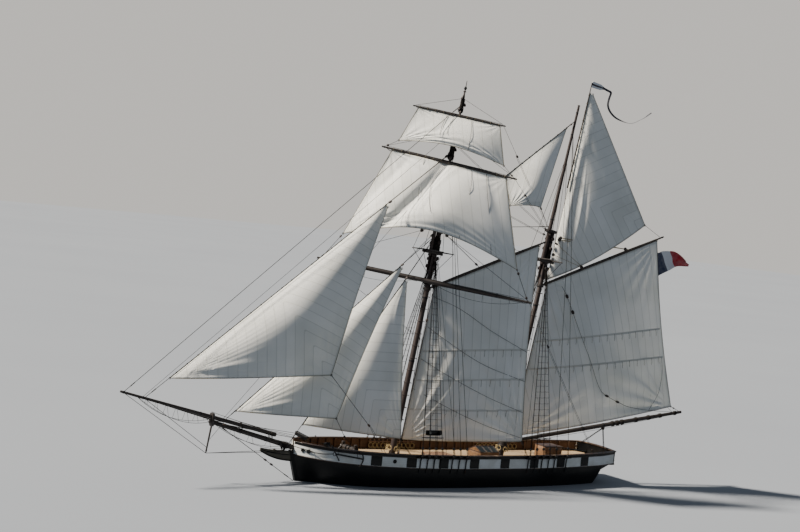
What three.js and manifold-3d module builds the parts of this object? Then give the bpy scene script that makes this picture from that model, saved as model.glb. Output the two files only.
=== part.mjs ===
// A two-masted topsail schooner as a 1:2 scale model, close-hauled on the starboard tack.
// Ship axes: +X towards the bow, +Y to port, +Z up; the origin is amidships on the waterline.
// All sizes below are metres and degrees of the full-size ship. The group is scaled at the end.
import * as THREE from "three";
import { mergeVertices } from "three/addons/utils/BufferGeometryUtils.js";
import Module from "manifold-3d";

const wasm = await Module();
wasm.setup();

// Scale and clearances
const MODEL_MM_PER_METRE = 500;
const GAP = 0.0006; // between fixed pieces that rest on each other, 0.3 mm on the model
const RUNNING_GAP = 0.014; // between turning pieces, 7 mm on the model

// Hull
const DRAUGHT = 3.2;
const KEEL_HALF_WIDTH = 0.12;
const BULWARK_HEIGHT = 0.7;
const BULWARK_THICKNESS = 0.1;
const RAIL_WIDTH = 0.24;
const RAIL_THICKNESS = 0.07;
const RAIL_OVERHANG = 0.06; // outboard of the bulwark
const STEM_HEAD_Z = 1.93;
const TRANSOM_X = -12.45;
const TRANSOM_THICKNESS = 0.12;

// Sections of the hull from aft to forward. half is the deck's half breadth, deck its height,
// keel the height of the lowest planking, full rounds the bilge and hollow fines the bottom.
const STATIONS = [
  { x: -12.45, half: 2.07, deck: 1.52, keel: 1.05, full: 2.0, hollow: 0.8 },
  { x: -11.6, half: 2.33, deck: 1.49, keel: 0.45, full: 2.2, hollow: 1.0 },
  { x: -11.2, half: 2.44, deck: 1.48, keel: 0.0, full: 2.2, hollow: 1.1 },
  { x: -10.9, half: 2.5, deck: 1.47, keel: -2.85, full: 2.0, hollow: 2.4 },
  { x: -9.5, half: 2.72, deck: 1.45, keel: -2.85, full: 2.1, hollow: 2.1 },
  { x: -7.0, half: 2.98, deck: 1.42, keel: -2.85, full: 2.2, hollow: 1.7 },
  { x: -3.5, half: 3.17, deck: 1.4, keel: -2.85, full: 2.3, hollow: 1.45 },
  { x: 0.5, half: 3.2, deck: 1.4, keel: -2.85, full: 2.4, hollow: 1.35 },
  { x: 4.0, half: 3.15, deck: 1.44, keel: -2.85, full: 2.2, hollow: 1.4 },
  { x: 7.0, half: 2.95, deck: 1.52, keel: -2.75, full: 1.9, hollow: 1.45 },
  { x: 9.2, half: 2.48, deck: 1.6, keel: -2.35, full: 1.5, hollow: 1.5 },
  { x: 10.8, half: 1.78, deck: 1.69, keel: -1.35, full: 1.25, hollow: 1.4 },
  { x: 11.7, half: 1.12, deck: 1.76, keel: -0.05, full: 1.1, hollow: 1.2 },
  { x: 12.2, half: 0.5, deck: 1.81, keel: 1.1, full: 1.0, hollow: 1.0 },
  { x: 12.38, half: 0.16, deck: 1.83, keel: 1.6, full: 1.0, hollow: 1.0 },
];

// Outline of stem, keel and sternpost in the middle plane, as [x, z]; the hull is cut from it.
const BACKBONE_OUTLINE = [
  [12.41, STEM_HEAD_Z],
  [12.62, STEM_HEAD_Z],
  [12.5, 1.4],
  [12.05, 0],
  [11.35, -1.2],
  [10.25, -2.3],
  [8.7, -3.0],
  [7.2, -DRAUGHT],
  [-11.2, -DRAUGHT],
  [-11.42, 0.25],
  [-10.5, 0.25],
  [-10.5, -2.0],
  [8.0, -2.0],
  [11.0, 0.3],
  [12.2, 1.55],
  [12.41, 1.75],
];
const SECTION_FRACTIONS = [0, 0.1, 0.22, 0.36, 0.52, 0.68, 0.84, 1]; // of the height, keel to deck

// Masts. x is where the axis meets the height DECK_Z; lengths run up the mast from there.
// ahead is the distance from the axis of the lower mast forward to that of the topmast.
const DECK_Z = 1.5;
const FORE = {
  x: 4.9,
  rake: 7.4,
  ahead: 0.36,
  hounds: 13.7,
  cap: 15.3,
  top: 24.4,
  radius: 0.21,
  headRadius: 0.16,
  topRadius: 0.13,
  poleRadius: 0.06,
  topHounds: 20.1,
  crosstree: 3.58,
};
const MAIN = {
  x: -4.02,
  rake: 9.0,
  ahead: 0.3,
  hounds: 13.8,
  cap: 15.8,
  top: 24.7,
  radius: 0.21,
  headRadius: 0.15,
  topRadius: 0.13,
  poleRadius: 0.06,
  topHounds: 22.6,
  crosstree: 2.9,
};
const CROSSTREE_REACH = 0.42; // of each crosstree from the middle of the doubling

// Bowsprit and jibboom: each rises along a straight line through a named point.
const BOWSPRIT = {
  heelX: 10,
  endX: 18.42,
  atX: 12.41,
  atZ: 2.12,
  slope: 0.264,
  radius: 0.17,
  endRadius: 0.13,
};
const JIBBOOM = {
  heelX: 13.7,
  endX: 24.45,
  atX: 18.25,
  atZ: 3.96,
  slope: 0.2335,
  radius: 0.12,
  endRadius: 0.055,
};
const CAP_X = 18.25;
const MARTINGALE_FOOT = { x: 18.45, z: 1.75 };

// Yards. up is the height along the mast, off the distance from the pivot line, cant the tilt.
const BRACE_ANGLE = 40; // of the yards from fore and aft, the starboard arms forward
const LOWER_YARD = { length: 14.3, radius: 0.14, up: 11.7, off: 0.55, cant: 0 };
const TOPSAIL_YARD = { length: 9.14, radius: 0.1, up: 19.55, off: 0.28, cant: 2.2 };
const TOPGALLANT_YARD = { length: 6.25, radius: 0.075, up: 22.7, off: 0.24, cant: 1.4 };

// Spars of the gaff sails
const BOOM = { up: 1.0, length: 14.95, swing: 6.2, rise: 9.9, radius: 0.15 };
const MAIN_GAFF = { jawUp: 12.0, endX: -14.33, endY: 2.6, endZ: 17.55, radius: 0.1 };
const FORE_GAFF = { jawUp: 11.2, endX: -3.74, endY: 2.8, endZ: 16.45, radius: 0.1 };
const TOPSAIL_POLE = { behind: 0.36, from: 19.0, to: 26.5, radius: 0.05, endRadius: 0.03 };
const BOOM_SADDLE = { up: 0.74, height: 0.1, width: 0.14 };

// Cloth and rope
const CLOTH = 0.024;
const STAY_RADIUS = 0.02;
const SHROUD_RADIUS = 0.02;
const SAIL_GRID = 9;

// Shroud gangs. feet are the places along the rail, mast columns first and backstays second.
const FORE_GANG = { shrouds: [4.75, 4.22, 3.7, 3.17], backstays: [2.3, 1.75, 1.2], channel: [0.9, 5.05] };
const MAIN_GANG = { shrouds: [-3.95, -4.55, -5.15, -5.75], backstays: [-6.3, -7.4], channel: [-7.7, -3.65] };
const CHANNEL_RISE = 0.56; // of the channel's underside above the deck's edge
const CHANNEL_WIDTH = 0.26;
const CHANNEL_THICKNESS = 0.07;
const SHROUD_OUT = 0.19; // of the shrouds' feet from the bulwark

// Materials: colour, roughness and metalness
const FINISHES = {
  hullPaint: [0x17181a, 0.45, 0],
  bandPaint: [0xe4e2da, 0.5, 0],
  varnish: [0x6d4526, 0.4, 0],
  darkSpar: [0x2c211c, 0.5, 0],
  tarredRope: [0x1d1b19, 0.85, 0],
  sailcloth: [0xdcd9cd, 0.85, 0],
  iron: [0x202224, 0.5, 0.8],
  flagCloth: [0xb8bac4, 0.8, 0],
};

const at = (x, y, z) => new THREE.Vector3(x, y, z);
const radians = THREE.MathUtils.degToRad;
const lerp = THREE.MathUtils.lerp;
const ship = new THREE.Group();

function materialOf(finish) {
  const [color, roughness, metalness] = FINISHES[finish];
  return new THREE.MeshStandardMaterial({ color, roughness, metalness });
}

function addPiece(name, geometry, finish) {
  const mesh = new THREE.Mesh(geometry, materialOf(finish));
  mesh.name = name;
  ship.add(mesh);
  return mesh;
}

// Booleans: a geometry becomes a solid and back.
function solidOf(geometry) {
  const bare = geometry.clone();
  bare.deleteAttribute("normal");
  bare.deleteAttribute("uv");
  const merged = mergeVertices(bare, 1e-5);
  const vertProperties = merged.attributes.position.array;
  const triVerts = new Uint32Array(merged.index.array);
  return new wasm.Manifold(new wasm.Mesh({ numProp: 3, vertProperties, triVerts }));
}

function geometryOf(solid) {
  const mesh = solid.getMesh();
  const geometry = new THREE.BufferGeometry();
  geometry.setAttribute("position", new THREE.BufferAttribute(mesh.vertProperties, 3));
  geometry.setIndex(new THREE.BufferAttribute(mesh.triVerts, 1));
  return geometry;
}

function join(...geometries) {
  return geometryOf(geometries.map(solidOf).reduce((sum, next) => sum.add(next)));
}

function cut(geometry, ...tools) {
  return geometryOf(tools.map(solidOf).reduce((rest, tool) => rest.subtract(tool), solidOf(geometry)));
}

// A closed body from rings of points, each ring with as many points as the next.
function loft(rings) {
  const count = rings[0].length;
  const positions = rings.flat().flatMap((point) => point.toArray());
  const index = [];
  const facet = (a, b, c) => index.push(a, b, c);
  for (let ring = 0; ring < rings.length - 1; ring += 1) {
    for (let side = 0; side < count; side += 1) {
      const a = ring * count + side;
      const b = ring * count + ((side + 1) % count);
      facet(a, b, b + count);
      facet(a, b + count, a + count);
    }
  }
  const last = (rings.length - 1) * count;
  for (let side = 1; side < count - 1; side += 1) {
    facet(0, side + 1, side);
    facet(last, last + side, last + side + 1);
  }
  const geometry = new THREE.BufferGeometry();
  geometry.setAttribute("position", new THREE.BufferAttribute(new Float32Array(positions), 3));
  geometry.setIndex(index);
  if (solidOf(geometry).volume() < 0) {
    geometry.setIndex(index.reverse());
  }
  return geometry;
}

// A round bar along the line from one point to another; profile holds [fraction, radius] pairs.
function turned(from, to, profile, sides = 10) {
  const length = from.distanceTo(to);
  const outline = [new THREE.Vector2(0, profile[0][0] * length)];
  profile.forEach(([fraction, radius]) => outline.push(new THREE.Vector2(radius, fraction * length)));
  outline.push(new THREE.Vector2(0, profile.at(-1)[0] * length));
  const geometry = new THREE.LatheGeometry(outline, sides);
  const direction = to.clone().sub(from).normalize();
  geometry.applyQuaternion(new THREE.Quaternion().setFromUnitVectors(at(0, 1, 0), direction));
  return geometry.translate(from.x, from.y, from.z);
}

const bar = (from, to, radius, endRadius = radius, sides = 10) =>
  turned(from, to, [[0, radius], [1, endRadius]], sides);

const rope = (from, to, radius = STAY_RADIUS) => bar(from, to, radius, radius, 6);

// A yard or gaff that tapers towards both ends.
function tapered(from, to, radius, grow = 0) {
  const end = 0.5 * radius + grow;
  return turned(from, to, [[0, end], [0.3, radius + grow], [0.7, radius + grow], [1, end]]);
}

function box(width, depth, height, centre) {
  return new THREE.BoxGeometry(width, depth, height).translate(centre.x, centre.y, centre.z);
}

// A flat outline in the ship's middle plane, given as [x, z] pairs, with its thickness across.
function plate(outline, thickness, y = 0) {
  const shape = new THREE.Shape(outline.map(([x, z]) => new THREE.Vector2(x, z)));
  const geometry = new THREE.ExtrudeGeometry(shape, { depth: thickness, bevelEnabled: false });
  geometry.rotateX(Math.PI / 2);
  return geometry.translate(0, y + thickness / 2, 0);
}

// Hull
function atStations(x, column) {
  const next = Math.max(1, STATIONS.findIndex((station) => station.x >= x));
  const [a, b] = [STATIONS[next - 1], STATIONS[next]];
  return lerp(a[column], b[column], (x - a.x) / (b.x - a.x));
}
const halfBreadth = (x) => atStations(x, "half");
const deckHeight = (x) => atStations(x, "deck");

function hullRing(station, grow) {
  const reach = station.half - KEEL_HALF_WIDTH;
  const side = SECTION_FRACTIONS.map((t) => {
    const y = KEEL_HALF_WIDTH + reach * (1 - (1 - t) ** station.full) ** station.hollow;
    const z = lerp(station.keel - grow, station.deck + grow, t);
    return at(station.x, y + grow, z);
  });
  const otherSide = side.map((point) => at(point.x, -point.y, point.z)).reverse();
  return [...side, ...otherSide];
}

function hullBody(grow = 0) {
  const rings = STATIONS.map((station) => hullRing(station, grow));
  rings[0].forEach((point) => (point.x -= grow));
  rings.at(-1).forEach((point) => (point.x += grow));
  return loft(rings);
}
const hullSpace = hullBody(GAP);

// Rudder: its stock leans with the sternpost.
const RUDDER_FOOT = at(-11.34, 0, -3.05);
const RUDDER_HEAD = at(-11.66, 0, 1.95);
const STOCK_RADIUS = 0.09;
const BLADE_THICKNESS = 0.12;
const PINTLE_RADIUS = 0.035;
const GUDGEON = { radius: 0.085, height: 0.1, score: 0.13 };
const PINTLE_HEIGHTS = [0.55, 2.05]; // up the stock from its foot
const rudderPoint = (up) => RUDDER_FOOT.clone().lerp(RUDDER_HEAD, up / RUDDER_FOOT.distanceTo(RUDDER_HEAD));

function backboneBody() {
  const timber = cut(plate(BACKBONE_OUTLINE, 2 * KEEL_HALF_WIDTH), hullSpace);
  const gudgeons = PINTLE_HEIGHTS.flatMap((up) => {
    const ring = bar(rudderPoint(up), rudderPoint(up + GUDGEON.height), GUDGEON.radius);
    const middle = rudderPoint(up + GUDGEON.height / 2);
    const lug = box(0.2, 0.08, GUDGEON.height * 0.9, at(middle.x + 0.12, 0, middle.z));
    return [ring, lug];
  });
  const holes = PINTLE_HEIGHTS.map((up) =>
    bar(rudderPoint(up - 0.1), rudderPoint(up + GUDGEON.height + 0.1), PINTLE_RADIUS + 0.004),
  );
  return cut(join(timber, ...gudgeons), ...holes);
}

function rudderBody() {
  const foot = rudderPoint(0);
  const shoulder = rudderPoint(3.2);
  const lead = BLADE_THICKNESS / 2;
  const blade = plate(
    [
      [foot.x + lead, foot.z],
      [shoulder.x + lead, shoulder.z],
      [shoulder.x - 0.25, shoulder.z],
      [-12.2, -1.2],
      [-12.45, -2.95],
    ],
    BLADE_THICKNESS,
  );
  const scores = PINTLE_HEIGHTS.map((up) => {
    const bottom = rudderPoint(up - 0.06);
    const top = rudderPoint(up + GUDGEON.height + GAP);
    return bar(bottom, top, GUDGEON.score);
  });
  const pintles = PINTLE_HEIGHTS.map((up) =>
    bar(rudderPoint(up - 0.1), rudderPoint(up + GUDGEON.height + 0.1), PINTLE_RADIUS),
  );
  const stock = bar(rudderPoint(3.0), RUDDER_HEAD, STOCK_RADIUS);
  const tillerFrom = rudderPoint(4.88);
  const tiller = bar(tillerFrom, at(tillerFrom.x + 2.6, 0, tillerFrom.z + 0.35), 0.07, 0.04);
  return join(cut(blade, ...scores), ...pintles, stock, tiller);
}

function hullPiece() {
  const trunk = bar(rudderPoint(2.9), rudderPoint(5.4), STOCK_RADIUS + 3 * RUNNING_GAP, undefined, 14);
  return cut(hullBody(), trunk);
}

// Planks that follow the deck's edge: side is +1 to port and -1 to starboard.
function strake(side, fromX, toX, { inner, outer, bottom, top }) {
  const inside = STATIONS.map((station) => station.x).filter((x) => x > fromX && x < toX);
  return loft(
    [fromX, ...inside, toX].map((x) => {
      const yIn = side * Math.max(halfBreadth(x) + inner, 0.01);
      const yOut = side * (halfBreadth(x) + outer);
      const low = deckHeight(x) + bottom;
      const high = deckHeight(x) + top;
      return [at(x, yIn, low), at(x, yOut, low), at(x, yOut, high), at(x, yIn, high)];
    }),
  );
}

// Masts: a point is given by how far ahead of the axis, to port, and up the mast it lies.
function mastFrame(mast) {
  const tilt = new THREE.Matrix4().makeRotationY(-radians(mast.rake));
  return new THREE.Matrix4().makeTranslation(mast.x, 0, DECK_Z).multiply(tilt);
}
const onMast = (mast, ahead, port, up) => at(ahead, port, up).applyMatrix4(mastFrame(mast));
const mastBox = (mast, size, centre) => box(...size, at(...centre)).applyMatrix4(mastFrame(mast));

// The radius of a hole with this many flat sides that just clears a round spar.
const RING_SIDES = 32;
const holeAround = (radius) => (radius + GAP) / Math.cos(Math.PI / RING_SIDES);

function mastRadius(mast, up) {
  return lerp(mast.radius, mast.headRadius, up / mast.cap);
}
function topmastRadius(mast, up) {
  return lerp(mast.topRadius, mast.poleRadius, (up - mast.hounds) / (mast.top - mast.hounds));
}

function lowerMast(mast, grow = 0) {
  const from = onMast(mast, 0, 0, -0.6);
  const to = onMast(mast, 0, 0, mast.cap + 0.12 + grow);
  return bar(from, to, mast.radius + grow, mast.headRadius + grow, 16);
}

function topmast(mast, grow = 0) {
  const from = onMast(mast, mast.ahead, 0, mast.hounds - 0.35 - grow);
  const to = onMast(mast, mast.ahead, 0, mast.top + grow);
  return bar(from, to, mast.topRadius + grow, mast.poleRadius + grow, 12);
}

function crosstrees(mast) {
  const beamUp = mast.hounds - 0.1;
  const middle = mast.ahead / 2;
  const beams = [-0.25, 0.25].map((port) => mastBox(mast, [1.3, 0.09, 0.16], [middle, port, beamUp]));
  const chock = mastBox(mast, [0.95, 0.5, 0.1], [middle, 0, beamUp]);
  const arms = [-CROSSTREE_REACH, CROSSTREE_REACH].map((reach) =>
    mastBox(mast, [0.1, mast.crosstree, 0.08], [middle + reach, 0, mast.hounds]),
  );
  return cut(join(chock, ...beams, ...arms), lowerMast(mast, GAP), topmast(mast, GAP));
}

function mastCap(mast) {
  const block = mastBox(mast, [0.78, 0.42, 0.2], [mast.ahead / 2, 0, mast.cap]);
  return cut(block, lowerMast(mast, GAP), topmast(mast, GAP));
}

// The collar on a lower mast that the boom's jaws rest on.
function saddle(mast, collar) {
  const from = onMast(mast, 0, 0, collar.up);
  const to = onMast(mast, 0, 0, collar.up + collar.height);
  return bar(from, to, mast.radius + collar.width, undefined, 16);
}

function mainLowerMast() {
  return cut(join(lowerMast(MAIN), saddle(MAIN, BOOM_SADDLE)), hullSpace);
}

// The iron that holds the lower yard: a band round the mast, an arm ahead and an upright pin.
const TRUSS = { pinRadius: 0.05, armUp: 11.6, armHeight: 0.1, pinTop: 11.86, band: 0.05 };

function trussPiece() {
  const { pinRadius, armUp, armHeight, pinTop, band } = TRUSS;
  const collar = bar(
    onMast(FORE, 0, 0, armUp - armHeight),
    onMast(FORE, 0, 0, armUp),
    mastRadius(FORE, armUp) + band,
    undefined,
    16,
  );
  const arm = mastBox(FORE, [0.36, 0.12, armHeight], [FORE.ahead / 2 + 0.05, 0, armUp - armHeight / 2]);
  const pin = bar(onMast(FORE, FORE.ahead, 0, armUp - 0.05), onMast(FORE, FORE.ahead, 0, pinTop), pinRadius);
  return cut(join(collar, arm, pin), lowerMast(FORE, GAP));
}

// Yards: points along a yard are measured from its middle, positive to its starboard arm.
function yardPoint(yard, along, drop = 0, lee = 0) {
  const brace = radians(BRACE_ANGLE);
  const cant = radians(yard.cant);
  const arm = at(Math.cos(brace) * Math.cos(cant), -Math.sin(brace) * Math.cos(cant), Math.sin(cant));
  const leeward = at(Math.sin(brace), Math.cos(brace), 0);
  const local = at(FORE.ahead, 0, yard.up - drop)
    .addScaledVector(leeward, yard.off + lee)
    .addScaledVector(arm, along);
  return local.applyMatrix4(mastFrame(FORE));
}
const leeOfYards = yardPoint(LOWER_YARD, 0, 0, 1).sub(yardPoint(LOWER_YARD, 0));

function yardPiece(yard, grow = 0) {
  const half = yard.length / 2;
  return tapered(yardPoint(yard, -half), yardPoint(yard, half), yard.radius, grow);
}

function lowerYard() {
  const { pinRadius, armUp } = TRUSS;
  const sleeve = bar(
    onMast(FORE, FORE.ahead, 0, armUp + GAP),
    onMast(FORE, FORE.ahead, 0, armUp + 0.2),
    pinRadius + 0.06,
  );
  const pivot = onMast(FORE, FORE.ahead, 0, armUp + 0.1);
  const shank = bar(pivot, yardPoint(LOWER_YARD, 0), 0.06);
  const hole = bar(
    onMast(FORE, FORE.ahead, 0, armUp - 0.1),
    onMast(FORE, FORE.ahead, 0, armUp + 0.5),
    pinRadius + 0.004,
  );
  return cut(join(yardPiece(LOWER_YARD), sleeve, shank), hole);
}

// An upper yard with the parrel that holds it to the topmast.
const PARREL = { reach: 0.07, wall: 0.05, shank: 0.055 };

function upperYard(yard) {
  const radius = holeAround(topmastRadius(FORE, yard.up - PARREL.reach));
  const onTopmast = (height) => onMast(FORE, FORE.ahead, 0, yard.up + height);
  const wall = radius + PARREL.wall;
  const ring = bar(onTopmast(-PARREL.reach), onTopmast(PARREL.reach), wall, undefined, RING_SIDES);
  const shank = bar(onTopmast(0), yardPoint(yard, 0), PARREL.shank);
  const hole = bar(onTopmast(-0.3), onTopmast(0.3), radius, undefined, RING_SIDES);
  return cut(join(yardPiece(yard), ring, shank), hole);
}

// Sails. corners are tack, clew, peak and throat; across runs from luff to leech, up from foot
// to head. The cloth bellies to lee by depth metres, least along the head and the edges.
function sail({ tack, clew, peak, throat, lee, depth, foot = 0.5, rise = 0, leech = 0 }) {
  const count = SAIL_GRID;
  const edge = clew.clone().sub(tack).normalize();
  const spot = (across, up) => {
    const low = tack.clone().lerp(clew, across);
    const high = throat.clone().lerp(peak, across);
    const full = Math.sin(Math.PI * across ** 0.85);
    const height = (1 - up ** 2) * (foot + (1 - foot) * Math.sin((Math.PI / 2) * Math.min(1, up / 0.4)));
    const point = low.lerp(high, up).addScaledVector(lee, depth * full * height);
    point.z += rise * Math.sin(Math.PI * across) * (1 - up) ** 2;
    return point.addScaledVector(edge, leech * across ** 2 * Math.sin(Math.PI * up));
  };
  const normalAt = (across, up) => {
    const step = 0.02;
    const [a0, a1] = [Math.max(0, across - step), Math.min(1, across + step)];
    const [u0, u1] = [Math.max(0, up - step), Math.min(1, up + step)];
    const along = spot(a1, up).sub(spot(a0, up));
    return along.cross(spot(across, u1).sub(spot(across, u0))).normalize();
  };
  const faces = [-CLOTH / 2, CLOTH / 2].map((side) => {
    const rows = [];
    for (let row = 0; row <= count; row += 1) {
      const up = row / count;
      const points = [];
      for (let column = 0; column <= count; column += 1) {
        const across = column / count;
        points.push(spot(across, up).addScaledVector(normalAt(across, up), side));
      }
      rows.push(points);
    }
    return rows;
  });
  const rings = faces[0].map((front, row) => [...front, ...[...faces[1][row]].reverse()]);
  return stripLoft(rings, count);
}

// A loft of flat strips: its end caps are strips too, so that long thin rings close cleanly.
function stripLoft(rings, count) {
  const size = 2 * (count + 1);
  const positions = rings.flat().flatMap((point) => point.toArray());
  const index = [];
  for (let ring = 0; ring < rings.length - 1; ring += 1) {
    for (let side = 0; side < size; side += 1) {
      const a = ring * size + side;
      const b = ring * size + ((side + 1) % size);
      index.push(a, b, b + size, a, b + size, a + size);
    }
  }
  const last = (rings.length - 1) * size;
  for (let column = 0; column < count; column += 1) {
    const far = size - 1 - column;
    index.push(column, far, far - 1, column, far - 1, column + 1);
    index.push(last + column, last + far - 1, last + far, last + column, last + column + 1, last + far - 1);
  }
  const geometry = new THREE.BufferGeometry();
  geometry.setAttribute("position", new THREE.BufferAttribute(new Float32Array(positions), 3));
  geometry.setIndex(index);
  if (solidOf(geometry).volume() < 0) {
    geometry.setIndex(index.reverse());
  }
  return geometry;
}

// A square sail hangs under its yard, with its clews hauled towards the yard below by sheets.
function squareSail(yard, below, { head, clewAlong, clewUp, depth, rise }) {
  const drop = 0.8 * yard.radius;
  const clewDrop = below.up - clewUp;
  const clew = (side) => yardPoint(below, side * clewAlong, clewDrop);
  const throat = yardPoint(yard, head, drop);
  const peak = yardPoint(yard, -head, drop);
  const cloth = sail({
    tack: clew(1),
    clew: clew(-1),
    throat,
    peak,
    lee: leeOfYards,
    depth,
    foot: 0.8,
    rise,
  });
  const sheets = [1, -1].map((side) => {
    const end = yardPoint(below, side * (below.length / 2 - 0.25));
    return rope(clew(side), end, SHROUD_RADIUS);
  });
  return cut(join(cloth, ...sheets), yardPiece(yard, GAP), yardPiece(below, GAP));
}

// Where each fore-and-aft sail's corners lie
const mainBoomEnd = boomPoint(BOOM.length);
function boomPoint(along, above = 0) {
  const rise = radians(BOOM.rise);
  const swing = radians(BOOM.swing);
  const start = onMast(MAIN, 0, 0, BOOM.up);
  const flat = along * Math.cos(rise);
  return at(
    start.x - flat * Math.cos(swing),
    flat * Math.sin(swing),
    start.z + along * Math.sin(rise) + above,
  );
}

// A gaff with the jaws that hold it to the mast.
const JAWS = { reach: 0.08, wall: 0.07 };

function jawed(mast, up, end, radius) {
  const onAxis = (height) => onMast(mast, 0, 0, up + height);
  const inner = holeAround(mastRadius(mast, up - JAWS.reach));
  const ring = bar(onAxis(-JAWS.reach), onAxis(JAWS.reach), inner + JAWS.wall, undefined, RING_SIDES);
  const hole = bar(onAxis(-0.9), onAxis(0.9), inner, undefined, RING_SIDES);
  return cut(join(ring, tapered(onAxis(0), end, radius)), hole);
}

function mainBoom() {
  const collarTop = BOOM_SADDLE.up + BOOM_SADDLE.height;
  const inner = MAIN.radius + RUNNING_GAP;
  const low = onMast(MAIN, 0, 0, collarTop + GAP);
  const high = onMast(MAIN, 0, 0, collarTop + 0.3);
  const ring = bar(low, high, inner + JAWS.wall, undefined, RING_SIDES);
  const hole = bar(onMast(MAIN, 0, 0, 0), onMast(MAIN, 0, 0, 3), inner, undefined, RING_SIDES);
  return cut(join(ring, tapered(boomPoint(0), mainBoomEnd, BOOM.radius)), hole);
}

const mainGaffEnd = at(MAIN_GAFF.endX, MAIN_GAFF.endY, MAIN_GAFF.endZ);
const foreGaffEnd = at(FORE_GAFF.endX, FORE_GAFF.endY, FORE_GAFF.endZ);
const along = (from, to, fraction, below = 0) => {
  const point = from.clone().lerp(to, fraction);
  point.z -= below;
  return point;
};
const PORT = at(0, 1, 0);
const MAIN_TACK = onMast(MAIN, -0.42, 0.04, 1.5);
const MAIN_CLEW = at(-17.85, 1.5, 5.42);
const MAIN_LEECH_HOLLOW = -0.25;
const PEAK_FRACTION = 0.96; // of the gaff, from the jaws to the sail's peak

function gaffSail(mast, gaff, gaffEnd, { tack, clew, depth, leech }) {
  const jaw = onMast(mast, 0, 0, gaff.jawUp);
  const under = 0.8 * gaff.radius;
  return sail({
    tack,
    clew,
    throat: along(jaw, gaffEnd, 0.06, under),
    peak: along(jaw, gaffEnd, PEAK_FRACTION, under),
    lee: PORT,
    depth,
    foot: 0.7,
    leech,
  });
}

function mainsail() {
  const cloth = gaffSail(MAIN, MAIN_GAFF, mainGaffEnd, {
    tack: MAIN_TACK,
    clew: MAIN_CLEW,
    depth: 0.9,
    leech: MAIN_LEECH_HOLLOW,
  });
  const fall = (MAIN_CLEW.x - boomPoint(0).x) / (mainBoomEnd.x - boomPoint(0).x);
  const outhaul = rope(MAIN_CLEW, boomPoint(fall * BOOM.length, 0.7 * BOOM.radius), SHROUD_RADIUS);
  const inCloth = MAIN_TACK.clone().add(at(-0.05, 0, 0.04));
  const tackLine = rope(inCloth, boomPoint(0.5, BOOM.radius * 0.5), SHROUD_RADIUS);
  const gaffSpace = gaffGrown(MAIN, MAIN_GAFF, mainGaffEnd);
  return cut(join(cloth, outhaul, tackLine), mainBoomGrown(), gaffSpace);
}

const gaffGrown = (mast, gaff, end) => tapered(onMast(mast, 0, 0, gaff.jawUp), end, gaff.radius, GAP);
const mainBoomGrown = () => tapered(boomPoint(0), mainBoomEnd, BOOM.radius, GAP);

function foresail() {
  const cloth = gaffSail(FORE, FORE_GAFF, foreGaffEnd, {
    tack: onMast(FORE, -0.4, 0.1, 1.25),
    clew: at(-4.0, 2.25, 2.95),
    depth: 0.65,
    leech: -0.2,
  });
  return cut(cloth, gaffGrown(FORE, FORE_GAFF, foreGaffEnd));
}

function gaffTopsail() {
  const headUp = 25.75;
  const poleRadius = lerp(TOPSAIL_POLE.radius, TOPSAIL_POLE.endRadius, poleFraction(headUp));
  const behind = TOPSAIL_POLE.behind + poleRadius + GAP;
  const clew = at(-12.75, 2.3, 18.2);
  const cloth = sail({
    tack: onMast(MAIN, -0.62, -0.22, 12.55),
    clew,
    throat: onMast(MAIN, -behind, 0, headUp),
    peak: onMast(MAIN, -behind - 0.26, 0, headUp),
    lee: PORT,
    depth: 0.35,
    foot: 0.4,
    rise: -0.3,
  });
  const jaw = onMast(MAIN, 0, 0, MAIN_GAFF.jawUp);
  const sheet = rope(clew, along(jaw, mainGaffEnd, 0.97), SHROUD_RADIUS);
  return cut(join(cloth, sheet), gaffGrown(MAIN, MAIN_GAFF, mainGaffEnd));
}

const poleFraction = (up) => (up - TOPSAIL_POLE.from) / (TOPSAIL_POLE.to - TOPSAIL_POLE.from);

function topsailPole() {
  const from = onMast(MAIN, -TOPSAIL_POLE.behind, 0, TOPSAIL_POLE.from);
  const to = onMast(MAIN, -TOPSAIL_POLE.behind, 0, TOPSAIL_POLE.to);
  return bar(from, to, TOPSAIL_POLE.radius, TOPSAIL_POLE.endRadius, 8);
}

// Stays: each runs from a point on a mast down to the bowsprit, the jibboom or the stem.
const onBowsprit = (x) => at(x, 0, BOWSPRIT.atZ + BOWSPRIT.slope * (x - BOWSPRIT.atX));
const onJibboom = (x) => at(x, 0, JIBBOOM.atZ + JIBBOOM.slope * (x - JIBBOOM.atX));

function boomSpar(spar, line, grow = 0) {
  return bar(line(spar.heelX - grow), line(spar.endX + grow), spar.radius + grow, spar.endRadius + grow, 12);
}
const bowspritBody = (grow = 0) => boomSpar(BOWSPRIT, onBowsprit, grow);
const jibboomBody = (grow = 0) => boomSpar(JIBBOOM, onJibboom, grow);

const STAYS = {
  forestay: [onMast(FORE, FORE.ahead, 0, 14.36), onBowsprit(12.8)],
  innerJib: [onMast(FORE, FORE.ahead, 0, 14.6), onJibboom(17.4)],
  outerJib: [onMast(FORE, FORE.ahead, 0, 20.3), onJibboom(22.87)],
  topgallant: [onMast(FORE, FORE.ahead, 0, 23.5), onJibboom(24.25)],
  spring: [onMast(FORE, -0.1, 0, 15.35), onMast(MAIN, MAIN.ahead, 0, 16.1)],
  staysail: [onMast(FORE, -0.1, 0, 15.4), onMast(MAIN, MAIN.ahead, 0, 23.6)],
  bobstay: [onBowsprit(17.9), at(12.05, 0, -0.05)],
};

function stayPiece([from, to], ...neighbours) {
  return cut(rope(from, to), ...neighbours);
}

// A point at a fraction of a stay from its top or fore end, just clear of it on the sail's side.
// tilt is the share of the cloth's thickness that leans towards the stay there.
function behindStay([from, to], fraction, tilt = 0.36) {
  const clear = STAY_RADIUS + tilt * CLOTH + GAP;
  const down = to.clone().sub(from).normalize();
  const away = at(down.z, 0, -down.x).multiplyScalar(down.x > 0 ? clear : -clear);
  return along(from, to, fraction).add(away);
}

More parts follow.
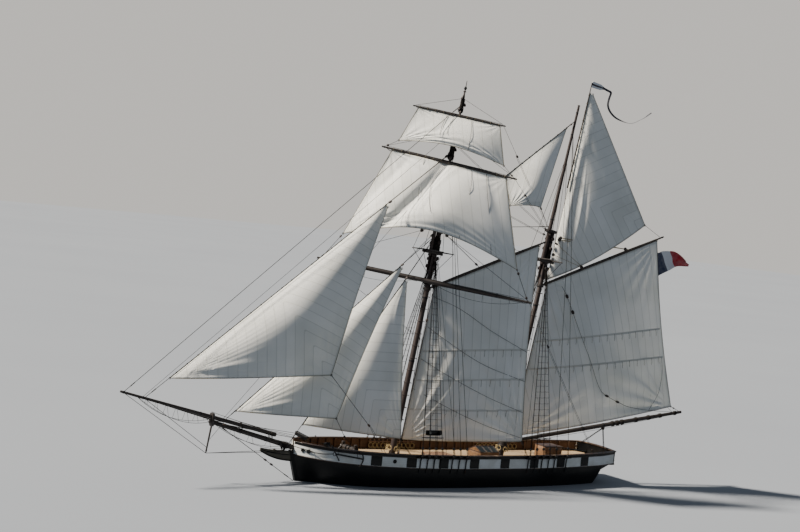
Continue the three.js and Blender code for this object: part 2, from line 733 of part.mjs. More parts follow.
// A headsail on its stay: luff runs between two fractions of the stay, from the top down.
function headsail(stay, { head, tack, clew, depth, sheetTo }) {
  const luffTop = behindStay(stay, head);
  const luffFoot = behindStay(stay, tack);
  const cloth = sail({
    tack: luffFoot,
    clew,
    throat: luffTop,
    peak: luffTop.clone().add(at(-0.16, 0, -0.1)),
    lee: PORT,
    depth,
    foot: 0.45,
    rise: -0.25,
    leech: -0.1,
  });
  return join(cloth, rope(clew, sheetTo, SHROUD_RADIUS));
}

// Shroud gangs
function shroudGang(mast, gang, side) {
  const sideways = (x, out) => side * (halfBreadth(x) + out);
  const channelTop = CHANNEL_RISE + CHANNEL_THICKNESS;
  const foot = (x) => at(x, sideways(x, SHROUD_OUT), deckHeight(x) + channelTop - 0.03);
  const reach = mastRadius(mast, mast.hounds) + SHROUD_RADIUS + GAP;
  const hounds = onMast(mast, 0, side * reach, mast.hounds - 0.28);
  const topReach = topmastRadius(mast, mast.topHounds) + SHROUD_RADIUS + GAP;
  const topHounds = onMast(mast, mast.ahead, side * topReach, mast.topHounds);
  const channel = strake(side, ...gang.channel, {
    inner: GAP,
    outer: CHANNEL_WIDTH,
    bottom: CHANNEL_RISE,
    top: channelTop,
  });
  const shrouds = gang.shrouds.map((x) => rope(foot(x), hounds, SHROUD_RADIUS));
  const backstays = gang.backstays.map((x) => rope(foot(x), topHounds, SHROUD_RADIUS * 0.8));
  const poleAt = (x) => foot(x).lerp(hounds, 0.075);
  const sheerPole = rope(poleAt(gang.shrouds[0]), poleAt(gang.shrouds.at(-1)), 0.022);
  return join(channel, sheerPole, ...shrouds, ...backstays);
}

// Assembly: hull
addPiece("hull", hullPiece(), "hullPaint");
addPiece("backbone", backboneBody(), "hullPaint");
addPiece("rudder", rudderBody(), "hullPaint");

const bowspritSpace = bowspritBody(GAP);
const stemSpace = plate(BACKBONE_OUTLINE.map(([x, z]) => [x + GAP, z]), 0.4);
const headKnee = plate([[12.43, 1.3], [13.3, 1.42], [14.7, 1.72], [14.7, 2.08], [12.43, 1.9]], 0.16);
addPiece("head_knee", cut(headKnee, bowspritSpace, stemSpace), "varnish");

for (const [name, side] of [["port", 1], ["starboard", -1]]) {
  const bulwark = { inner: -BULWARK_THICKNESS, outer: 0, bottom: GAP, top: BULWARK_HEIGHT };
  const rail = {
    inner: RAIL_OVERHANG - RAIL_WIDTH,
    outer: RAIL_OVERHANG,
    bottom: BULWARK_HEIGHT + GAP,
    top: BULWARK_HEIGHT + RAIL_THICKNESS,
  };
  addPiece("bulwark_" + name, cut(strake(side, -12.44, 12.37, bulwark), bowspritSpace), "bandPaint");
  addPiece("rail_" + name, cut(strake(side, -12.44, 12.1, rail), bowspritSpace), "varnish");
}

function transomPiece() {
  const outline = new THREE.Shape();
  outline.moveTo(-2.05, 1.3);
  outline.quadraticCurveTo(0, 0.85, 2.05, 1.3);
  outline.lineTo(2.07, 2.22);
  outline.quadraticCurveTo(0, 2.4, -2.07, 2.22);
  const board = new THREE.ExtrudeGeometry(outline, {
    depth: TRANSOM_THICKNESS,
    bevelEnabled: false,
    curveSegments: 8,
  });
  board.rotateX(Math.PI / 2).rotateZ(-Math.PI / 2);
  return board.translate(TRANSOM_X - GAP, 0, 0);
}
addPiece("transom", transomPiece(), "bandPaint");

// Bowsprit, jibboom and what joins them
const jibboomSpace = jibboomBody(GAP);
addPiece("bowsprit", cut(bowspritBody(), hullSpace), "darkSpar");
addPiece("jibboom", jibboomBody(), "darkSpar");
const capCentre = onBowsprit(CAP_X).lerp(onJibboom(CAP_X), 0.5);
const capBlock = box(0.14, 0.44, 0.82, capCentre);
addPiece("bowsprit_cap", cut(capBlock, bowspritSpace, jibboomSpace), "darkSpar");
const strikerTop = at(capCentre.x, 0, capCentre.z - 0.41 - GAP);
const striker = bar(strikerTop, at(MARTINGALE_FOOT.x, 0, MARTINGALE_FOOT.z), 0.06, 0.045);
addPiece("martingale", cut(striker, capBlock), "darkSpar");

// Masts
addPiece("fore_lower_mast", cut(lowerMast(FORE), hullSpace), "darkSpar");
addPiece("fore_topmast", topmast(FORE), "darkSpar");
addPiece("fore_crosstrees", crosstrees(FORE), "darkSpar");
addPiece("fore_cap", mastCap(FORE), "darkSpar");
addPiece("main_lower_mast", mainLowerMast(), "darkSpar");
addPiece("main_topmast", topmast(MAIN), "darkSpar");
addPiece("main_crosstrees", crosstrees(MAIN), "darkSpar");
addPiece("main_cap", mastCap(MAIN), "darkSpar");
for (const [name, side] of [["port", 1], ["starboard", -1]]) {
  addPiece("fore_shrouds_" + name, shroudGang(FORE, FORE_GANG, side), "tarredRope");
  addPiece("main_shrouds_" + name, shroudGang(MAIN, MAIN_GANG, side), "tarredRope");
}

// Stays
const foreLowerSpace = lowerMast(FORE, GAP);
const foreTopSpace = topmast(FORE, GAP);
const mainTopSpace = topmast(MAIN, GAP);
const foreCapSpace = mastBox(FORE, [0.782, 0.422, 0.202], [FORE.ahead / 2, 0, FORE.cap]);
addPiece("forestay", stayPiece(STAYS.forestay, foreTopSpace, bowspritSpace), "tarredRope");
addPiece("inner_jib_stay", stayPiece(STAYS.innerJib, foreTopSpace, jibboomSpace), "tarredRope");
addPiece("outer_jib_stay", stayPiece(STAYS.outerJib, foreTopSpace, jibboomSpace), "tarredRope");
addPiece("topgallant_stay", stayPiece(STAYS.topgallant, foreTopSpace, jibboomSpace), "tarredRope");
const betweenMasts = [foreLowerSpace, foreCapSpace, mainTopSpace];
addPiece("spring_stay", stayPiece(STAYS.spring, ...betweenMasts), "tarredRope");
addPiece("staysail_stay", stayPiece(STAYS.staysail, ...betweenMasts), "tarredRope");
addPiece("bobstay", stayPiece(STAYS.bobstay, bowspritSpace, stemSpace), "tarredRope");

// Yards and square sails
addPiece("lower_yard_truss", trussPiece(), "iron");
addPiece("lower_yard", lowerYard(), "darkSpar");
addPiece("topsail_yard", upperYard(TOPSAIL_YARD), "darkSpar");
addPiece("topgallant_yard", upperYard(TOPGALLANT_YARD), "darkSpar");
const TOPSAIL = { head: 3.85, clewAlong: 5.8, clewUp: 13.6, depth: 1.5, rise: 1.3 };
const TOPGALLANT = { head: 2.75, clewAlong: 3.55, clewUp: 20.2, depth: 0.75, rise: 0.4 };
addPiece("topsail", squareSail(TOPSAIL_YARD, LOWER_YARD, TOPSAIL), "sailcloth");
addPiece("topgallant", squareSail(TOPGALLANT_YARD, TOPSAIL_YARD, TOPGALLANT), "sailcloth");

// Gaff sails
addPiece("fore_gaff", jawed(FORE, FORE_GAFF.jawUp, foreGaffEnd, FORE_GAFF.radius), "darkSpar");
addPiece("foresail", foresail(), "sailcloth");
addPiece("main_boom", mainBoom(), "darkSpar");
addPiece("main_gaff", jawed(MAIN, MAIN_GAFF.jawUp, mainGaffEnd, MAIN_GAFF.radius), "darkSpar");
addPiece("mainsail", mainsail(), "sailcloth");
addPiece("topsail_pole", topsailPole(), "darkSpar");
addPiece("gaff_topsail", gaffTopsail(), "sailcloth");

// Headsails and the staysail between the masts
const railTop = (x, y) => at(x, y, deckHeight(x) + BULWARK_HEIGHT + RAIL_THICKNESS + GAP + SHROUD_RADIUS);
const OUTER_JIB = {
  head: 0.232,
  tack: 0.925,
  clew: at(11.46, 2.2, 7.03),
  depth: 0.9,
  sheetTo: railTop(5.6, 3.05),
};
const INNER_JIB = {
  head: 0.17,
  tack: 0.95,
  clew: at(10.4, 1.6, 4.23),
  depth: 0.6,
  sheetTo: railTop(6.4, 2.95),
};
const FORE_STAYSAIL = {
  head: 0.2,
  tack: 0.9,
  clew: at(5.3, 1.5, 2.95),
  depth: 0.45,
  sheetTo: at(4.6, 1.7, deckHeight(4.6) - 0.1),
};
addPiece("outer_jib", headsail(STAYS.outerJib, OUTER_JIB), "sailcloth");
addPiece("inner_jib", headsail(STAYS.innerJib, INNER_JIB), "sailcloth");
addPiece("fore_staysail", cut(headsail(STAYS.forestay, FORE_STAYSAIL), hullSpace), "sailcloth");

function topmastStaysail() {
  return sail({
    tack: at(-2.24, 0.5, 18.61),
    clew: at(-4.42, 1.0, 18.68),
    peak: behindStay(STAYS.staysail, 0.93, 0.07),
    throat: behindStay(STAYS.staysail, 0.46, 0.07),
    lee: PORT,
    depth: 0.3,
    foot: 0.6,
    rise: 0.1,
  });
}
addPiece("main_topmast_staysail", topmastStaysail(), "sailcloth");

// Ensign on the mainsail's leech: up is the height along the leech of its two hoist corners.
const ENSIGN = {
  upTop: 8 / SAIL_GRID,
  upBottom: 7 / SAIL_GRID,
  fly: 2.5,
  droop: 0.35,
  wave: 0.2,
  shrink: 0.55,
};

function leechPoint(up) {
  const jaw = onMast(MAIN, 0, 0, MAIN_GAFF.jawUp);
  const peak = along(jaw, mainGaffEnd, PEAK_FRACTION, 0.8 * MAIN_GAFF.radius);
  const edge = MAIN_CLEW.clone().sub(MAIN_TACK).normalize();
  const hollow = MAIN_LEECH_HOLLOW * Math.sin(Math.PI * up);
  return MAIN_CLEW.clone().lerp(peak, up).addScaledVector(edge, hollow);
}

function ensignPiece() {
  const hoist = [leechPoint(ENSIGN.upBottom), leechPoint(ENSIGN.upTop)];
  const rings = [0, 0.25, 0.5, 0.75, 1].map((t) => {
    const aft = at(-ENSIGN.fly * t - 0.1 * CLOTH - GAP, ENSIGN.wave * Math.sin(6 * t), -ENSIGN.droop * t);
    const middle = hoist[0].clone().lerp(hoist[1], 0.5);
    const corners = hoist.map((corner) => corner.clone().lerp(middle, ENSIGN.shrink * t).add(aft));
    return [-CLOTH / 2, CLOTH / 2].flatMap((side) => {
      const edge = corners.map((corner) => corner.clone().add(at(0, side, 0)));
      return side > 0 ? edge.reverse() : edge;
    });
  });
  return loft(rings);
}
addPiece("ensign", ensignPiece(), "flagCloth");

// Deck furniture
const FURNITURE = [
  { name: "companion", x: -8.2, width: 1.5, depth: 1.3, height: 0.9 },
  { name: "skylight", x: -2.6, width: 1.6, depth: 1.5, height: 0.85 },
  { name: "main_hatch", x: 1.0, width: 1.8, depth: 1.8, height: 0.3 },
];
for (const { name, x, width, depth, height } of FURNITURE) {
  const house = box(width, depth, height + 0.4, at(x, 0, deckHeight(x) + height / 2 - 0.2));
  addPiece(name, cut(house, hullSpace), "varnish");
}
const windlassZ = deckHeight(8.2) + 0.5;
const barrel = bar(at(8.2, -0.9, windlassZ), at(8.2, 0.9, windlassZ), 0.17);
const bitts = [-0.75, 0.75].map((y) => box(0.22, 0.2, 1.4, at(8.2, y, windlassZ - 0.35)));
addPiece("windlass", cut(join(barrel, ...bitts), hullSpace), "darkSpar");

ship.scale.setScalar(MODEL_MM_PER_METRE);
export default ship;
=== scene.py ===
"""A two-masted topsail schooner as a 1:2 scale model, close-hauled with the wind to starboard.

Ship axes: +X towards the bow, +Y to port, +Z up, with the origin amidships on the waterline.
Every size is in metres and degrees of the full-size ship; a mesh is scaled when it is made.
"""

import logging
import math
from dataclasses import dataclass, field
from enum import Enum
from typing import Any, ClassVar, Mapping, Sequence

import bpy
import numpy as np
from mathutils import Matrix, Vector


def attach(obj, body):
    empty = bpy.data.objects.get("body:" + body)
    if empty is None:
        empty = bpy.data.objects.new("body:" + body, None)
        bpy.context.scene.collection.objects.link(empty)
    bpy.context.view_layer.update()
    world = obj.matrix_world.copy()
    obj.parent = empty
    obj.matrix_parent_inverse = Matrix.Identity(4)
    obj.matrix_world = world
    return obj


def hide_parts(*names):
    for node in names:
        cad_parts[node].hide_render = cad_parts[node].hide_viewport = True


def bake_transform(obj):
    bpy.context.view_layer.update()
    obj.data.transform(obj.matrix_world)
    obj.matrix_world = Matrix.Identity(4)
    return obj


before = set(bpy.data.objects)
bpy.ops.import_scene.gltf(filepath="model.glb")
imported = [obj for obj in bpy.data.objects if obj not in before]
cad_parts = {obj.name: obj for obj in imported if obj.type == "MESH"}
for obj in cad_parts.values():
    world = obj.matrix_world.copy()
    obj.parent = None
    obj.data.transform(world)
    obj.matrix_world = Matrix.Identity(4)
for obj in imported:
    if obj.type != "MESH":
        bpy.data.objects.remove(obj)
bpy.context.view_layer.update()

LOG = logging.getLogger("schooner")
Array = np.ndarray
Tree = bpy.types.NodeTree
Node = bpy.types.Node
Socket = bpy.types.NodeSocket
Object = bpy.types.Object
Profile = Sequence[tuple[float, float]]  # pairs of a place along a bar and the radius there

MODEL_SCALE = 0.5  # the model's size over the ship's

# Hull sizes, the same as in the solids
KEEL_HALF_WIDTH = 0.12
BULWARK_HEIGHT = 0.7
BULWARK_THICKNESS = 0.1
STERN_X = -12.44
BOW_X = 12.37
RAIL_BOW_X = 12.1
DECK_Z = 1.5  # the height at which the masts' places are given

BRACE_ANGLE = 40.0  # of the yards from fore and aft, the starboard arms forward
STAY_RADIUS = 0.02
CLOTH_THICKNESS = 0.008  # 4 mm on the model
SMOOTH_ANGLE = math.radians(38)
RING_SIDES = 8  # round the wire of a ring
LUMP_ROWS, LUMP_COLUMNS = 9, 14  # circles of latitude and points round each, on a rounded lump


class Body(Enum):
    """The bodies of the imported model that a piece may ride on."""

    SHIP = "ship"
    YARDS = "fore_yards"
    FORE_GAFF = "fore_gaff_rig"
    MAIN_RIG = "main_rig"
    STEERING = "steering"


class Slot(Enum):
    """The record's material slots."""

    HULL_PAINT = "hull_paint"
    BAND_PAINT = "band_paint"
    VARNISHED_WOOD = "varnished_wood"
    SPAR_PAINT = "spar_paint"
    TARRED_ROPE = "tarred_rope"
    IRONWORK = "ironwork"
    SAILCLOTH = "sailcloth"
    FLAG_CLOTH = "flag_cloth"


class Side(Enum):
    """A side of the ship, with the sign of its Y."""

    PORT = 1
    STARBOARD = -1

    @property
    def word(self) -> str:
        """The side's name in lower case."""
        return self.name.lower()


# Numbers and curves
def point(x: float, y: float, z: float) -> Array:
    """A place in ship axes."""
    return np.array([x, y, z], float)


AHEAD = point(1, 0, 0)
PORT = point(0, 1, 0)
UP = point(0, 0, 1)


def unit(vector: Array) -> Array:
    """The vectors along the last axis, each brought to length 1."""
    length = np.linalg.norm(vector, axis=-1, keepdims=True)
    return vector / np.maximum(length, 1e-12)


def apart(a: Array, b: Array) -> float:
    """How far apart two places are."""
    return float(np.linalg.norm(b - a))


def square_to(direction: Array) -> Array:
    """A direction square to another: its cross product with the axis that it follows least."""
    return unit(np.cross(direction, np.eye(3)[np.argmin(np.abs(direction))]))


def between(a: Array, b: Array, fraction: Array | float) -> Array:
    """Points on the line from a to b: a plus the fraction of b minus a."""
    share = np.asarray(fraction, float)[..., None]
    return a + (b - a) * share


def fair(knots: Array, values: Array, where: Array) -> Array:
    """A smooth curve through the given values that never overshoots them.

    Each span is a cubic with the harmonic mean of the neighbouring slopes at its ends.

    Args:
        knots: rising places of the given values.
        values: the value at each knot.
        where: the places to work out.

    Returns:
        The curve's value at each place.
    """
    steps = np.diff(knots)
    slopes = np.diff(values) / steps
    same_sign = slopes[:-1] * slopes[1:] > 0
    total = np.where(same_sign, slopes[:-1] + slopes[1:], 1.0)
    inner = np.where(same_sign, 2 * slopes[:-1] * slopes[1:] / total, 0.0)
    tangents = np.concatenate([slopes[:1], inner, slopes[-1:]])
    span = np.clip(np.searchsorted(knots, where) - 1, 0, len(steps) - 1)
    t = np.clip((where - knots[span]) / steps[span], 0, 1)
    rise = steps[span]
    return (
        (2 * t**3 - 3 * t**2 + 1) * values[span]
        + (t**3 - 2 * t**2 + t) * rise * tangents[span]
        + (3 * t**2 - 2 * t**3) * values[span + 1]
        + (t**3 - t**2) * rise * tangents[span + 1]
    )


def through(points: Sequence[Array], count: int) -> Array:
    """A smooth curve through a few points, with its steps even along the chords.

    Args:
        points: the points to pass through.
        count: how many points to return.

    Returns:
        An array of count points.
    """
    places = np.array(points, float)
    chords = np.linalg.norm(np.diff(places, axis=0), axis=1)
    knots = np.concatenate([[0.0], np.cumsum(chords)])
    where = np.linspace(0, knots[-1], count)
    return np.stack([fair(knots, places[:, axis], where) for axis in range(3)], axis=1)


# Shapes: points, faces and UVs under construction
@dataclass
class Shape:
    """A surface under construction, in full-size metres.

    Attributes:
        points: the vertices, one row each.
        quads: four-cornered faces as indices.
        tris: three-cornered faces as indices.
        quad_uv: the UV of each corner of each quad.
        tri_uv: the UV of each corner of each triangle.
        hem: for cloth, each vertex's distance from the nearest edge.
    """

    points: Array
    quads: Array
    tris: Array
    quad_uv: Array
    tri_uv: Array
    hem: Array | None = None

    def volume(self) -> float:
        """Six times the signed volume: the sum of each triangle's triple product."""
        fans = [self.quads[:, [0, 1, 2]], self.quads[:, [0, 2, 3]], self.tris]
        corners = self.points[np.concatenate(fans)]
        crosses = np.cross(corners[:, 1], corners[:, 2])
        return float(np.sum(corners[:, 0] * crosses))

    def outward(self) -> "Shape":
        """The shape with its faces turned outwards, judged by the sign of its volume."""
        if self.volume() >= 0:
            return self
        return self.flipped()

    def flipped(self) -> "Shape":
        """The shape with every face turned round."""
        return Shape(
            self.points,
            self.quads[:, ::-1],
            self.tris[:, ::-1],
            self.quad_uv[:, ::-1],
            self.tri_uv[:, ::-1],
            self.hem,
        )

    @staticmethod
    def join(shapes: Sequence["Shape"]) -> "Shape":
        """All the shapes as one, each with its own points."""
        starts = np.cumsum([0] + [len(shape.points) for shape in shapes[:-1]])
        return Shape(
            np.concatenate([shape.points for shape in shapes]),
            np.concatenate([shape.quads + start for shape, start in zip(shapes, starts)]),
            np.concatenate([shape.tris + start for shape, start in zip(shapes, starts)]),
            np.concatenate([shape.quad_uv for shape in shapes]),
            np.concatenate([shape.tri_uv for shape in shapes]),
        )


def uv_grid(first: Array, second: Array) -> Array:
    """UV from its two coordinates, one given as a row of numbers and the other as a column."""
    return np.stack(np.broadcast_arrays(first, second), axis=-1)


def grid(points: Array, uv: Array, around: bool = False, capped: bool = False) -> Shape:
    """A surface from a grid of points.

    Args:
        points: rows by columns by 3.
        uv: rows by columns by 2, with one column more than the points if it goes around.
        around: joins the last column to the first.
        capped: closes the first and last row, each with a fan to its middle.

    Returns:
        The surface, with its faces outwards where it is closed.
    """
    rows, columns = points.shape[:2]
    spans = columns if around else columns - 1
    row, column = np.meshgrid(np.arange(rows - 1), np.arange(spans), indexing="ij")
    row, column = row.ravel(), column.ravel()
    after = (column + 1) % columns
    quads = np.stack(
        [
            row * columns + column,
            row * columns + after,
            (row + 1) * columns + after,
            (row + 1) * columns + column,
        ],
        axis=1,
    )
    quad_uv = np.stack(
        [uv[row, column], uv[row, column + 1], uv[row + 1, column + 1], uv[row + 1, column]],
        axis=1,
    )
    flat = points.reshape(-1, 3)
    tris = np.zeros((0, 3), int)
    tri_uv = np.zeros((0, 3, 2))
    if capped:
        here = np.arange(spans)
        there = (here + 1) % columns
        last = (rows - 1) * columns
        middle = len(flat)
        flat = np.concatenate([flat, points[[0, -1]].mean(axis=1)])
        first_cap = np.stack([there, here, np.full(spans, middle)], axis=1)
        last_cap = np.stack([last + here, last + there, np.full(spans, middle + 1)], axis=1)
        tris = np.concatenate([first_cap, last_cap])
        rim = [uv[0, here + 1], uv[0, here], uv[0, here], uv[-1, here], uv[-1, here + 1], uv[-1, here]]
        tri_uv = np.concatenate([np.stack(rim[:3], axis=1), np.stack(rim[3:], axis=1)])
    shape = Shape(flat, quads, tris, quad_uv, tri_uv)
    return shape.outward() if capped or around else shape


def frames_along(path: Array, up: Array | None = None) -> tuple[Array, Array]:
    """Two directions square to a path at each of its points.

    The first is the cross product of the path's direction and a fixed reference, which is the
    axis that the path follows least unless up names one; the second completes the frame.

    Args:
        path: the points of the path.
        up: a fixed reference direction.

    Returns:
        The sideways and the upward directions, one row each per point.
    """
    direction = unit(np.gradient(path, axis=0))
    if up is None:
        up = np.eye(3)[np.argmin(np.abs(direction).mean(axis=0))]
    sideways = unit(np.cross(direction, up))
    return sideways, np.cross(sideways, direction)


def sweep(path: Array, profile: Array, grow: Array | float = 1.0, up: Array | None = None) -> Shape:
    """A closed profile carried along a path, with its ends closed.

    Each point is the path's point plus the profile's two numbers along the sideways and upward
    directions, times the growth at that place.

    Args:
        path: the points of the path.
        profile: points of the closed profile, as sideways and upward distances.
        grow: the profile's size at each point of the path.
        up: the upward reference direction.

    Returns:
        The closed shape, its UV around in shares and along in metres.
    """
    path = np.asarray(path, float)
    sideways, upward = frames_along(path, up)
    size = np.broadcast_to(np.asarray(grow, float), (len(path),))[:, None, None]
    points = path[:, None] + size * (
        sideways[:, None] * profile[None, :, :1] + upward[:, None] * profile[None, :, 1:]
    )
    steps = np.linalg.norm(np.diff(path, axis=0), axis=1)
    length = np.concatenate([[0.0], np.cumsum(steps)])
    around = np.linspace(0, 1, len(profile) + 1)
    return grid(points, uv_grid(around[None], length[:, None]), around=True, capped=True)


def circle(sides: int) -> Array:
    """A round profile of radius 1: the cosine and sine of even angles."""
    angle = np.linspace(0, 2 * math.pi, sides, endpoint=False)
    return np.stack([np.cos(angle), np.sin(angle)], axis=1)


def rounded(width: float, height: float, radius: float, steps: int = 3) -> Array:
    """A rectangle with rounded corners, centred: each corner is a quarter circle.

    Args:
        width: across the profile.
        height: up the profile.
        radius: of the corners.
        steps: spans in each corner.

    Returns:
        The closed profile's points.
    """
    corner = np.repeat([[1, 1], [-1, 1], [-1, -1], [1, -1]], steps + 1, axis=0)
    quarter = np.tile(np.linspace(0, math.pi / 2, steps + 1), 4)
    turn = quarter + np.repeat(np.arange(4), steps + 1) * math.pi / 2
    inner = np.array([width / 2 - radius, height / 2 - radius])
    return corner * inner + radius * np.stack([np.cos(turn), np.sin(turn)], axis=1)


def turned(a: Array, b: Array, profile: Profile, sides: int = 24) -> Shape:
    """A turned bar along a line: circles whose radius follows the profile.

    Args:
        a: one end of the line.
        b: the other end.
        profile: pairs of a place in metres along the line from a, and the radius there.
        sides: sides of the circles.

    Returns:
        The closed shape.
    """
    places = np.array([place for place, _ in profile], float)
    radii = np.array([radius for _, radius in profile], float)
    direction = unit(b - a)
    sideways = square_to(direction)
    upward = np.cross(sideways, direction)
    ring = circle(sides)
    outwards = sideways * ring[:, :1] + upward * ring[:, 1:]
    points = (a + direction * places[:, None])[:, None] + outwards * radii[:, None, None]
    around = np.linspace(0, 1, sides + 1)
    return grid(points, uv_grid(around[None], places[:, None]), around=True, capped=True)


def collar(
    length: float, inner: float, outer: float, ease: tuple[float, float] | None = None
) -> list[tuple[float, float]]:
    """The profile of a short tube.

    Args:
        length: along the bar.
        inner: the inner radius.
        outer: the outer radius.
        ease: how far its outer edges are eased, along the bar and inwards; none for square ones.

    Returns:
        Pairs of a place and the radius there.
    """
    if ease is None:
        return [(0, inner), (0, outer), (length, outer), (length, inner)]
    along, drop = ease
    low = outer - drop
    return [(0, inner), (0, low), (along, outer), (length - along, outer), (length, low), (length, inner)]


def tube(path: Array, radius: Array | float, sides: int = 8) -> Shape:
    """A round rope along a path, its radius given once or for each point."""
    return sweep(path, circle(sides), radius)


def beam(
    a: Array, b: Array, width: float, height: float, up: Array | None = None, ease: float = 0.0
) -> Shape:
    """A squared timber from a to b with rounded edges and eased ends.

    Args:
        a: the middle of one end.
        b: the middle of the other end.
        width: across the timber, square to up.
        height: along up.
        up: the direction of the height.
        ease: the size of the eased edges, 0 for an eighth of the smaller side.

    Returns:
        The closed shape.
    """
    ease = ease or min(width, height) * 0.12
    length = apart(a, b)
    shares = np.array([0.0, ease / length, 1 - ease / length, 1.0])
    shrink = 1 - 2 * ease / min(width, height)
    grow = np.array([shrink, 1.0, 1.0, shrink])
    return sweep(between(a, b, shares), rounded(width, height, 1.5 * ease), grow, up)


def slab(centre: Array, size: tuple[float, float, float], ease: float = 0.012) -> Shape:
    """A board or box with eased edges, its sizes along X, Y and Z."""
    half = point(size[0] / 2, 0, 0)
    return beam(centre - half, centre + half, size[1], size[2], UP, ease)


def sagging(a: Array, b: Array, sag: float = 0.0, count: int = 9) -> Array:
    """A rope's path from a to b, hanging below the line by four times sag times t(1 - t)."""
    t = np.linspace(0, 1, count)
    path = between(a, b, t)
    path[:, 2] -= 4 * sag * t * (1 - t)
    return path


def rope(a: Array, b: Array, radius: float = STAY_RADIUS, sag: float = 0.0) -> Shape:
    """A rope from a to b that hangs by sag in its middle."""
    return tube(sagging(a, b, sag, 2 if sag == 0 else 13), radius, 8)


def ring(centre: Array, axis: Array, radius: float, wire: float, sides: int = 20) -> Shape:
    """A ring: a small circle of the wire's radius carried round a large one.

    Args:
        centre: the middle of the ring.
        axis: the direction square to its plane.
        radius: from the centre to the wire's middle.
        wire: the wire's radius.
        sides: spans round the large circle.

    Returns:
        The closed shape.
    """
    axis = unit(axis)
    first = square_to(axis)
    second = np.cross(axis, first)
    large = circle(sides)
    small = circle(RING_SIDES)
    outwards = first * large[:, :1] + second * large[:, 1:]
    reach = (radius + wire * small[:, 0])[None, :, None]
    rise = (wire * small[:, 1])[None, :, None]
    points = centre + outwards[:, None] * reach + axis * rise
    points = np.concatenate([points, points[:1]])
    around = np.linspace(0, 1, len(small) + 1)
    along = np.linspace(0, 2 * math.pi * radius, sides + 1)
    shape = grid(points, uv_grid(around[None], along[:, None]), around=True)
    count = sides * RING_SIDES
    shape.quads = np.where(shape.quads >= count, shape.quads - count, shape.quads)
    shape.points = shape.points[:count]
    return shape.outward()


def pebble(centre: Array, axis: Array, size: tuple[float, float, float], power: float = 0.7) -> Shape:
    """A rounded lump, such as a block's shell: an ellipsoid with its sides filled out.

    The sines and cosines of the ellipsoid's angles are raised to power, which is below 1 for a
    squarer lump.

    Args:
        centre: its middle.
        axis: the direction of its first size.
        size: half lengths along the axis, sideways and upwards.
        power: 1 for an ellipsoid.

    Returns:
        The closed shape.
    """
    axis = unit(axis)
    sideways = square_to(axis)
    upward = np.cross(sideways, axis)
    latitude = np.linspace(-1, 1, LUMP_ROWS)[1:-1, None] * math.pi / 2
    longitude = np.linspace(0, 2 * math.pi, LUMP_COLUMNS, endpoint=False)[None, :]

    def filled(value: Array) -> Array:
        """The values' sizes raised to the power, with their signs kept."""
        return np.sign(value) * np.abs(value) ** power

    waist = filled(np.cos(latitude))
    along = filled(np.sin(latitude)) * np.ones_like(longitude)
    points = (
        centre
        + axis * (size[0] * along)[..., None]
        + sideways * (size[1] * waist * filled(np.cos(longitude)))[..., None]
        + upward * (size[2] * waist * filled(np.sin(longitude)))[..., None]
    )
    uv = uv_grid(np.linspace(0, 1, LUMP_COLUMNS + 1)[None], np.linspace(0, 1, LUMP_ROWS - 2)[:, None])
    return grid(points, uv, around=True, capped=True)


# Materials
def linear(colour: str) -> tuple[float, float, float, float]:
    """An sRGB hex colour as linear red, green, blue and alpha."""
    parts = [int(colour[place : place + 2], 16) / 255 for place in (1, 3, 5)]
    values = [part / 12.92 if part <= 0.04045 else ((part + 0.055) / 1.055) ** 2.4 for part in parts]
    return (*values, 1.0)


def feed(tree: Tree, node: Node, inputs: Mapping[Any, Any]) -> None:
    """Gives each named or numbered input of a node its value, or a link from a socket."""
    for key, value in inputs.items():
        if isinstance(value, Socket):
            tree.links.new(value, node.inputs[key])
        else:
            node.inputs[key].default_value = value


def add_node(tree: Tree, kind: str, inputs: Mapping[Any, Any], **settings: Any) -> Node:
    """Adds a node with its settings, values and links.

    Args:
        tree: the material's node tree.
        kind: the node's type name.
        inputs: for each input's name or number, a value or the socket to link from.
        settings: the node's own properties.

    Returns:
        The new node.
    """
    node = tree.nodes.new(kind)
    for key, value in settings.items():
        setattr(node, key, value)
    feed(tree, node, inputs)
    return node


MIX_FACTOR, MIX_A, MIX_B, MIX_RESULT = 0, 6, 7, 2  # a colour Mix node's sockets


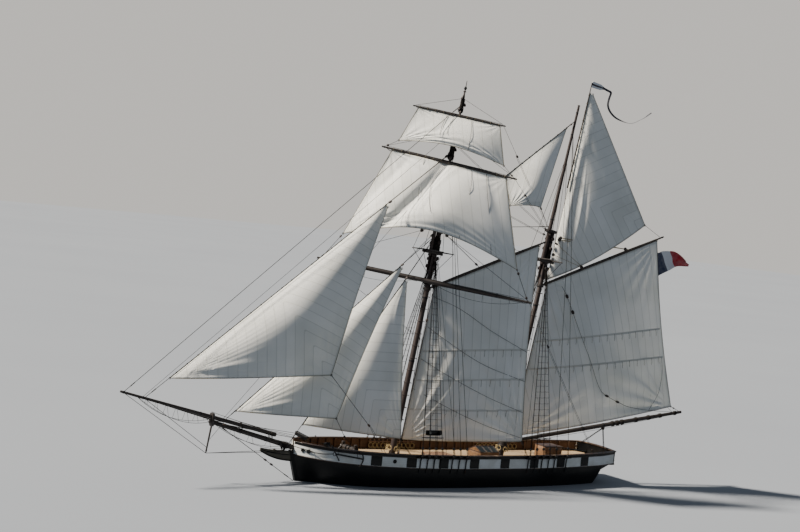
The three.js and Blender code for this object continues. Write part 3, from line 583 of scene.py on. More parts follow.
@dataclass(frozen=True)
class Finish:
    """A material that is built once and then shared.

    Attributes:
        name: what the real finish is.
        slot: the record's material slot that it belongs to; not used.
    """

    name: str
    slot: Slot
    made: ClassVar[dict[str, bpy.types.Material]] = {}

    def material(self) -> bpy.types.Material:
        """The finish's material, made on first use."""
        if self.name not in self.made:
            material = bpy.data.materials.new(self.name)
            material.use_nodes = True
            tree = material.node_tree
            self.build(tree, tree.nodes["Principled BSDF"])
            self.made[self.name] = material
        return self.made[self.name]

    def build(self, tree: Tree, shader: Node) -> None:
        """Builds the nodes that feed the shader."""
        raise NotImplementedError

    @staticmethod
    def colour(tree: Tree, factor: Any, a: Any, b: Any) -> Socket:
        """The colour between a and b at the factor."""
        inputs = {MIX_FACTOR: factor, MIX_A: a, MIX_B: b}
        return add_node(tree, "ShaderNodeMix", inputs, data_type="RGBA").outputs[MIX_RESULT]

    @staticmethod
    def maths(tree: Tree, operation: str, *values: Any) -> Socket:
        """The result of one operation on the values."""
        return add_node(tree, "ShaderNodeMath", dict(enumerate(values)), operation=operation).outputs[0]

    @staticmethod
    def ramp(tree: Tree, value: Any, start: float, end: float) -> Socket:
        """A value brought to 0 at start and 1 at end, and clamped there."""
        inputs = {"Value": value, "From Min": start, "From Max": end}
        return add_node(tree, "ShaderNodeMapRange", inputs).outputs[0]

    @staticmethod
    def noise(tree: Tree, vector: Any, scale: float, detail: float = 3) -> Socket:
        """Soft noise of a scale in waves per model metre, or per UV unit."""
        inputs = {"Vector": vector, "Scale": scale, "Detail": detail}
        return add_node(tree, "ShaderNodeTexNoise", inputs).outputs[0]

    @staticmethod
    def stretch(tree: Tree, vector: Any, scale: tuple[float, float, float]) -> Socket:
        """Coordinates multiplied by a scale for each axis."""
        return add_node(tree, "ShaderNodeMapping", {"Vector": vector, "Scale": scale}).outputs[0]

    @staticmethod
    def bump(tree: Tree, height: Any, metres: float, strength: float = 1.0) -> Socket:
        """A normal from a height of so many model metres."""
        inputs = {"Height": height, "Distance": metres, "Strength": strength}
        return add_node(tree, "ShaderNodeBump", inputs).outputs[0]

    @classmethod
    def strip_tone(cls, tree: Tree, across: Socket, width: float) -> Socket:
        """A tone from 0 to 1 of its own for each strip of the width."""
        number = cls.maths(tree, "FLOOR", cls.maths(tree, "DIVIDE", across, width))
        return add_node(tree, "ShaderNodeTexWhiteNoise", {"W": number}, noise_dimensions="1D").outputs[0]


def axes_of(tree: Tree, place: Socket) -> Sequence[Socket]:
    """The three coordinates of a place."""
    return add_node(tree, "ShaderNodeSeparateXYZ", {0: place}).outputs


def object_place(tree: Tree) -> Socket:
    """The place on the object in model metres."""
    return add_node(tree, "ShaderNodeTexCoord", {}).outputs["Object"]


def uv_place(tree: Tree) -> Socket:
    """The place on the piece's own UV map."""
    return add_node(tree, "ShaderNodeUVMap", {}, uv_map="UVMap").outputs[0]


@dataclass(frozen=True)
class OilPaint(Finish):
    """Oil-based gloss paint brushed on planks: an even colour with fine brush marks, plank seams
    that print through, and a slightly duller tone where salt has dried on it.

    Attributes:
        base: the paint's colour.
        weathered: its colour where it is dulled.
        roughness: of the fresh paint.
        seams: whether plank seams lie at whole numbers of the UV's second coordinate.
        below: the colour of the bottom paint below the waterline, if any.
        gloss: how strongly it mirrors, from 0 to 1.
    """

    base: str = "#0d0e10"
    weathered: str = "#17191c"
    roughness: float = 0.32
    seams: bool = False
    below: str = ""
    gloss: float = 0.2

    def build(self, tree: Tree, shader: Node) -> None:
        """Mottled paint, with brush marks along the planks and narrow grooves at the seams."""
        place = object_place(tree)
        mottle = self.noise(tree, place, 2.2, 5)  # patches of about 0.5 m on the model
        brush = self.noise(tree, self.stretch(tree, place, (6, 60, 160)), 1.0)  # marks 6 mm apart
        factor = self.ramp(tree, mottle, 0.42, 0.68)
        paint = self.colour(tree, factor, linear(self.base), linear(self.weathered))
        height = self.maths(tree, "MULTIPLY", brush, 0.12)
        if self.seams:
            across = axes_of(tree, uv_place(tree))[1]
            to_seam = self.maths(tree, "PINGPONG", across, 0.5)
            groove = self.ramp(tree, to_seam, 0.035, 0.0)  # seams 7 mm wide in 100 mm planks
            height = self.maths(tree, "SUBTRACT", height, groove)
            shade = self.maths(tree, "MULTIPLY", groove, 0.45)
            paint = self.colour(tree, shade, paint, linear("#101112"))
        if self.below:
            up = axes_of(tree, place)[2]
            afloat = self.ramp(tree, up, -0.002, 0.0)
            stain = self.noise(tree, place, 5.0, 6)
            bottom = self.colour(tree, stain, linear(self.below), linear("#4a2019"))
            paint = self.colour(tree, afloat, bottom, paint)
        inputs = {
            "Base Color": paint,
            "Roughness": self.maths(tree, "MULTIPLY_ADD", mottle, 0.2, self.roughness - 0.1),
            "Specular IOR Level": self.gloss,
            "Normal": self.bump(tree, height, 0.003, 0.6),
        }
        feed(tree, shader, inputs)


@dataclass(frozen=True)
class VarnishedWood(Finish):
    """Oiled and varnished pine or teak: long grain under a clear, slightly worn coat.

    Attributes:
        light: the colour between the grain lines.
        dark: the colour of the grain.
        coat: how much clear coat is left.
    """

    light: str = "#7c5c3e"
    dark: str = "#553a25"
    coat: float = 0.35

    def build(self, tree: Tree, shader: Node) -> None:
        """Noise drawn out along the ship's length makes the grain; it is 8 mm apart on the model."""
        place = object_place(tree)
        grain = self.noise(tree, self.stretch(tree, place, (3, 60, 60)), 1.0, 6)
        wear = self.noise(tree, place, 4.0, 4)
        wood = self.colour(tree, self.ramp(tree, grain, 0.35, 0.68), linear(self.light), linear(self.dark))
        inputs = {
            "Base Color": self.colour(tree, self.ramp(tree, wear, 0.55, 0.9), wood, linear("#8f7a62")),
            "Coat Weight": self.coat,
            "Coat Roughness": 0.25,
            "Roughness": self.ramp(tree, wear, -0.6, 1.6),
            "Normal": self.bump(tree, grain, 0.0015, 0.5),
        }
        feed(tree, shader, inputs)


@dataclass(frozen=True)
class SparPaint(Finish):
    """Spars of spruce under dark brown-black paint and oil: a satin coat in which the long grain
    and a few drying cracks still show along the spar.

    Attributes:
        base: the paint's colour.
        grain: its colour along the grain.
    """

    base: str = "#1a1310"
    grain: str = "#2c201a"

    def build(self, tree: Tree, shader: Node) -> None:
        """Noise on the UV, which runs round the spar in shares and along it in metres."""
        grain = self.noise(tree, self.stretch(tree, uv_place(tree), (14, 0.9, 1)), 2.0, 6)
        crack = self.noise(tree, self.stretch(tree, uv_place(tree), (30, 0.35, 1)), 2.0, 2)
        worn = self.noise(tree, object_place(tree), 3.0, 4)
        lines, patches = self.ramp(tree, grain, 0.4, 0.75), self.ramp(tree, worn, 0.2, 0.8)
        mixed = self.maths(tree, "MULTIPLY", lines, patches)
        groove = self.ramp(tree, crack, 0.66, 0.72)
        height = self.maths(tree, "MULTIPLY_ADD", groove, -0.7, grain)
        inputs = {
            "Base Color": self.colour(tree, mixed, linear(self.base), linear(self.grain)),
            "Roughness": self.ramp(tree, worn, -0.8, 1.4),
            "Normal": self.bump(tree, height, 0.002, 0.5),
        }
        feed(tree, shader, inputs)


@dataclass(frozen=True)
class Sailcloth(Finish):
    """Woven canvas of sails, cream-white and matt: narrow cloths sewn with flat seams, a doubled
    hem along each edge and faint grey patches of wear.

    Attributes:
        base: the cloth's colour.
        shade: its colour where it is worn or doubled.
        width: of one cloth between two seams, in the UV's metres.
    """

    base: str = "#f0efe9"
    shade: str = "#cfcfc8"
    width: float = 0.61

    def build(self, tree: Tree, shader: Node) -> None:
        """Seams lie at whole widths of the UV's first coordinate; hem is an attribute in metres."""
        place = object_place(tree)
        across = axes_of(tree, uv_place(tree))[0]
        to_seam = self.maths(tree, "PINGPONG", across, self.width / 2)
        seam = self.ramp(tree, to_seam, 0.03, 0.022)  # a real 40 mm seam is drawn 50 mm wide
        tone = self.strip_tone(tree, across, self.width)
        hem = add_node(tree, "ShaderNodeAttribute", {}, attribute_name="hem").outputs["Fac"]
        doubled = self.ramp(tree, hem, 0.15, 0.13)  # the hem is 140 mm wide on the ship
        stain = self.ramp(tree, self.noise(tree, place, 0.7, 5), 0.4, 0.75)
        weave = self.noise(tree, place, 90.0, 2)  # 2 mm threads drawn 11 mm
        wear = self.maths(tree, "MULTIPLY", stain, 0.5)
        wear = self.maths(tree, "MULTIPLY_ADD", tone, 0.22, wear)
        wear = self.maths(tree, "MULTIPLY_ADD", seam, 0.55, wear)
        wear = self.maths(tree, "MULTIPLY_ADD", doubled, 0.4, wear)
        factor = self.maths(tree, "MINIMUM", wear, 1.0)
        height = self.maths(tree, "MULTIPLY_ADD", seam, 0.5, self.maths(tree, "MULTIPLY", weave, 0.3))
        height = self.maths(tree, "MULTIPLY_ADD", doubled, 0.6, height)
        inputs = {
            "Base Color": self.colour(tree, factor, linear(self.base), linear(self.shade)),
            "Roughness": 0.88,
            "Sheen Weight": 0.15,
            "Subsurface Weight": 0.7,  # sunlight shows through the thin cloth
            "Subsurface Radius": (1.0, 1.0, 1.0),
            "Subsurface Scale": 0.007,
            "Specular IOR Level": 0.25,
            "Normal": self.bump(tree, height, 0.003, 0.5),
        }
        feed(tree, shader, inputs)


@dataclass(frozen=True)
class LaidRope(Finish):
    """Three-strand laid rope: strands that twist round it, with painted shade in the grooves between them.

    Attributes:
        base: the colour of the strands.
        groove: the colour of the painted shade in the grooves between them.
        lay: the length of one turn of a strand, in full-size metres.
    """

    base: str = "#26221e"
    groove: str = "#100e0c"
    lay: float = 0.15

    def build(self, tree: Tree, shader: Node) -> None:
        """The sine of three turns round the rope plus one for each lay along it."""
        around, along = axes_of(tree, uv_place(tree))[:2]
        turns = self.maths(tree, "MULTIPLY", around, 3.0)
        phase = self.maths(tree, "MULTIPLY_ADD", along, 1 / self.lay, turns)
        strand = self.maths(tree, "PINGPONG", phase, 0.5)
        factor = self.ramp(tree, strand, 0.0, 0.22)
        fibre = self.noise(tree, object_place(tree), 120.0, 2)  # yarns are drawn 8 mm apart
        # the groove colour is painted shade: the rope is darkened in the hollows between its strands
        shade = self.maths(tree, "MULTIPLY", factor, self.ramp(tree, fibre, 0.1, 0.6))
        inputs = {
            "Base Color": self.colour(tree, shade, linear(self.groove), linear(self.base)),
            "Roughness": 0.9,
            "Specular IOR Level": 0.2,
            "Normal": self.bump(tree, strand, 0.006, 0.8),
        }
        feed(tree, shader, inputs)


@dataclass(frozen=True)
class Ironwork(Finish):
    """Forged and blacked iron: dark, a little rough from the hammer, with a trace of rust.

    Attributes:
        base: the blacking's colour.
        rust: the colour where it has worn through.
    """

    base: str = "#1d1f21"
    rust: str = "#4a3226"

    def build(self, tree: Tree, shader: Node) -> None:
        """Noise gives the hammer marks, 30 mm apart on the model, and patches of rust."""
        place = object_place(tree)
        rust = self.ramp(tree, self.noise(tree, place, 9.0, 6), 0.58, 0.75)
        inputs = {
            "Base Color": self.colour(tree, rust, linear(self.base), linear(self.rust)),
            "Metallic": 0.75,
            "Roughness": self.ramp(tree, rust, -1.0, 1.0),
            "Normal": self.bump(tree, self.noise(tree, place, 35.0, 3), 0.002, 0.4),
        }
        feed(tree, shader, inputs)


@dataclass(frozen=True)
class LaidDeck(Finish):
    """Scrubbed pine deck planks payed with pitch: silvery fawn, with black lines between them.

    Attributes:
        light: the colour of the scrubbed wood.
        dark: the colour of its grain.
        plank: the width of a plank in model metres.
    """

    light: str = "#b39b7a"
    dark: str = "#8d7557"
    plank: float = 0.07  # 140 mm on the ship

    def build(self, tree: Tree, shader: Node) -> None:
        """Seams at whole planks across the ship; the grain is noise drawn out fore and aft."""
        place = object_place(tree)
        across = axes_of(tree, place)[1]
        to_seam = self.maths(tree, "PINGPONG", across, self.plank / 2)
        seam = self.ramp(tree, to_seam, 0.004, 0.0025)
        tone = self.strip_tone(tree, across, self.plank)
        grain = self.noise(tree, self.stretch(tree, place, (2, 50, 50)), 1.0, 5)
        factor = self.maths(tree, "MULTIPLY_ADD", tone, 0.35, self.ramp(tree, grain, 0.3, 0.9))
        factor = self.maths(tree, "MINIMUM", factor, 1.0)
        wood = self.colour(tree, factor, linear(self.light), linear(self.dark))
        inputs = {
            "Base Color": self.colour(tree, seam, wood, linear("#171411")),
            "Roughness": 0.8,
            "Normal": self.bump(tree, self.maths(tree, "SUBTRACT", grain, seam), 0.001, 0.5),
        }
        feed(tree, shader, inputs)


@dataclass(frozen=True)
class Bunting(Finish):
    """Woven bunting of a flag: matt, thin, sewn from strips in plain colours.

    Attributes:
        strips: for each strip, the share of the fly where it begins and its colour.
        middle: the colour of a stripe along the middle, between -0.3 and 0.3 of the UV, if any.
    """

    strips: tuple[tuple[float, str], ...] = ((0.0, "#ffffff"),)
    middle: str = ""

    def build(self, tree: Tree, shader: Node) -> None:
        """The UV's first coordinate runs along the fly from 0 to 1."""
        along, across = axes_of(tree, uv_place(tree))[:2]
        node = add_node(tree, "ShaderNodeValToRGB", {0: along})
        node.color_ramp.interpolation = "CONSTANT"
        for number, (start, colour) in enumerate(self.strips):
            stops = node.color_ramp.elements
            stop = stops[number] if number < 2 else stops.new(start)
            stop.position = start
            stop.color = linear(colour)
        if len(self.strips) == 1:
            node.color_ramp.elements.remove(node.color_ramp.elements[1])
        cloth = node.outputs[0]
        if self.middle:
            inside = self.ramp(tree, self.maths(tree, "ABSOLUTE", across), 0.32, 0.28)
            cloth = self.colour(tree, inside, cloth, linear(self.middle))
        fade = self.noise(tree, object_place(tree), 6.0, 4)
        weave = self.noise(tree, object_place(tree), 140.0, 2)  # threads drawn 7 mm apart
        inputs = {
            "Base Color": self.colour(tree, self.ramp(tree, fade, 0.3, 2.6), cloth, linear("#c8c8c4")),
            "Roughness": 0.85,
            "Sheen Weight": 0.2,
            "Normal": self.bump(tree, weave, 0.001, 0.5),
        }
        feed(tree, shader, inputs)


HULL_BLACK = OilPaint("hull_black_oil_paint", Slot.HULL_PAINT, "#08090a", "#0e1011", 0.42, True, "#5f2a20")
PLAIN_BLACK = OilPaint("black_gloss_paint", Slot.HULL_PAINT, "#08090a", "#0f1113", 0.4)
BAND_WHITE = OilPaint("white_gloss_paint", Slot.BAND_PAINT, "#dfe0dc", "#cdccc4", 0.4, True, gloss=0.35)
INNER_BROWN = OilPaint("brown_bulwark_paint", Slot.VARNISHED_WOOD, "#4c3526", "#5d4634", 0.5, True)
SKYLIGHT_GLASS = OilPaint("skylight_glass", Slot.VARNISHED_WOOD, "#1a2124", "#242c2f", 0.3, gloss=0.4)
LAMP_GLASS = OilPaint("lamp_glass", Slot.IRONWORK, "#3a3f3c", "#4b514d", 0.15, gloss=0.5)
VARNISHED = VarnishedWood("varnished_teak", Slot.VARNISHED_WOOD)
RAIL_WOOD = VarnishedWood("dark_varnished_rail", Slot.VARNISHED_WOOD, "#3a2416", "#24150c", 0.3)
HEAD_WOOD = VarnishedWood("weathered_head_timber", Slot.VARNISHED_WOOD, "#45402f", "#2a251b", 0.1)
SPAR_DARK = SparPaint("dark_spar_paint", Slot.SPAR_PAINT)
# The masts' own dark oiled brown, made darker still as painted shade for the shade that the mainmast stands
# in
SHADE_DARKENED_MAST_BROWN = SparPaint("oiled_brown_mast", Slot.SPAR_PAINT, "#1f120e", "#331e17")
CANVAS = Sailcloth("sail_canvas", Slot.SAILCLOTH)
TABLING = Sailcloth("doubled_sail_canvas", Slot.SAILCLOTH, "#e6e4dc", "#cbc9c0")
MAST_COAT = OilPaint("painted_mast_coat", Slot.SPAR_PAINT, "#2a2724", "#3a3530", 0.6)
TARRED = LaidRope("tarred_hemp_rope", Slot.TARRED_ROPE)
MANILA = LaidRope("manila_rope", Slot.TARRED_ROPE, "#b8a67e", "#7a6a4a", 0.1)
BOLTROPE = LaidRope("canvas_boltrope", Slot.TARRED_ROPE, "#8a8270", "#57513f", 0.12)
IRON = Ironwork("blacked_iron", Slot.IRONWORK)
DECK_PINE = LaidDeck("scrubbed_pine_deck", Slot.VARNISHED_WOOD)
ENSIGN_CLOTH = Bunting(
    "tricolour_bunting", Slot.FLAG_CLOTH, ((0.0, "#1b2648"), (0.3, "#e9e9ea"), (0.62, "#ad1327"))
)
PENNANT_CLOTH = Bunting("pennant_bunting", Slot.FLAG_CLOTH, ((0.0, "#f0f0f0"), (0.13, "#1c2130")), "#2a2330")


# Pieces
@dataclass(frozen=True)
class Bend:
    """The two ends of a piece that crosses a joint between the body that it rides on and another one.

    Attributes:
        other: the other body; not used.
        start: the place where it leaves the first body.
        end: the place where it meets the other body.
    """

    other: Body
    start: Array
    end: Array


def make_piece(
    name: str,
    parts: Sequence[tuple[Shape, Finish]],
    body: Body,
    replaces: Sequence[str] = (),
    bend: Bend | None = None,
) -> Object:
    """Makes one object of the scene from shapes with their finishes.

    Args:
        name: the piece's name.
        parts: shapes in full-size metres, each with its finish.
        body: the body it rides on, when it has no bend.
        replaces: the nodes that it stands for.
        bend: for a rope that crosses a joint, its ends; such a piece rides on no body.

    Returns:
        The new object, in model metres.
    """
    whole = Shape.join([shape for shape, _ in parts])
    finishes = list(dict.fromkeys(finish for _, finish in parts))
    quad_slots = [np.full(len(shape.quads), finishes.index(finish)) for shape, finish in parts]
    tri_slots = [np.full(len(shape.tris), finishes.index(finish)) for shape, finish in parts]
    mesh = bpy.data.meshes.new(name)
    faces = whole.quads.tolist() + whole.tris.tolist()
    mesh.from_pydata((whole.points * MODEL_SCALE).tolist(), [], faces)
    loop_uv = np.concatenate([whole.quad_uv.reshape(-1, 2), whole.tri_uv.reshape(-1, 2)])
    layer = mesh.uv_layers.new(name="UVMap")
    layer.data.foreach_set("uv", loop_uv.astype(np.float32).ravel())
    mesh.polygons.foreach_set("material_index", np.concatenate(quad_slots + tri_slots).astype(np.int32))
    hems = [shape.hem for shape, _ in parts]
    if hems[0] is not None:
        hem = mesh.attributes.new("hem", "FLOAT", "POINT")
        hem.data.foreach_set("value", np.concatenate(hems).astype(np.float32))
    mesh.shade_smooth()
    mesh.set_sharp_from_angle(angle=SMOOTH_ANGLE)
    for finish in finishes:
        mesh.materials.append(finish.material())
    piece = bpy.data.objects.new(name, mesh)
    bpy.context.scene.collection.objects.link(piece)
    if bend is None:
        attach(piece, body.value)
    else:
        start, end = tuple(bend.start * MODEL_SCALE), tuple(bend.end * MODEL_SCALE)
        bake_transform(piece)
        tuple(start)
        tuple(end)
    if replaces:
        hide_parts(*replaces)
    LOG.info("%s: %d faces", name, len(faces))
    return piece


def dress(node: str, finish: Finish) -> None:
    """Gives a node of the solids its finish."""
    slots = bpy.data.objects[node].data.materials
    slots.clear()
    slots.append(finish.material())


@dataclass
class Tackle:
    """Ropes, blocks and ironwork gathered for one piece.

    Attributes:
        cordage: the finish of the ropes.
        ropes: the ropes.
        shells: the blocks' wooden shells.
        iron: strops, shackles and eyes.
    """

    cordage: Finish = TARRED
    ropes: list[Shape] = field(default_factory=list)
    shells: list[Shape] = field(default_factory=list)
    iron: list[Shape] = field(default_factory=list)

    def line(self, *places: Array, radius: float = 0.012, sag: float = 0.0) -> None:
        """A rope from place to place, each span hanging by sag in its middle."""
        for a, b in zip(places, places[1:]):
            self.ropes.append(tube(sagging(a, b, sag, 3 if sag == 0 else 13), radius, 6))

    def curve(self, places: Sequence[Array], radius: float = 0.012, count: int = 40) -> None:
        """A rope that curves smoothly through the places."""
        self.ropes.append(tube(through(places, count), radius, 6))

    def block(self, centre: Array, towards: Array, size: float = 0.13) -> None:
        """A block of a half length of size, pointing towards a place, with a strop round it."""
        axis = unit(towards - centre)
        cheek = unit(np.cross(axis, np.eye(3)[np.argmin(np.abs(axis))]))
        self.shells.append(pebble(centre, axis, (0.95 * size, 0.5 * size, 0.8 * size)))
        self.iron.append(ring(centre, cheek, 0.92 * size, 0.1 * size))

    def purchase(self, a: Array, b: Array, size: float = 0.13, falls: int = 3) -> None:
        """Two blocks with the falls of one rope between them, fanned as wide as their sheaves."""
        self.block(a, b, size)
        self.block(b, a, size)
        aside = unit(np.cross(b - a, point(0.3, 1, 0.2))) * size * 0.8
        for share in np.linspace(-0.5, 0.5, falls):
            self.line(a + aside * share, b + aside * share * 0.6, radius=0.011)

    def parts(self) -> list[tuple[Shape, Finish]]:
        """The gathered shapes with their finishes."""
        groups = ((self.ropes, self.cordage), (self.shells, SHADE_DARKENED_MAST_BROWN), (self.iron, IRON))
        return [(Shape.join(shapes), finish) for shapes, finish in groups if shapes]

    def piece(self, name: str, body: Body, bend: Bend | None = None) -> None:
        """Makes one piece of the scene from everything gathered."""
        make_piece(name, self.parts(), body, bend=bend)


def thicken(piece: Object, thickness: float) -> None:
    """Gives a cloth its thickness in model metres, half of it on each face."""
    wall = piece.modifiers.new("thickness", "SOLIDIFY")
    wall.thickness = thickness
    wall.offset = 0.0


# Hull
def stations(x: Array, y: Array, z: Array) -> Array:
    """Points in a row for each place along the ship, from the rows' y and z."""
    return np.stack([np.broadcast_to(x[:, None], y.shape), y, z], axis=-1)


@dataclass
class HullLines:
    """The hull's lines: fair curves through its stations, listed from aft to forward.

    Attributes:
        x: where each station lies.
        half: the deck's half breadth.
        deck: the height of the deck's edge.
        keel: the height of the lowest planking.
        full: how round the bilge is.
        hollow: how fine the bottom is.
    """

    x: Array = field(default_factory=lambda: np.array(
        [-12.45, -11.6, -11.2, -10.9, -9.5, -7.0, -3.5, 0.5, 4.0, 7.0, 9.2, 10.8, 11.7, 12.2, 12.38]
    ))
    half: Array = field(default_factory=lambda: np.array(
        [2.07, 2.33, 2.44, 2.5, 2.72, 2.98, 3.17, 3.2, 3.15, 2.95, 2.48, 1.78, 1.12, 0.5, 0.16]
    ))
    deck: Array = field(default_factory=lambda: np.array(
        [1.52, 1.49, 1.48, 1.47, 1.45, 1.42, 1.4, 1.4, 1.44, 1.52, 1.6, 1.69, 1.76, 1.81, 1.83]
    ))
    keel: Array = field(default_factory=lambda: np.array(
        [1.05, 0.45, 0, -2.85, -2.85, -2.85, -2.85, -2.85, -2.85, -2.75, -2.35, -1.35, -0.05, 1.1, 1.6]
    ))
    full: Array = field(default_factory=lambda: np.array(
        [2.0, 2.2, 2.2, 2.0, 2.1, 2.2, 2.3, 2.4, 2.2, 1.9, 1.5, 1.25, 1.1, 1.0, 1.0]
    ))
    hollow: Array = field(default_factory=lambda: np.array(
        [0.8, 1.0, 1.1, 2.4, 2.1, 1.7, 1.45, 1.35, 1.4, 1.45, 1.5, 1.4, 1.2, 1.0, 1.0]
    ))

    def breadth(self, x: Array) -> Array:
        """The deck's half breadth at each place."""
        return fair(self.x, self.half, np.asarray(x, float))

    def height(self, x: Array) -> Array:
        """The height of the deck's edge at each place."""
        return fair(self.x, self.deck, np.asarray(x, float))

    def places(self, start: float, end: float, step: float = 0.16) -> Array:
        """Even places along the ship, closer together towards the stem."""
        even = np.arange(start, end, step)
        bow = np.linspace(11.0, 12.38, 14)
        places = np.concatenate([even, bow, [end]])
        return np.unique(places[(places >= start) & (places <= end)].round(4))

    def section(self, x: Array, t: Array) -> Array:
        """Points of the port side: y rises from the keel as (1 - (1 - t) ^ full) ^ hollow.

        Args:
            x: places along the ship.
            t: shares of the height from the keel to the deck.

        Returns:
            Points, a row for each place and a column for each share.
        """
        reach = (self.breadth(x) - KEEL_HALF_WIDTH)[:, None]
        full = fair(self.x, self.full, x)[:, None]
        hollow = fair(self.x, self.hollow, x)[:, None]
        keel = fair(self.x, self.keel, x)[:, None]
        y = KEEL_HALF_WIDTH + reach * (1 - (1 - t[None, :]) ** full) ** hollow
        z = keel + (self.height(x)[:, None] - keel) * t[None, :]
        return stations(x, y, z)

    def strake(self, side: Side, x: Array, profile: Array, planks: float = 0.12) -> Shape:
        """A profile carried along the deck's edge.

        Args:
            side: the side of the ship.
            x: places along the ship.
            profile: a closed profile, as distances outboard of and above the deck's edge.
            planks: the width of a plank, which is one unit of the UV's second coordinate.

        Returns:
            The closed shape.
        """
        out = self.breadth(x)[:, None] + profile[None, :, 0]
        y = side.value * np.maximum(out, 0.01)
        z = self.height(x)[:, None] + profile[None, :, 1]
        height = np.append(profile[:, 1], profile[0, 1]) / planks
        return grid(stations(x, y, z), uv_grid(x[:, None], height[None]), around=True, capped=True)

    def edge(self, side: Side, x: float, out: float, up: float) -> Array:
        """A point outboard of and above the deck's edge."""
        return point(x, side.value * (float(self.breadth(x)) + out), float(self.height(x)) + up)


def offset(profile: Array, out: float, up: float) -> Array:
    """A profile moved by out and up."""
    return profile + np.array([out, up])


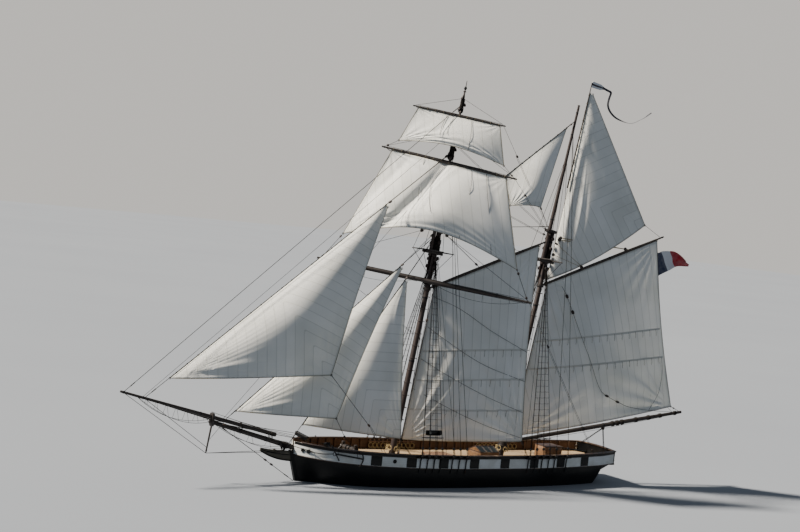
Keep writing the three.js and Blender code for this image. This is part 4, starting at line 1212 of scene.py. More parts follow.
@dataclass
class Hull:
    """The planked hull with its deck, bulwarks, ports, rails, mouldings, stern and head.

    Attributes:
        lines: the hull's lines.
        strakes: how many planks cover a side from keel to deck.
        port_places: the middle of each painted port.
        port_width: the ports' width.
        rail_width: of the cap rail.
        rail_thickness: of the cap rail.
        rail_overhang: of the cap rail beyond the bulwark.
        sheer_depth: of the black plank under the cap rail.
        transom_x: where the transom's face stands.
        transom_half: the transom's half breadth.
        under_bowsprit: how far the head knee stays below the bowsprit's axis.
    """

    lines: HullLines = field(default_factory=HullLines)
    strakes: int = 26
    port_places: tuple[float, ...] = (7.87, 5.37, 2.92, 0.48, -2.03, -4.52, -6.93, -9.22)
    port_width: float = 0.72
    rail_width: float = 0.24
    rail_thickness: float = 0.07
    rail_overhang: float = 0.06
    sheer_depth: float = 0.15
    transom_x: float = -12.4506
    transom_half: float = 2.06
    under_bowsprit: float = 0.19

    def build(self) -> None:
        """Makes every piece of the hull."""
        self.planking()
        self.deck()
        for side in Side:
            self.bulwark(side)
            self.ports(side)
            self.trim(side)
            self.bow_ironwork(side)
        self.stern()
        self.head()
        dress("backbone", HULL_BLACK)
        dress("rudder", HULL_BLACK)

    def planking(self) -> None:
        """The sides and bottom, closed by a cambered deck."""
        x = self.lines.places(-12.45, 12.38)
        t = np.linspace(0, 1, 45) ** 1.25
        port = self.lines.section(x, t)
        starboard = port[:, ::-1] * np.array([1, -1, 1])
        share = np.linspace(1, -1, 9)[None, 1:-1]
        y = self.lines.breadth(x)[:, None] * share
        z = self.lines.height(x)[:, None] + np.zeros_like(y)
        points = np.concatenate([port, stations(x, y, z), starboard], axis=1)
        number = np.concatenate([t, np.ones(share.size), t[::-1], t[:1]]) * self.strakes
        shape = grid(points, uv_grid(x[:, None], number[None]), around=True, capped=True)
        make_piece("hull_planking", [(shape, HULL_BLACK)], Body.SHIP, ["hull"])

    def deck(self) -> None:
        """The laid deck: a plate 30 mm thick inside the bulwarks, cambered as 1 minus y squared."""
        x = self.lines.places(-12.3, 12.0)
        share = np.linspace(-1, 1, 15)
        half = np.maximum(self.lines.breadth(x) - BULWARK_THICKNESS - 0.02, 0.02)
        y = half[:, None] * share[None, :]
        camber = 0.07 * (1 - share[None, :] ** 2) * np.minimum(half[:, None] / 2, 1)
        base = self.lines.height(x)[:, None]
        top = stations(x, y, base + 0.03 + camber)
        under = stations(x, y, base + 0.002 + 0 * camber)
        points = np.concatenate([top, under[:, ::-1]], axis=1)
        uv = np.zeros((len(x), points.shape[1] + 1, 2))
        make_piece("deck_planking", [(grid(points, uv, True, True), DECK_PINE)], Body.SHIP)

    def bulwark(self, side: Side) -> None:
        """The white band outside, with a brown lining and timbers inside."""
        x = self.lines.places(STERN_X, BOW_X)
        skin = rounded(BULWARK_THICKNESS, BULWARK_HEIGHT, 0.012)
        outer = self.lines.strake(side, x, offset(skin, -BULWARK_THICKNESS / 2, BULWARK_HEIGHT / 2))
        inside = self.lines.places(STERN_X + 0.1, 11.9)
        board = rounded(0.02, BULWARK_HEIGHT - 0.02, 0.008)
        lining = self.lines.strake(side, inside, offset(board, -0.112, BULWARK_HEIGHT / 2))
        timbers = []
        for place in np.arange(-11.8, 11.2, 0.72):
            foot = self.lines.edge(side, place, -0.17, 0.03)
            head = self.lines.edge(side, place, -0.17, BULWARK_HEIGHT - 0.01)
            timbers.append(beam(foot, head, 0.11, 0.12, AHEAD))
        parts = [(outer, BAND_WHITE), (lining, INNER_BROWN), (Shape.join(timbers), INNER_BROWN)]
        make_piece("bulwark_planking_" + side.word, parts, Body.SHIP, ["bulwark_" + side.word])

    def ports(self, side: Side) -> None:
        """Painted ports: black lids the full height of the white band, with a bevelled edge."""
        lids = []
        height = BULWARK_HEIGHT - self.sheer_depth + 0.06
        board = offset(rounded(0.05, height, 0.02), 0.006, height / 2 - 0.07)
        for place in self.port_places:
            x = np.linspace(place - self.port_width / 2, place + self.port_width / 2, 5)
            lids.append(self.lines.strake(side, x, board))
        make_piece("port_lids_" + side.word, [(Shape.join(lids), PLAIN_BLACK)], Body.SHIP)

    def trim(self, side: Side) -> None:
        """The cap rail, the black plank under it, and the mouldings above and below the band."""
        x = self.lines.places(STERN_X, RAIL_BOW_X)
        middle = self.rail_overhang - self.rail_width / 2
        cap = rounded(self.rail_width, self.rail_thickness, 0.024, 4)
        cap = offset(cap, middle, BULWARK_HEIGHT + self.rail_thickness / 2 + 0.0006)
        rail = self.lines.strake(side, x, cap)
        make_piece("cap_rail_" + side.word, [(rail, RAIL_WOOD)], Body.SHIP, ["rail_" + side.word])
        x = self.lines.places(STERN_X, BOW_X)
        sheer = offset(rounded(0.05, self.sheer_depth, 0.012), 0.004, BULWARK_HEIGHT - self.sheer_depth / 2)
        low_white = offset(rounded(0.09, 0.11, 0.012), -0.03, -0.035)
        half_round = offset(rounded(0.11, 0.05, 0.024, 4), -0.018, -0.112)
        bead = offset(rounded(0.07, 0.03, 0.014, 4), -0.012, BULWARK_HEIGHT - self.sheer_depth)
        parts = [
            (self.lines.strake(side, x, sheer), PLAIN_BLACK),
            (self.lines.strake(side, x, bead), RAIL_WOOD),
            (self.lines.strake(side, x, low_white), BAND_WHITE),
            (self.lines.strake(side, x, half_round), RAIL_WOOD),
        ]
        make_piece("band_moulding_" + side.word, parts, Body.SHIP)

    def bow_ironwork(self, side: Side) -> None:
        """Hawse pipes, the mooring port's rim, and the cathead with its banded end."""
        outward = {12.05: point(0.8, 0.6 * side.value, 0), 11.8: point(0.74, 0.67 * side.value, 0)}
        outward[6.6] = point(0.1, side.value, 0)
        rims, mouths = [], []
        for x, axis in outward.items():
            centre = self.lines.edge(side, x, 0.0, 0.27)
            rims.append(ring(centre + axis * 0.02, axis, 0.1, 0.03, 24))
            mouths.append(turned(centre, centre + axis * 0.02, collar(0.02, 0.05, 0.1), 20))
        inner, outer = self.lines.edge(side, 10.7, -0.75, 0.78), self.lines.edge(side, 11.05, 0.42, 0.98)
        cathead = beam(inner, outer, 0.22, 0.26, UP, 0.02)
        along = unit(outer - inner)
        band = beam(outer - along * 0.2, outer - along * 0.13, 0.24, 0.28, UP)
        parts = [(Shape.join(rims + [band]), IRON), (Shape.join([*mouths, cathead]), PLAIN_BLACK)]
        make_piece("bow_ironwork_" + side.word, parts, Body.SHIP)
        self.anchor(side)

    def anchor(self, side: Side) -> None:
        """A stocked anchor lashed along the bow, its cable led to the hawse pipe."""
        ring_end, crown = self.lines.edge(side, 10.5, 0.2, 0.42), self.lines.edge(side, 8.85, 0.2, 0.3)
        shank = beam(ring_end, crown, 0.08, 0.1, UP, 0.02)
        bend = np.linspace(-1, 1, 15)
        arms = crown + np.stack([0.28 * bend**2, 0 * bend, 0.5 * bend], axis=-1)
        flukes = [sweep(arms, rounded(0.08, 0.09, 0.025), 1 - 0.45 * bend**2, PORT)]
        palm = rounded(0.22, 0.03, 0.012)
        for tip in (arms[0], arms[-1]):
            away = tip - arms[7]
            path = np.stack([tip - away * 0.28, tip - away * 0.12, tip + away * 0.02])
            flukes.append(sweep(path, palm, np.array([1.0, 0.75, 0.2]), AHEAD))
        stock = turned(
            ring_end + point(0.42, side.value * 0.1, 0.55),
            ring_end + point(-0.3, 0, -0.45),
            [(0, 0.02), (0.02, 0.045), (0.6, 0.035), (1.1, 0.035), (1.18, 0.045), (1.2, 0.02)],
            14,
        )
        eye = ring(ring_end + point(0.1, 0, 0), PORT, 0.11, 0.02)
        hawse = self.lines.edge(side, 12.0, 0.08, 0.27)
        middle = between(ring_end, hawse, 0.5) + point(0, side.value * 0.16, -0.06)
        cable = tube(through([ring_end + point(0.15, 0, 0), middle, hawse], 30), 0.026, 8)
        lashings = []
        for x, share in ((10.3, 0.1), (9.2, 0.8)):
            rail = self.lines.edge(side, x, 0.07, 0.72)
            lashings.append(tube(through([rail, between(ring_end, crown, share)], 5), 0.014, 6))
        iron = Shape.join([shank, *flukes, stock, eye, cable])
        make_piece("anchor_" + side.word, [(iron, IRON), (Shape.join(lashings), TARRED)], Body.SHIP)

    def stern(self) -> None:
        """The transom board between two curves, its frame and the rail along its top."""
        half = self.transom_half
        y = np.linspace(-half, half, 33)
        bow = 1 - (y / half) ** 2
        low = 1.3 - 0.225 * bow
        high = 2.22 + 0.09 * bow
        face = self.transom_x

        def board(front: float, back: float, bottom: Array, top: Array) -> Shape:
            """A plate across the stern from front to back, between two curves."""
            corners = [(front, bottom), (front, top), (back, top), (back, bottom)]
            edges = [np.stack([np.full_like(y, x), y, z], axis=-1) for x, z in corners]
            uv = np.stack([np.broadcast_to(y[:, None], (len(y), 5)), np.zeros((len(y), 5))], axis=-1)
            uv[..., 1] = np.stack([bottom, top, top, bottom, bottom], axis=1) / 0.12
            return grid(np.stack(edges, axis=1), uv, True, True)

        behind = face - 0.09
        planks = board(face, behind, low, high)
        upper = board(behind, face - 0.125, high - 0.1, high)
        lower = board(behind, face - 0.125, low, low + 0.1)
        middle = board(behind, face - 0.11, np.full_like(y, 1.56), np.full_like(y, 1.63))
        parts = [(planks, PLAIN_BLACK), (upper, VARNISHED), (lower, VARNISHED), (middle, VARNISHED)]
        make_piece("transom_board", parts, Body.SHIP, ["transom"])
        path = np.stack([np.full_like(y, face - 0.04), y * 1.02, high + 0.036], axis=-1)
        rail = sweep(path, rounded(0.24, 0.07, 0.024, 4), up=UP)
        make_piece("stern_rail", [(rail, RAIL_WOOD)], Body.SHIP)

    def head(self) -> None:
        """The head knee: a curved bracket that tapers forward, with a plain end."""
        start, end = 12.44, 14.68
        x = np.linspace(start, end, 22)
        share = (x - start) / 2.24
        top = fair(np.array([12.43, 13.2, 14.0, 14.7]), np.array([1.88, 1.93, 1.99, 2.1]), x)
        low = 1.24 + 0.12 * share + 0.5 * share**2.4
        half = 0.078 - 0.03 * share
        corners = np.array([[-1, 0.0], [-1, 1.0], [1, 1.0], [1, 0.0]])
        top = np.minimum(top, BOWSPRIT.height(x) - self.under_bowsprit)
        z = low[:, None] + (top - low)[:, None] * corners[None, :, 1]
        y = half[:, None] * corners[None, :, 0]
        plate = grid(stations(x, y, z), np.zeros((len(x), 5, 2)), True, True)
        cheeks = []
        for side in Side:
            for height, radius in ((low + 0.06, 0.035), (low + 0.62 * (z[:, 1] - low), 0.028)):
                cheeks.append(tube(np.stack([x, side.value * (half + 0.01), height], axis=-1), radius))
        parts = [(plate, HEAD_WOOD), (Shape.join(cheeks), PLAIN_BLACK)]
        make_piece("head_knee_timber", parts, Body.SHIP, ["head_knee"])


# Spars
@dataclass(frozen=True)
class Mast:
    """A raking lower mast and the topmast fidded ahead of it.

    Attributes:
        name: the mast's name.
        x: where its axis meets the deck's height.
        rake: its slope aft in degrees.
        ahead: how far the topmast's axis lies ahead.
        hounds: the height of the crosstrees up the mast.
        cap: the height of the cap.
        top: the topmast's truck.
        head_radius: the lower mast's radius at the cap.
        top_hounds: where the topmast's backstays meet it.
        crosstree: the crosstrees' length.
        radius: the lower mast's radius at the deck.
        top_radius: the topmast's radius at its heel.
        pole_radius: the topmast's radius at its truck.
    """

    name: str
    x: float
    rake: float
    ahead: float
    hounds: float
    cap: float
    top: float
    head_radius: float
    top_hounds: float
    crosstree: float
    radius: float = 0.21
    top_radius: float = 0.13
    pole_radius: float = 0.06

    def at(self, ahead: float, port: float, up: float) -> Array:
        """A place given by how far ahead of the axis, to port and up the mast it lies."""
        turn = math.radians(self.rake)
        x = self.x + ahead * math.cos(turn) - up * math.sin(turn)
        z = DECK_Z + ahead * math.sin(turn) + up * math.cos(turn)
        return point(x, port, z)

    def lower_radius(self, up: float) -> float:
        """The lower mast's radius at a height."""
        return self.radius + (self.head_radius - self.radius) * up / self.cap

    def topmast_radius(self, up: float) -> float:
        """The topmast's radius at a height."""
        share = (up - self.hounds) / (self.top - self.hounds)
        return self.top_radius + (self.pole_radius - self.top_radius) * share

    def pole(self, up: float) -> Array:
        """A place on the topmast's axis."""
        return self.at(self.ahead, 0, up)

    @property
    def forward(self) -> Array:
        """The direction ahead, square to the mast."""
        return self.at(1, 0, 0) - self.at(0, 0, 0)

    @property
    def upward(self) -> Array:
        """The direction up the mast."""
        return self.at(0, 0, 1) - self.at(0, 0, 0)


FORE = Mast(
    name="fore",
    x=4.9,
    rake=7.4,
    ahead=0.36,
    hounds=13.7,
    cap=15.3,
    top=24.4,
    head_radius=0.16,
    top_hounds=20.1,
    crosstree=3.58,
)
MAIN = Mast(
    name="main",
    x=-4.02,
    rake=9.0,
    ahead=0.3,
    hounds=13.8,
    cap=15.8,
    top=24.7,
    head_radius=0.15,
    top_hounds=22.6,
    crosstree=2.9,
    top_radius=0.155,
    pole_radius=0.08,
)
CROSSTREES = (-0.42, 0.42)  # how far ahead of the doubling's middle each one lies
POLE_AHEAD = -0.36  # of the topsail pole, from the mainmast's axis


@dataclass(frozen=True)
class Yard:
    """A yard across the foremast.

    Attributes:
        name: its name, which its node shares.
        length: from arm to arm.
        radius: in its middle.
        up: its height up the mast.
        off: its distance to lee of the pivot's line.
        cant: its tilt in degrees, the starboard arm up.
    """

    name: str
    length: float
    radius: float
    up: float
    off: float
    cant: float

    def at(self, along: float, drop: float = 0.0, lee: float = 0.0) -> Array:
        """A place along the yard from its middle, positive to starboard, below it and to lee."""
        brace, cant = math.radians(BRACE_ANGLE), math.radians(self.cant)
        arm = point(math.cos(brace) * math.cos(cant), -math.sin(brace) * math.cos(cant), math.sin(cant))
        leeward = point(math.sin(brace), math.cos(brace), 0)
        local = point(FORE.ahead, 0, self.up - drop) + leeward * (self.off + lee) + arm * along
        return FORE.at(*local)

    @property
    def leeward(self) -> Array:
        """The direction to lee, square to the yard."""
        return self.at(0, 0, 1) - self.at(0)


LOWER_YARD = Yard("lower_yard", length=14.3, radius=0.14, up=11.7, off=0.55, cant=0.0)
TOPSAIL_YARD = Yard("topsail_yard", length=9.14, radius=0.1, up=19.55, off=0.28, cant=2.2)
TOPGALLANT_YARD = Yard("topgallant_yard", length=6.25, radius=0.075, up=22.7, off=0.24, cant=1.4)

# Iron bands: shares of the spar's length and of its radius
YARD_BANDS = ((0.02, 0.56), (0.98, 0.56), (0.16, 0.86), (0.84, 0.86), (0.35, 1.0), (0.65, 1.0))
GAFF_BANDS = ((0.3, 1.0), (0.55, 1.0), (0.8, 0.86), (0.985, 0.56))
# Iron bands: a share of the jibboom's length and a radius in metres
JIBBOOM_BANDS = ((0.86, 0.085), (0.98, 0.072), (0.5, 0.117), (0.02, 0.127))
# Iron bands: metres along the boom from the mast and a share of its radius
BOOM_BANDS = ((3.0, 0.88), (6.5, 1.0), (8.2, 1.0), (9.5, 1.0), (12.5, 0.82), (14.2, 0.6), (14.85, 0.55))

BOOM_UP, BOOM_LENGTH, BOOM_RADIUS = 1.0, 14.95, 0.15
BOOM_SWING, BOOM_RISE = 6.2, 9.9  # degrees to port, and above the horizontal
MAIN_GAFF_UP, FORE_GAFF_UP, GAFF_RADIUS = 12.0, 11.2, 0.1
MAIN_GAFF_END = point(-14.33, 2.6, 17.55)
FORE_GAFF_END = point(-3.74, 2.8, 16.45)


def on_boom(along: float, above: float = 0.0) -> Array:
    """A place along the main boom from the mast's axis, and above it."""
    rise, swing = math.radians(BOOM_RISE), math.radians(BOOM_SWING)
    flat = along * math.cos(rise)
    step = point(-flat * math.cos(swing), flat * math.sin(swing), along * math.sin(rise) + above)
    return MAIN.at(0, 0, BOOM_UP) + step


@dataclass(frozen=True)
class HeadSpar:
    """The straight axis of the bowsprit or the jibboom, in the ship's middle plane.

    Attributes:
        x: the place of one of its points along the ship.
        z: that point's height.
        slope: its rise for each metre ahead.
    """

    x: float
    z: float
    slope: float

    def height(self, x: Array | float) -> Array | float:
        """The axis's height."""
        return self.z + self.slope * (x - self.x)

    def at(self, x: float) -> Array:
        """A point of the axis."""
        return point(x, 0, self.height(x))


BOWSPRIT = HeadSpar(12.41, 2.12, 0.264)
HEAD_CAP_X = 18.25  # where the bowsprit's cap holds the jibboom
JIBBOOM = HeadSpar(HEAD_CAP_X, 3.96, 0.2335)
MARTINGALE_FOOT = point(18.45, 0, 1.75)

STAYS = {
    "forestay": (FORE.pole(14.36), BOWSPRIT.at(12.8)),
    "inner_jib_stay": (FORE.pole(14.6), JIBBOOM.at(17.4)),
    "outer_jib_stay": (FORE.pole(20.3), JIBBOOM.at(22.87)),
    "topgallant_stay": (FORE.pole(23.5), JIBBOOM.at(24.25)),
    "spring_stay": (FORE.at(-0.1, 0, 15.35), MAIN.pole(16.1)),
    "staysail_stay": (FORE.at(-0.1, 0, 15.4), MAIN.pole(23.6)),
    "bobstay": (BOWSPRIT.at(17.9), point(12.05, 0, -0.05)),
}


@dataclass
class Spars:
    """Masts, yards, gaffs, boom, bowsprit and jibboom, each turned with its bands."""

    band: float = 0.012  # how far an iron band stands proud
    jaws: float = 0.068  # how thick the jaws of a gaff or boom are

    def build(self) -> None:
        """Makes every spar."""
        for mast in (FORE, MAIN):
            self.mast(mast)
        self.main_saddle_parts()
        self.yards()
        self.gaffs()
        self.boom()
        self.bowsprit()
        dress("lower_yard_truss", IRON)
        dress("topsail_pole", SPAR_DARK)

    def hoop(self, a: Array, b: Array, along: float, radius: float, width: float = 0.09) -> Shape:
        """An iron band round a spar at a place along it: a short barrel with eased edges."""
        half = width / 2
        start = a + unit(b - a) * (along - half)
        end = a + unit(b - a) * (along + half)
        profile = collar(width, radius * 0.9, radius + self.band, (0.006, 0.004))
        return turned(start, end, profile, 24)

    def hoops(
        self, a: Array, b: Array, bands: Profile, length: float, radius: float, width: float
    ) -> list[Shape]:
        """Iron bands on a spar, each given as a share of a length and of a radius."""
        return [self.hoop(a, b, share * length, radius * size, width) for share, size in bands]

    def mast(self, mast: Mast) -> None:
        """The lower mast, its topmast, crosstrees, cap and truck."""
        foot = mast.at(0, 0, -0.13)
        head = mast.at(0, 0, mast.cap + 0.12)
        total = mast.cap + 0.25
        profile = [(0, mast.radius), (total - 0.05, mast.head_radius)]
        profile += [(total - 0.02, mast.head_radius * 0.94), (total, mast.head_radius * 0.8)]
        lower = turned(foot, head, profile, 32)
        heights = (2.6, 6.4, 10.6, 12.7, mast.hounds - 1.2, mast.cap - 0.75)
        bands = [self.hoop(mast.at(0, 0, 0), head, up, mast.lower_radius(up)) for up in heights]
        parts = [(lower, SHADE_DARKENED_MAST_BROWN), (Shape.join(bands), IRON)]
        if mast is MAIN:
            ledge = [(0, 0.2), (0, 0.33), (0.02, 0.35), (0.08, 0.35), (0.1, 0.34), (0.1, 0.2)]
            parts.append((turned(mast.at(0, 0, 0.74), mast.at(0, 0, 0.84), ledge, 32), SPAR_DARK))
        coat = [(0, 0.2), (0, 0.38), (0.06, 0.36), (0.16, 0.26), (0.25, 0.225), (0.25, 0.2)]
        parts.append((turned(mast.at(0, 0, -0.1), mast.at(0, 0, 0.2), coat, 32), MAST_COAT))
        make_piece(mast.name + "_lower_mast_spar", parts, Body.SHIP, [mast.name + "_lower_mast"])
        heel = mast.pole(mast.hounds - 0.35)
        truck = mast.pole(mast.top)
        total = mast.top - mast.hounds + 0.35
        profile = [(0, 0.12), (0.02, mast.top_radius)]
        profile += [(total - 0.14, mast.pole_radius), (total - 0.12, mast.pole_radius * 0.8)]
        profile += [(total - 0.1, 0.03), (total - 0.08, 0.09), (total - 0.03, 0.1), (total, 0.07)]
        pole = turned(heel, truck, profile, 24)
        foot = mast.pole(0)
        places = (mast.cap + 0.8, mast.top_hounds, mast.top - 0.55)
        bands = [self.hoop(foot, truck, up, mast.topmast_radius(up), 0.07) for up in places]
        parts = [(pole, SHADE_DARKENED_MAST_BROWN), (Shape.join(bands), IRON)]
        make_piece(mast.name + "_topmast_spar", parts, Body.SHIP, [mast.name + "_topmast"])
        self.doubling(mast)

    def doubling(self, mast: Mast) -> None:
        """The trestletrees, the crosstrees that taper to their horns, and the cap."""
        middle = mast.ahead / 2
        up = mast.hounds - 0.1
        aft_end, fore_end = mast.at(middle - 0.65, 0, up), mast.at(middle + 0.65, 0, up)
        timbers, cheeks = [], []
        for side in Side:
            y = side.value * 0.25
            timbers.append(beam(aft_end + PORT * y, fore_end + PORT * y, 0.09, 0.16, mast.upward))
            y = side.value * (mast.lower_radius(up) + 0.03)
            low, high = mast.at(0.05, y, up - 1.25), mast.at(0.12, y, up - 0.08)
            cheeks.append(beam(low, high, 0.36, 0.09, PORT, 0.03))
        half = mast.crosstree / 2
        share = np.linspace(-1, 1, 13)
        heights = mast.hounds + 0.02 * (1 - share**2)
        for reach in CROSSTREES:
            path = np.stack([mast.at(middle + reach, y, z) for y, z in zip(half * share, heights)])
            timbers.append(sweep(path, rounded(0.09, 0.12, 0.015), 1 - 0.35 * share**2, mast.forward))
        chock = mast.at(middle + 0.31, 0, up)
        for back in (0.0, 0.66):
            shift = mast.forward * back
            a, b = chock - PORT * 0.2 - shift, chock + PORT * 0.2 - shift
            timbers.append(beam(a, b, 0.12, 0.1, mast.upward))
        parts = [(Shape.join(timbers), SPAR_DARK), (Shape.join(cheeks), SHADE_DARKENED_MAST_BROWN)]
        make_piece(mast.name + "_crosstree_timbers", parts, Body.SHIP, [mast.name + "_crosstrees"])
        path = np.stack([mast.at(middle, y, mast.cap) for y in (-0.21, -0.18, 0.18, 0.21)])
        block = sweep(path, rounded(0.78, 0.2, 0.05), np.array([0.9, 1, 1, 0.9]), mast.upward)
        places = [mast.at(middle, side.value * 0.26, mast.cap) for side in Side]
        eyes = [ring(place, mast.forward, 0.05, 0.012, 12) for place in places]
        parts = [(block, SPAR_DARK), (Shape.join(eyes), IRON)]
        make_piece(mast.name + "_mast_cap", parts, Body.SHIP, [mast.name + "_cap"])

    def tapered(
        self, a: Array, b: Array, radius: float, full: tuple[float, float] = (0.3, 0.7), taper: float = 0.5
    ) -> Shape:
        """A spar that is full in its middle and thinner towards its ends.

        From where the full part ends, the radius falls as the 1.3th power of the way to the end.

        Args:
            a: one end.
            b: the other end.
            radius: of the full part.
            full: the shares of the length between which the spar is full.
            taper: the share of the radius that is lost at an end.

        Returns:
            The closed shape.
        """
        length = apart(a, b)
        share = np.linspace(0, 1, 25)
        out = np.clip(np.maximum(full[0] - share, share - full[1]) / (1 - full[1]), 0, 1)
        radii = radius * (1 - taper * out**1.3)
        places = share * length * 0.998 + 0.001 * length
        profile = [(0.0, radii[0] * 0.6), *zip(places, radii), (length, radii[-1] * 0.6)]
        return turned(a, b, profile, 24)

    def yards(self) -> None:
        """The three yards with their arms' bands, jackstays and parrels."""
        for yard in (LOWER_YARD, TOPSAIL_YARD, TOPGALLANT_YARD):
            half = yard.length / 2
            a, b = yard.at(-half), yard.at(half)
            spar = self.tapered(a, b, yard.radius)
            bands = self.hoops(a, b, YARD_BANDS, yard.length, yard.radius, 0.07)
            reach, above = 0.93 * half, 0.9 * yard.radius + 0.02
            bar = tube(np.stack([yard.at(along, -above) for along in (-reach, 0.0, reach)]), 0.014, 6)
            parts = [(spar, SPAR_DARK), (Shape.join(bands + [bar]), IRON)]
            if yard is LOWER_YARD:
                sleeve = turned(FORE.pole(11.6006), FORE.pole(11.8), collar(0.2, 0.054, 0.11), 24)
                shank = turned(FORE.pole(11.7), yard.at(0), [(0.1, 0.05), (0.14, 0.06), (0.5, 0.06)], 16)
                parts += [(sleeve, IRON), (shank, IRON)]
            else:
                low, high = yard.up - 0.07, yard.up + 0.07
                radius = FORE.topmast_radius(low) + 0.003
                outline = collar(0.14, radius, radius + 0.048, (0.01, 0.01))
                parrel = turned(FORE.pole(low), FORE.pole(high), outline, 28)
                outline = [(radius, 0.05), (radius + 0.02, 0.055), (yard.off - 0.01, 0.055)]
                shank = turned(FORE.pole(yard.up), yard.at(0), outline, 16)
                parts += [(parrel, TARRED), (shank, SPAR_DARK)]
            make_piece(yard.name + "_spar", parts, Body.YARDS, [yard.name])

    def gaffs(self) -> None:
        """The two gaffs, each with the jaws that hold it to its mast."""
        for name, mast, up, end, body in (
            ("main_gaff", MAIN, MAIN_GAFF_UP, MAIN_GAFF_END, Body.MAIN_RIG),
            ("fore_gaff", FORE, FORE_GAFF_UP, FORE_GAFF_END, Body.FORE_GAFF),
        ):
            inner = mast.lower_radius(up - 0.08) + 0.002
            jaw = mast.at(0, 0, up)
            start = jaw + unit(end - jaw) * (inner + 0.02)
            spar = self.tapered(start, end, GAFF_RADIUS, (0.25, 0.7))
            outline = collar(0.16, inner, inner + self.jaws, (0.02, 0.02))
            grip = turned(mast.at(0, 0, up - 0.08), mast.at(0, 0, up + 0.08), outline, 32)
            length = apart(start, end)
            bands = self.hoops(start, end, GAFF_BANDS, length, GAFF_RADIUS, 0.06)
            parts = [(spar, SPAR_DARK), (grip, SPAR_DARK), (Shape.join(bands), IRON)]
            make_piece(name + "_spar", parts, body, [name])

    def boom(self) -> None:
        """The main boom with its jaws, sheet bands and end band."""
        inner = MAIN.radius + 0.014
        outline = collar(0.3, inner, inner + self.jaws, (0.02, 0.02))
        grip = turned(MAIN.at(0, 0, 0.8406), MAIN.at(0, 0, 1.14), outline, 32)
        start, end = on_boom(inner + 0.02), on_boom(BOOM_LENGTH)
        spar = self.tapered(start, end, BOOM_RADIUS, taper=0.34)
        bands = self.hoops(on_boom(0), end, BOOM_BANDS, 1.0, BOOM_RADIUS, 0.09)
        parts = [(spar, SPAR_DARK), (grip, SPAR_DARK), (Shape.join(bands), IRON)]
        make_piece("main_boom_spar", parts, Body.MAIN_RIG, ["main_boom"])

    def bowsprit(self) -> None:
        """The bowsprit, the jibboom above it, the cap that joins them and the martingale."""
        heel, end = BOWSPRIT.at(11.9), BOWSPRIT.at(18.42)
        length = apart(heel, end)
        spar = turned(heel, end, [(0, 0.16), (0.01, 0.168), (length - 0.02, 0.13), (length, 0.115)], 28)
        bands = [self.hoop(heel, end, along, 0.166 - 0.0055 * along, 0.1) for along in (1.6, 2.6, 4.6)]
        make_piece("bowsprit_spar", [(spar, SPAR_DARK), (Shape.join(bands), IRON)], Body.SHIP, ["bowsprit"])
        heel, end = JIBBOOM.at(13.7), JIBBOOM.at(24.45)
        length = apart(heel, end)
        outline = [(0, 0.1), (0.02, 0.128), (length * 0.45, 0.12), (length - 0.03, 0.072), (length, 0.05)]
        spar = turned(heel, end, outline, 24)
        bands = self.hoops(heel, end, JIBBOOM_BANDS, length, 1.0, 0.07)
        make_piece("jibboom_spar", [(spar, SPAR_DARK), (Shape.join(bands), IRON)], Body.SHIP, ["jibboom"])
        centre = (BOWSPRIT.at(HEAD_CAP_X) + JIBBOOM.at(HEAD_CAP_X)) / 2
        path = np.stack([centre + point(x, 0, 0) for x in (-0.07, -0.055, 0.055, 0.07)])
        cap = sweep(path, rounded(0.44, 0.82, 0.1, 5), np.array([0.94, 1, 1, 0.94]), UP)
        make_piece("bowsprit_cap_block", [(cap, SPAR_DARK)], Body.SHIP, ["bowsprit_cap"])
        top = centre - UP * 0.41
        length = apart(top, MARTINGALE_FOOT)
        outline = [(0, 0.045), (0.03, 0.06), (length - 0.2, 0.05), (length - 0.19, 0.06)]
        outline += [(length - 0.12, 0.06), (length - 0.11, 0.045), (length, 0.035)]
        striker = turned(top, MARTINGALE_FOOT, outline, 20)
        make_piece("martingale_striker", [(striker, SPAR_DARK)], Body.SHIP, ["martingale"])

    def main_saddle_parts(self) -> None:
        """Chocks under the main boom's collar."""
        chocks = []
        for ahead, port in circle(6) * 0.25:
            chocks.append(beam(MAIN.at(ahead, port, 0.5), MAIN.at(ahead, port, 0.73), 0.07, 0.09))
        make_piece("boom_saddle_chocks", [(Shape.join(chocks), SPAR_DARK)], Body.SHIP)


# Standing rigging
@dataclass(frozen=True)
class Gang:
    """Shrouds and backstays of a mast on one side, spread along a channel.

    Attributes:
        mast: the mast that they hold.
        shrouds: the places of their feet along the ship.
        backstays: the places of the backstays' feet.
        channel: where the channel begins and ends.
    """

    mast: Mast
    shrouds: tuple[float, ...]
    backstays: tuple[float, ...]
    channel: tuple[float, float]


GANGS = (
    Gang(FORE, (4.75, 4.22, 3.7, 3.17), (2.3, 1.75, 1.2), (0.9, 5.05)),
    Gang(MAIN, (-3.95, -4.55, -5.15, -5.75), (-6.3, -7.4), (-7.7, -3.65)),
)


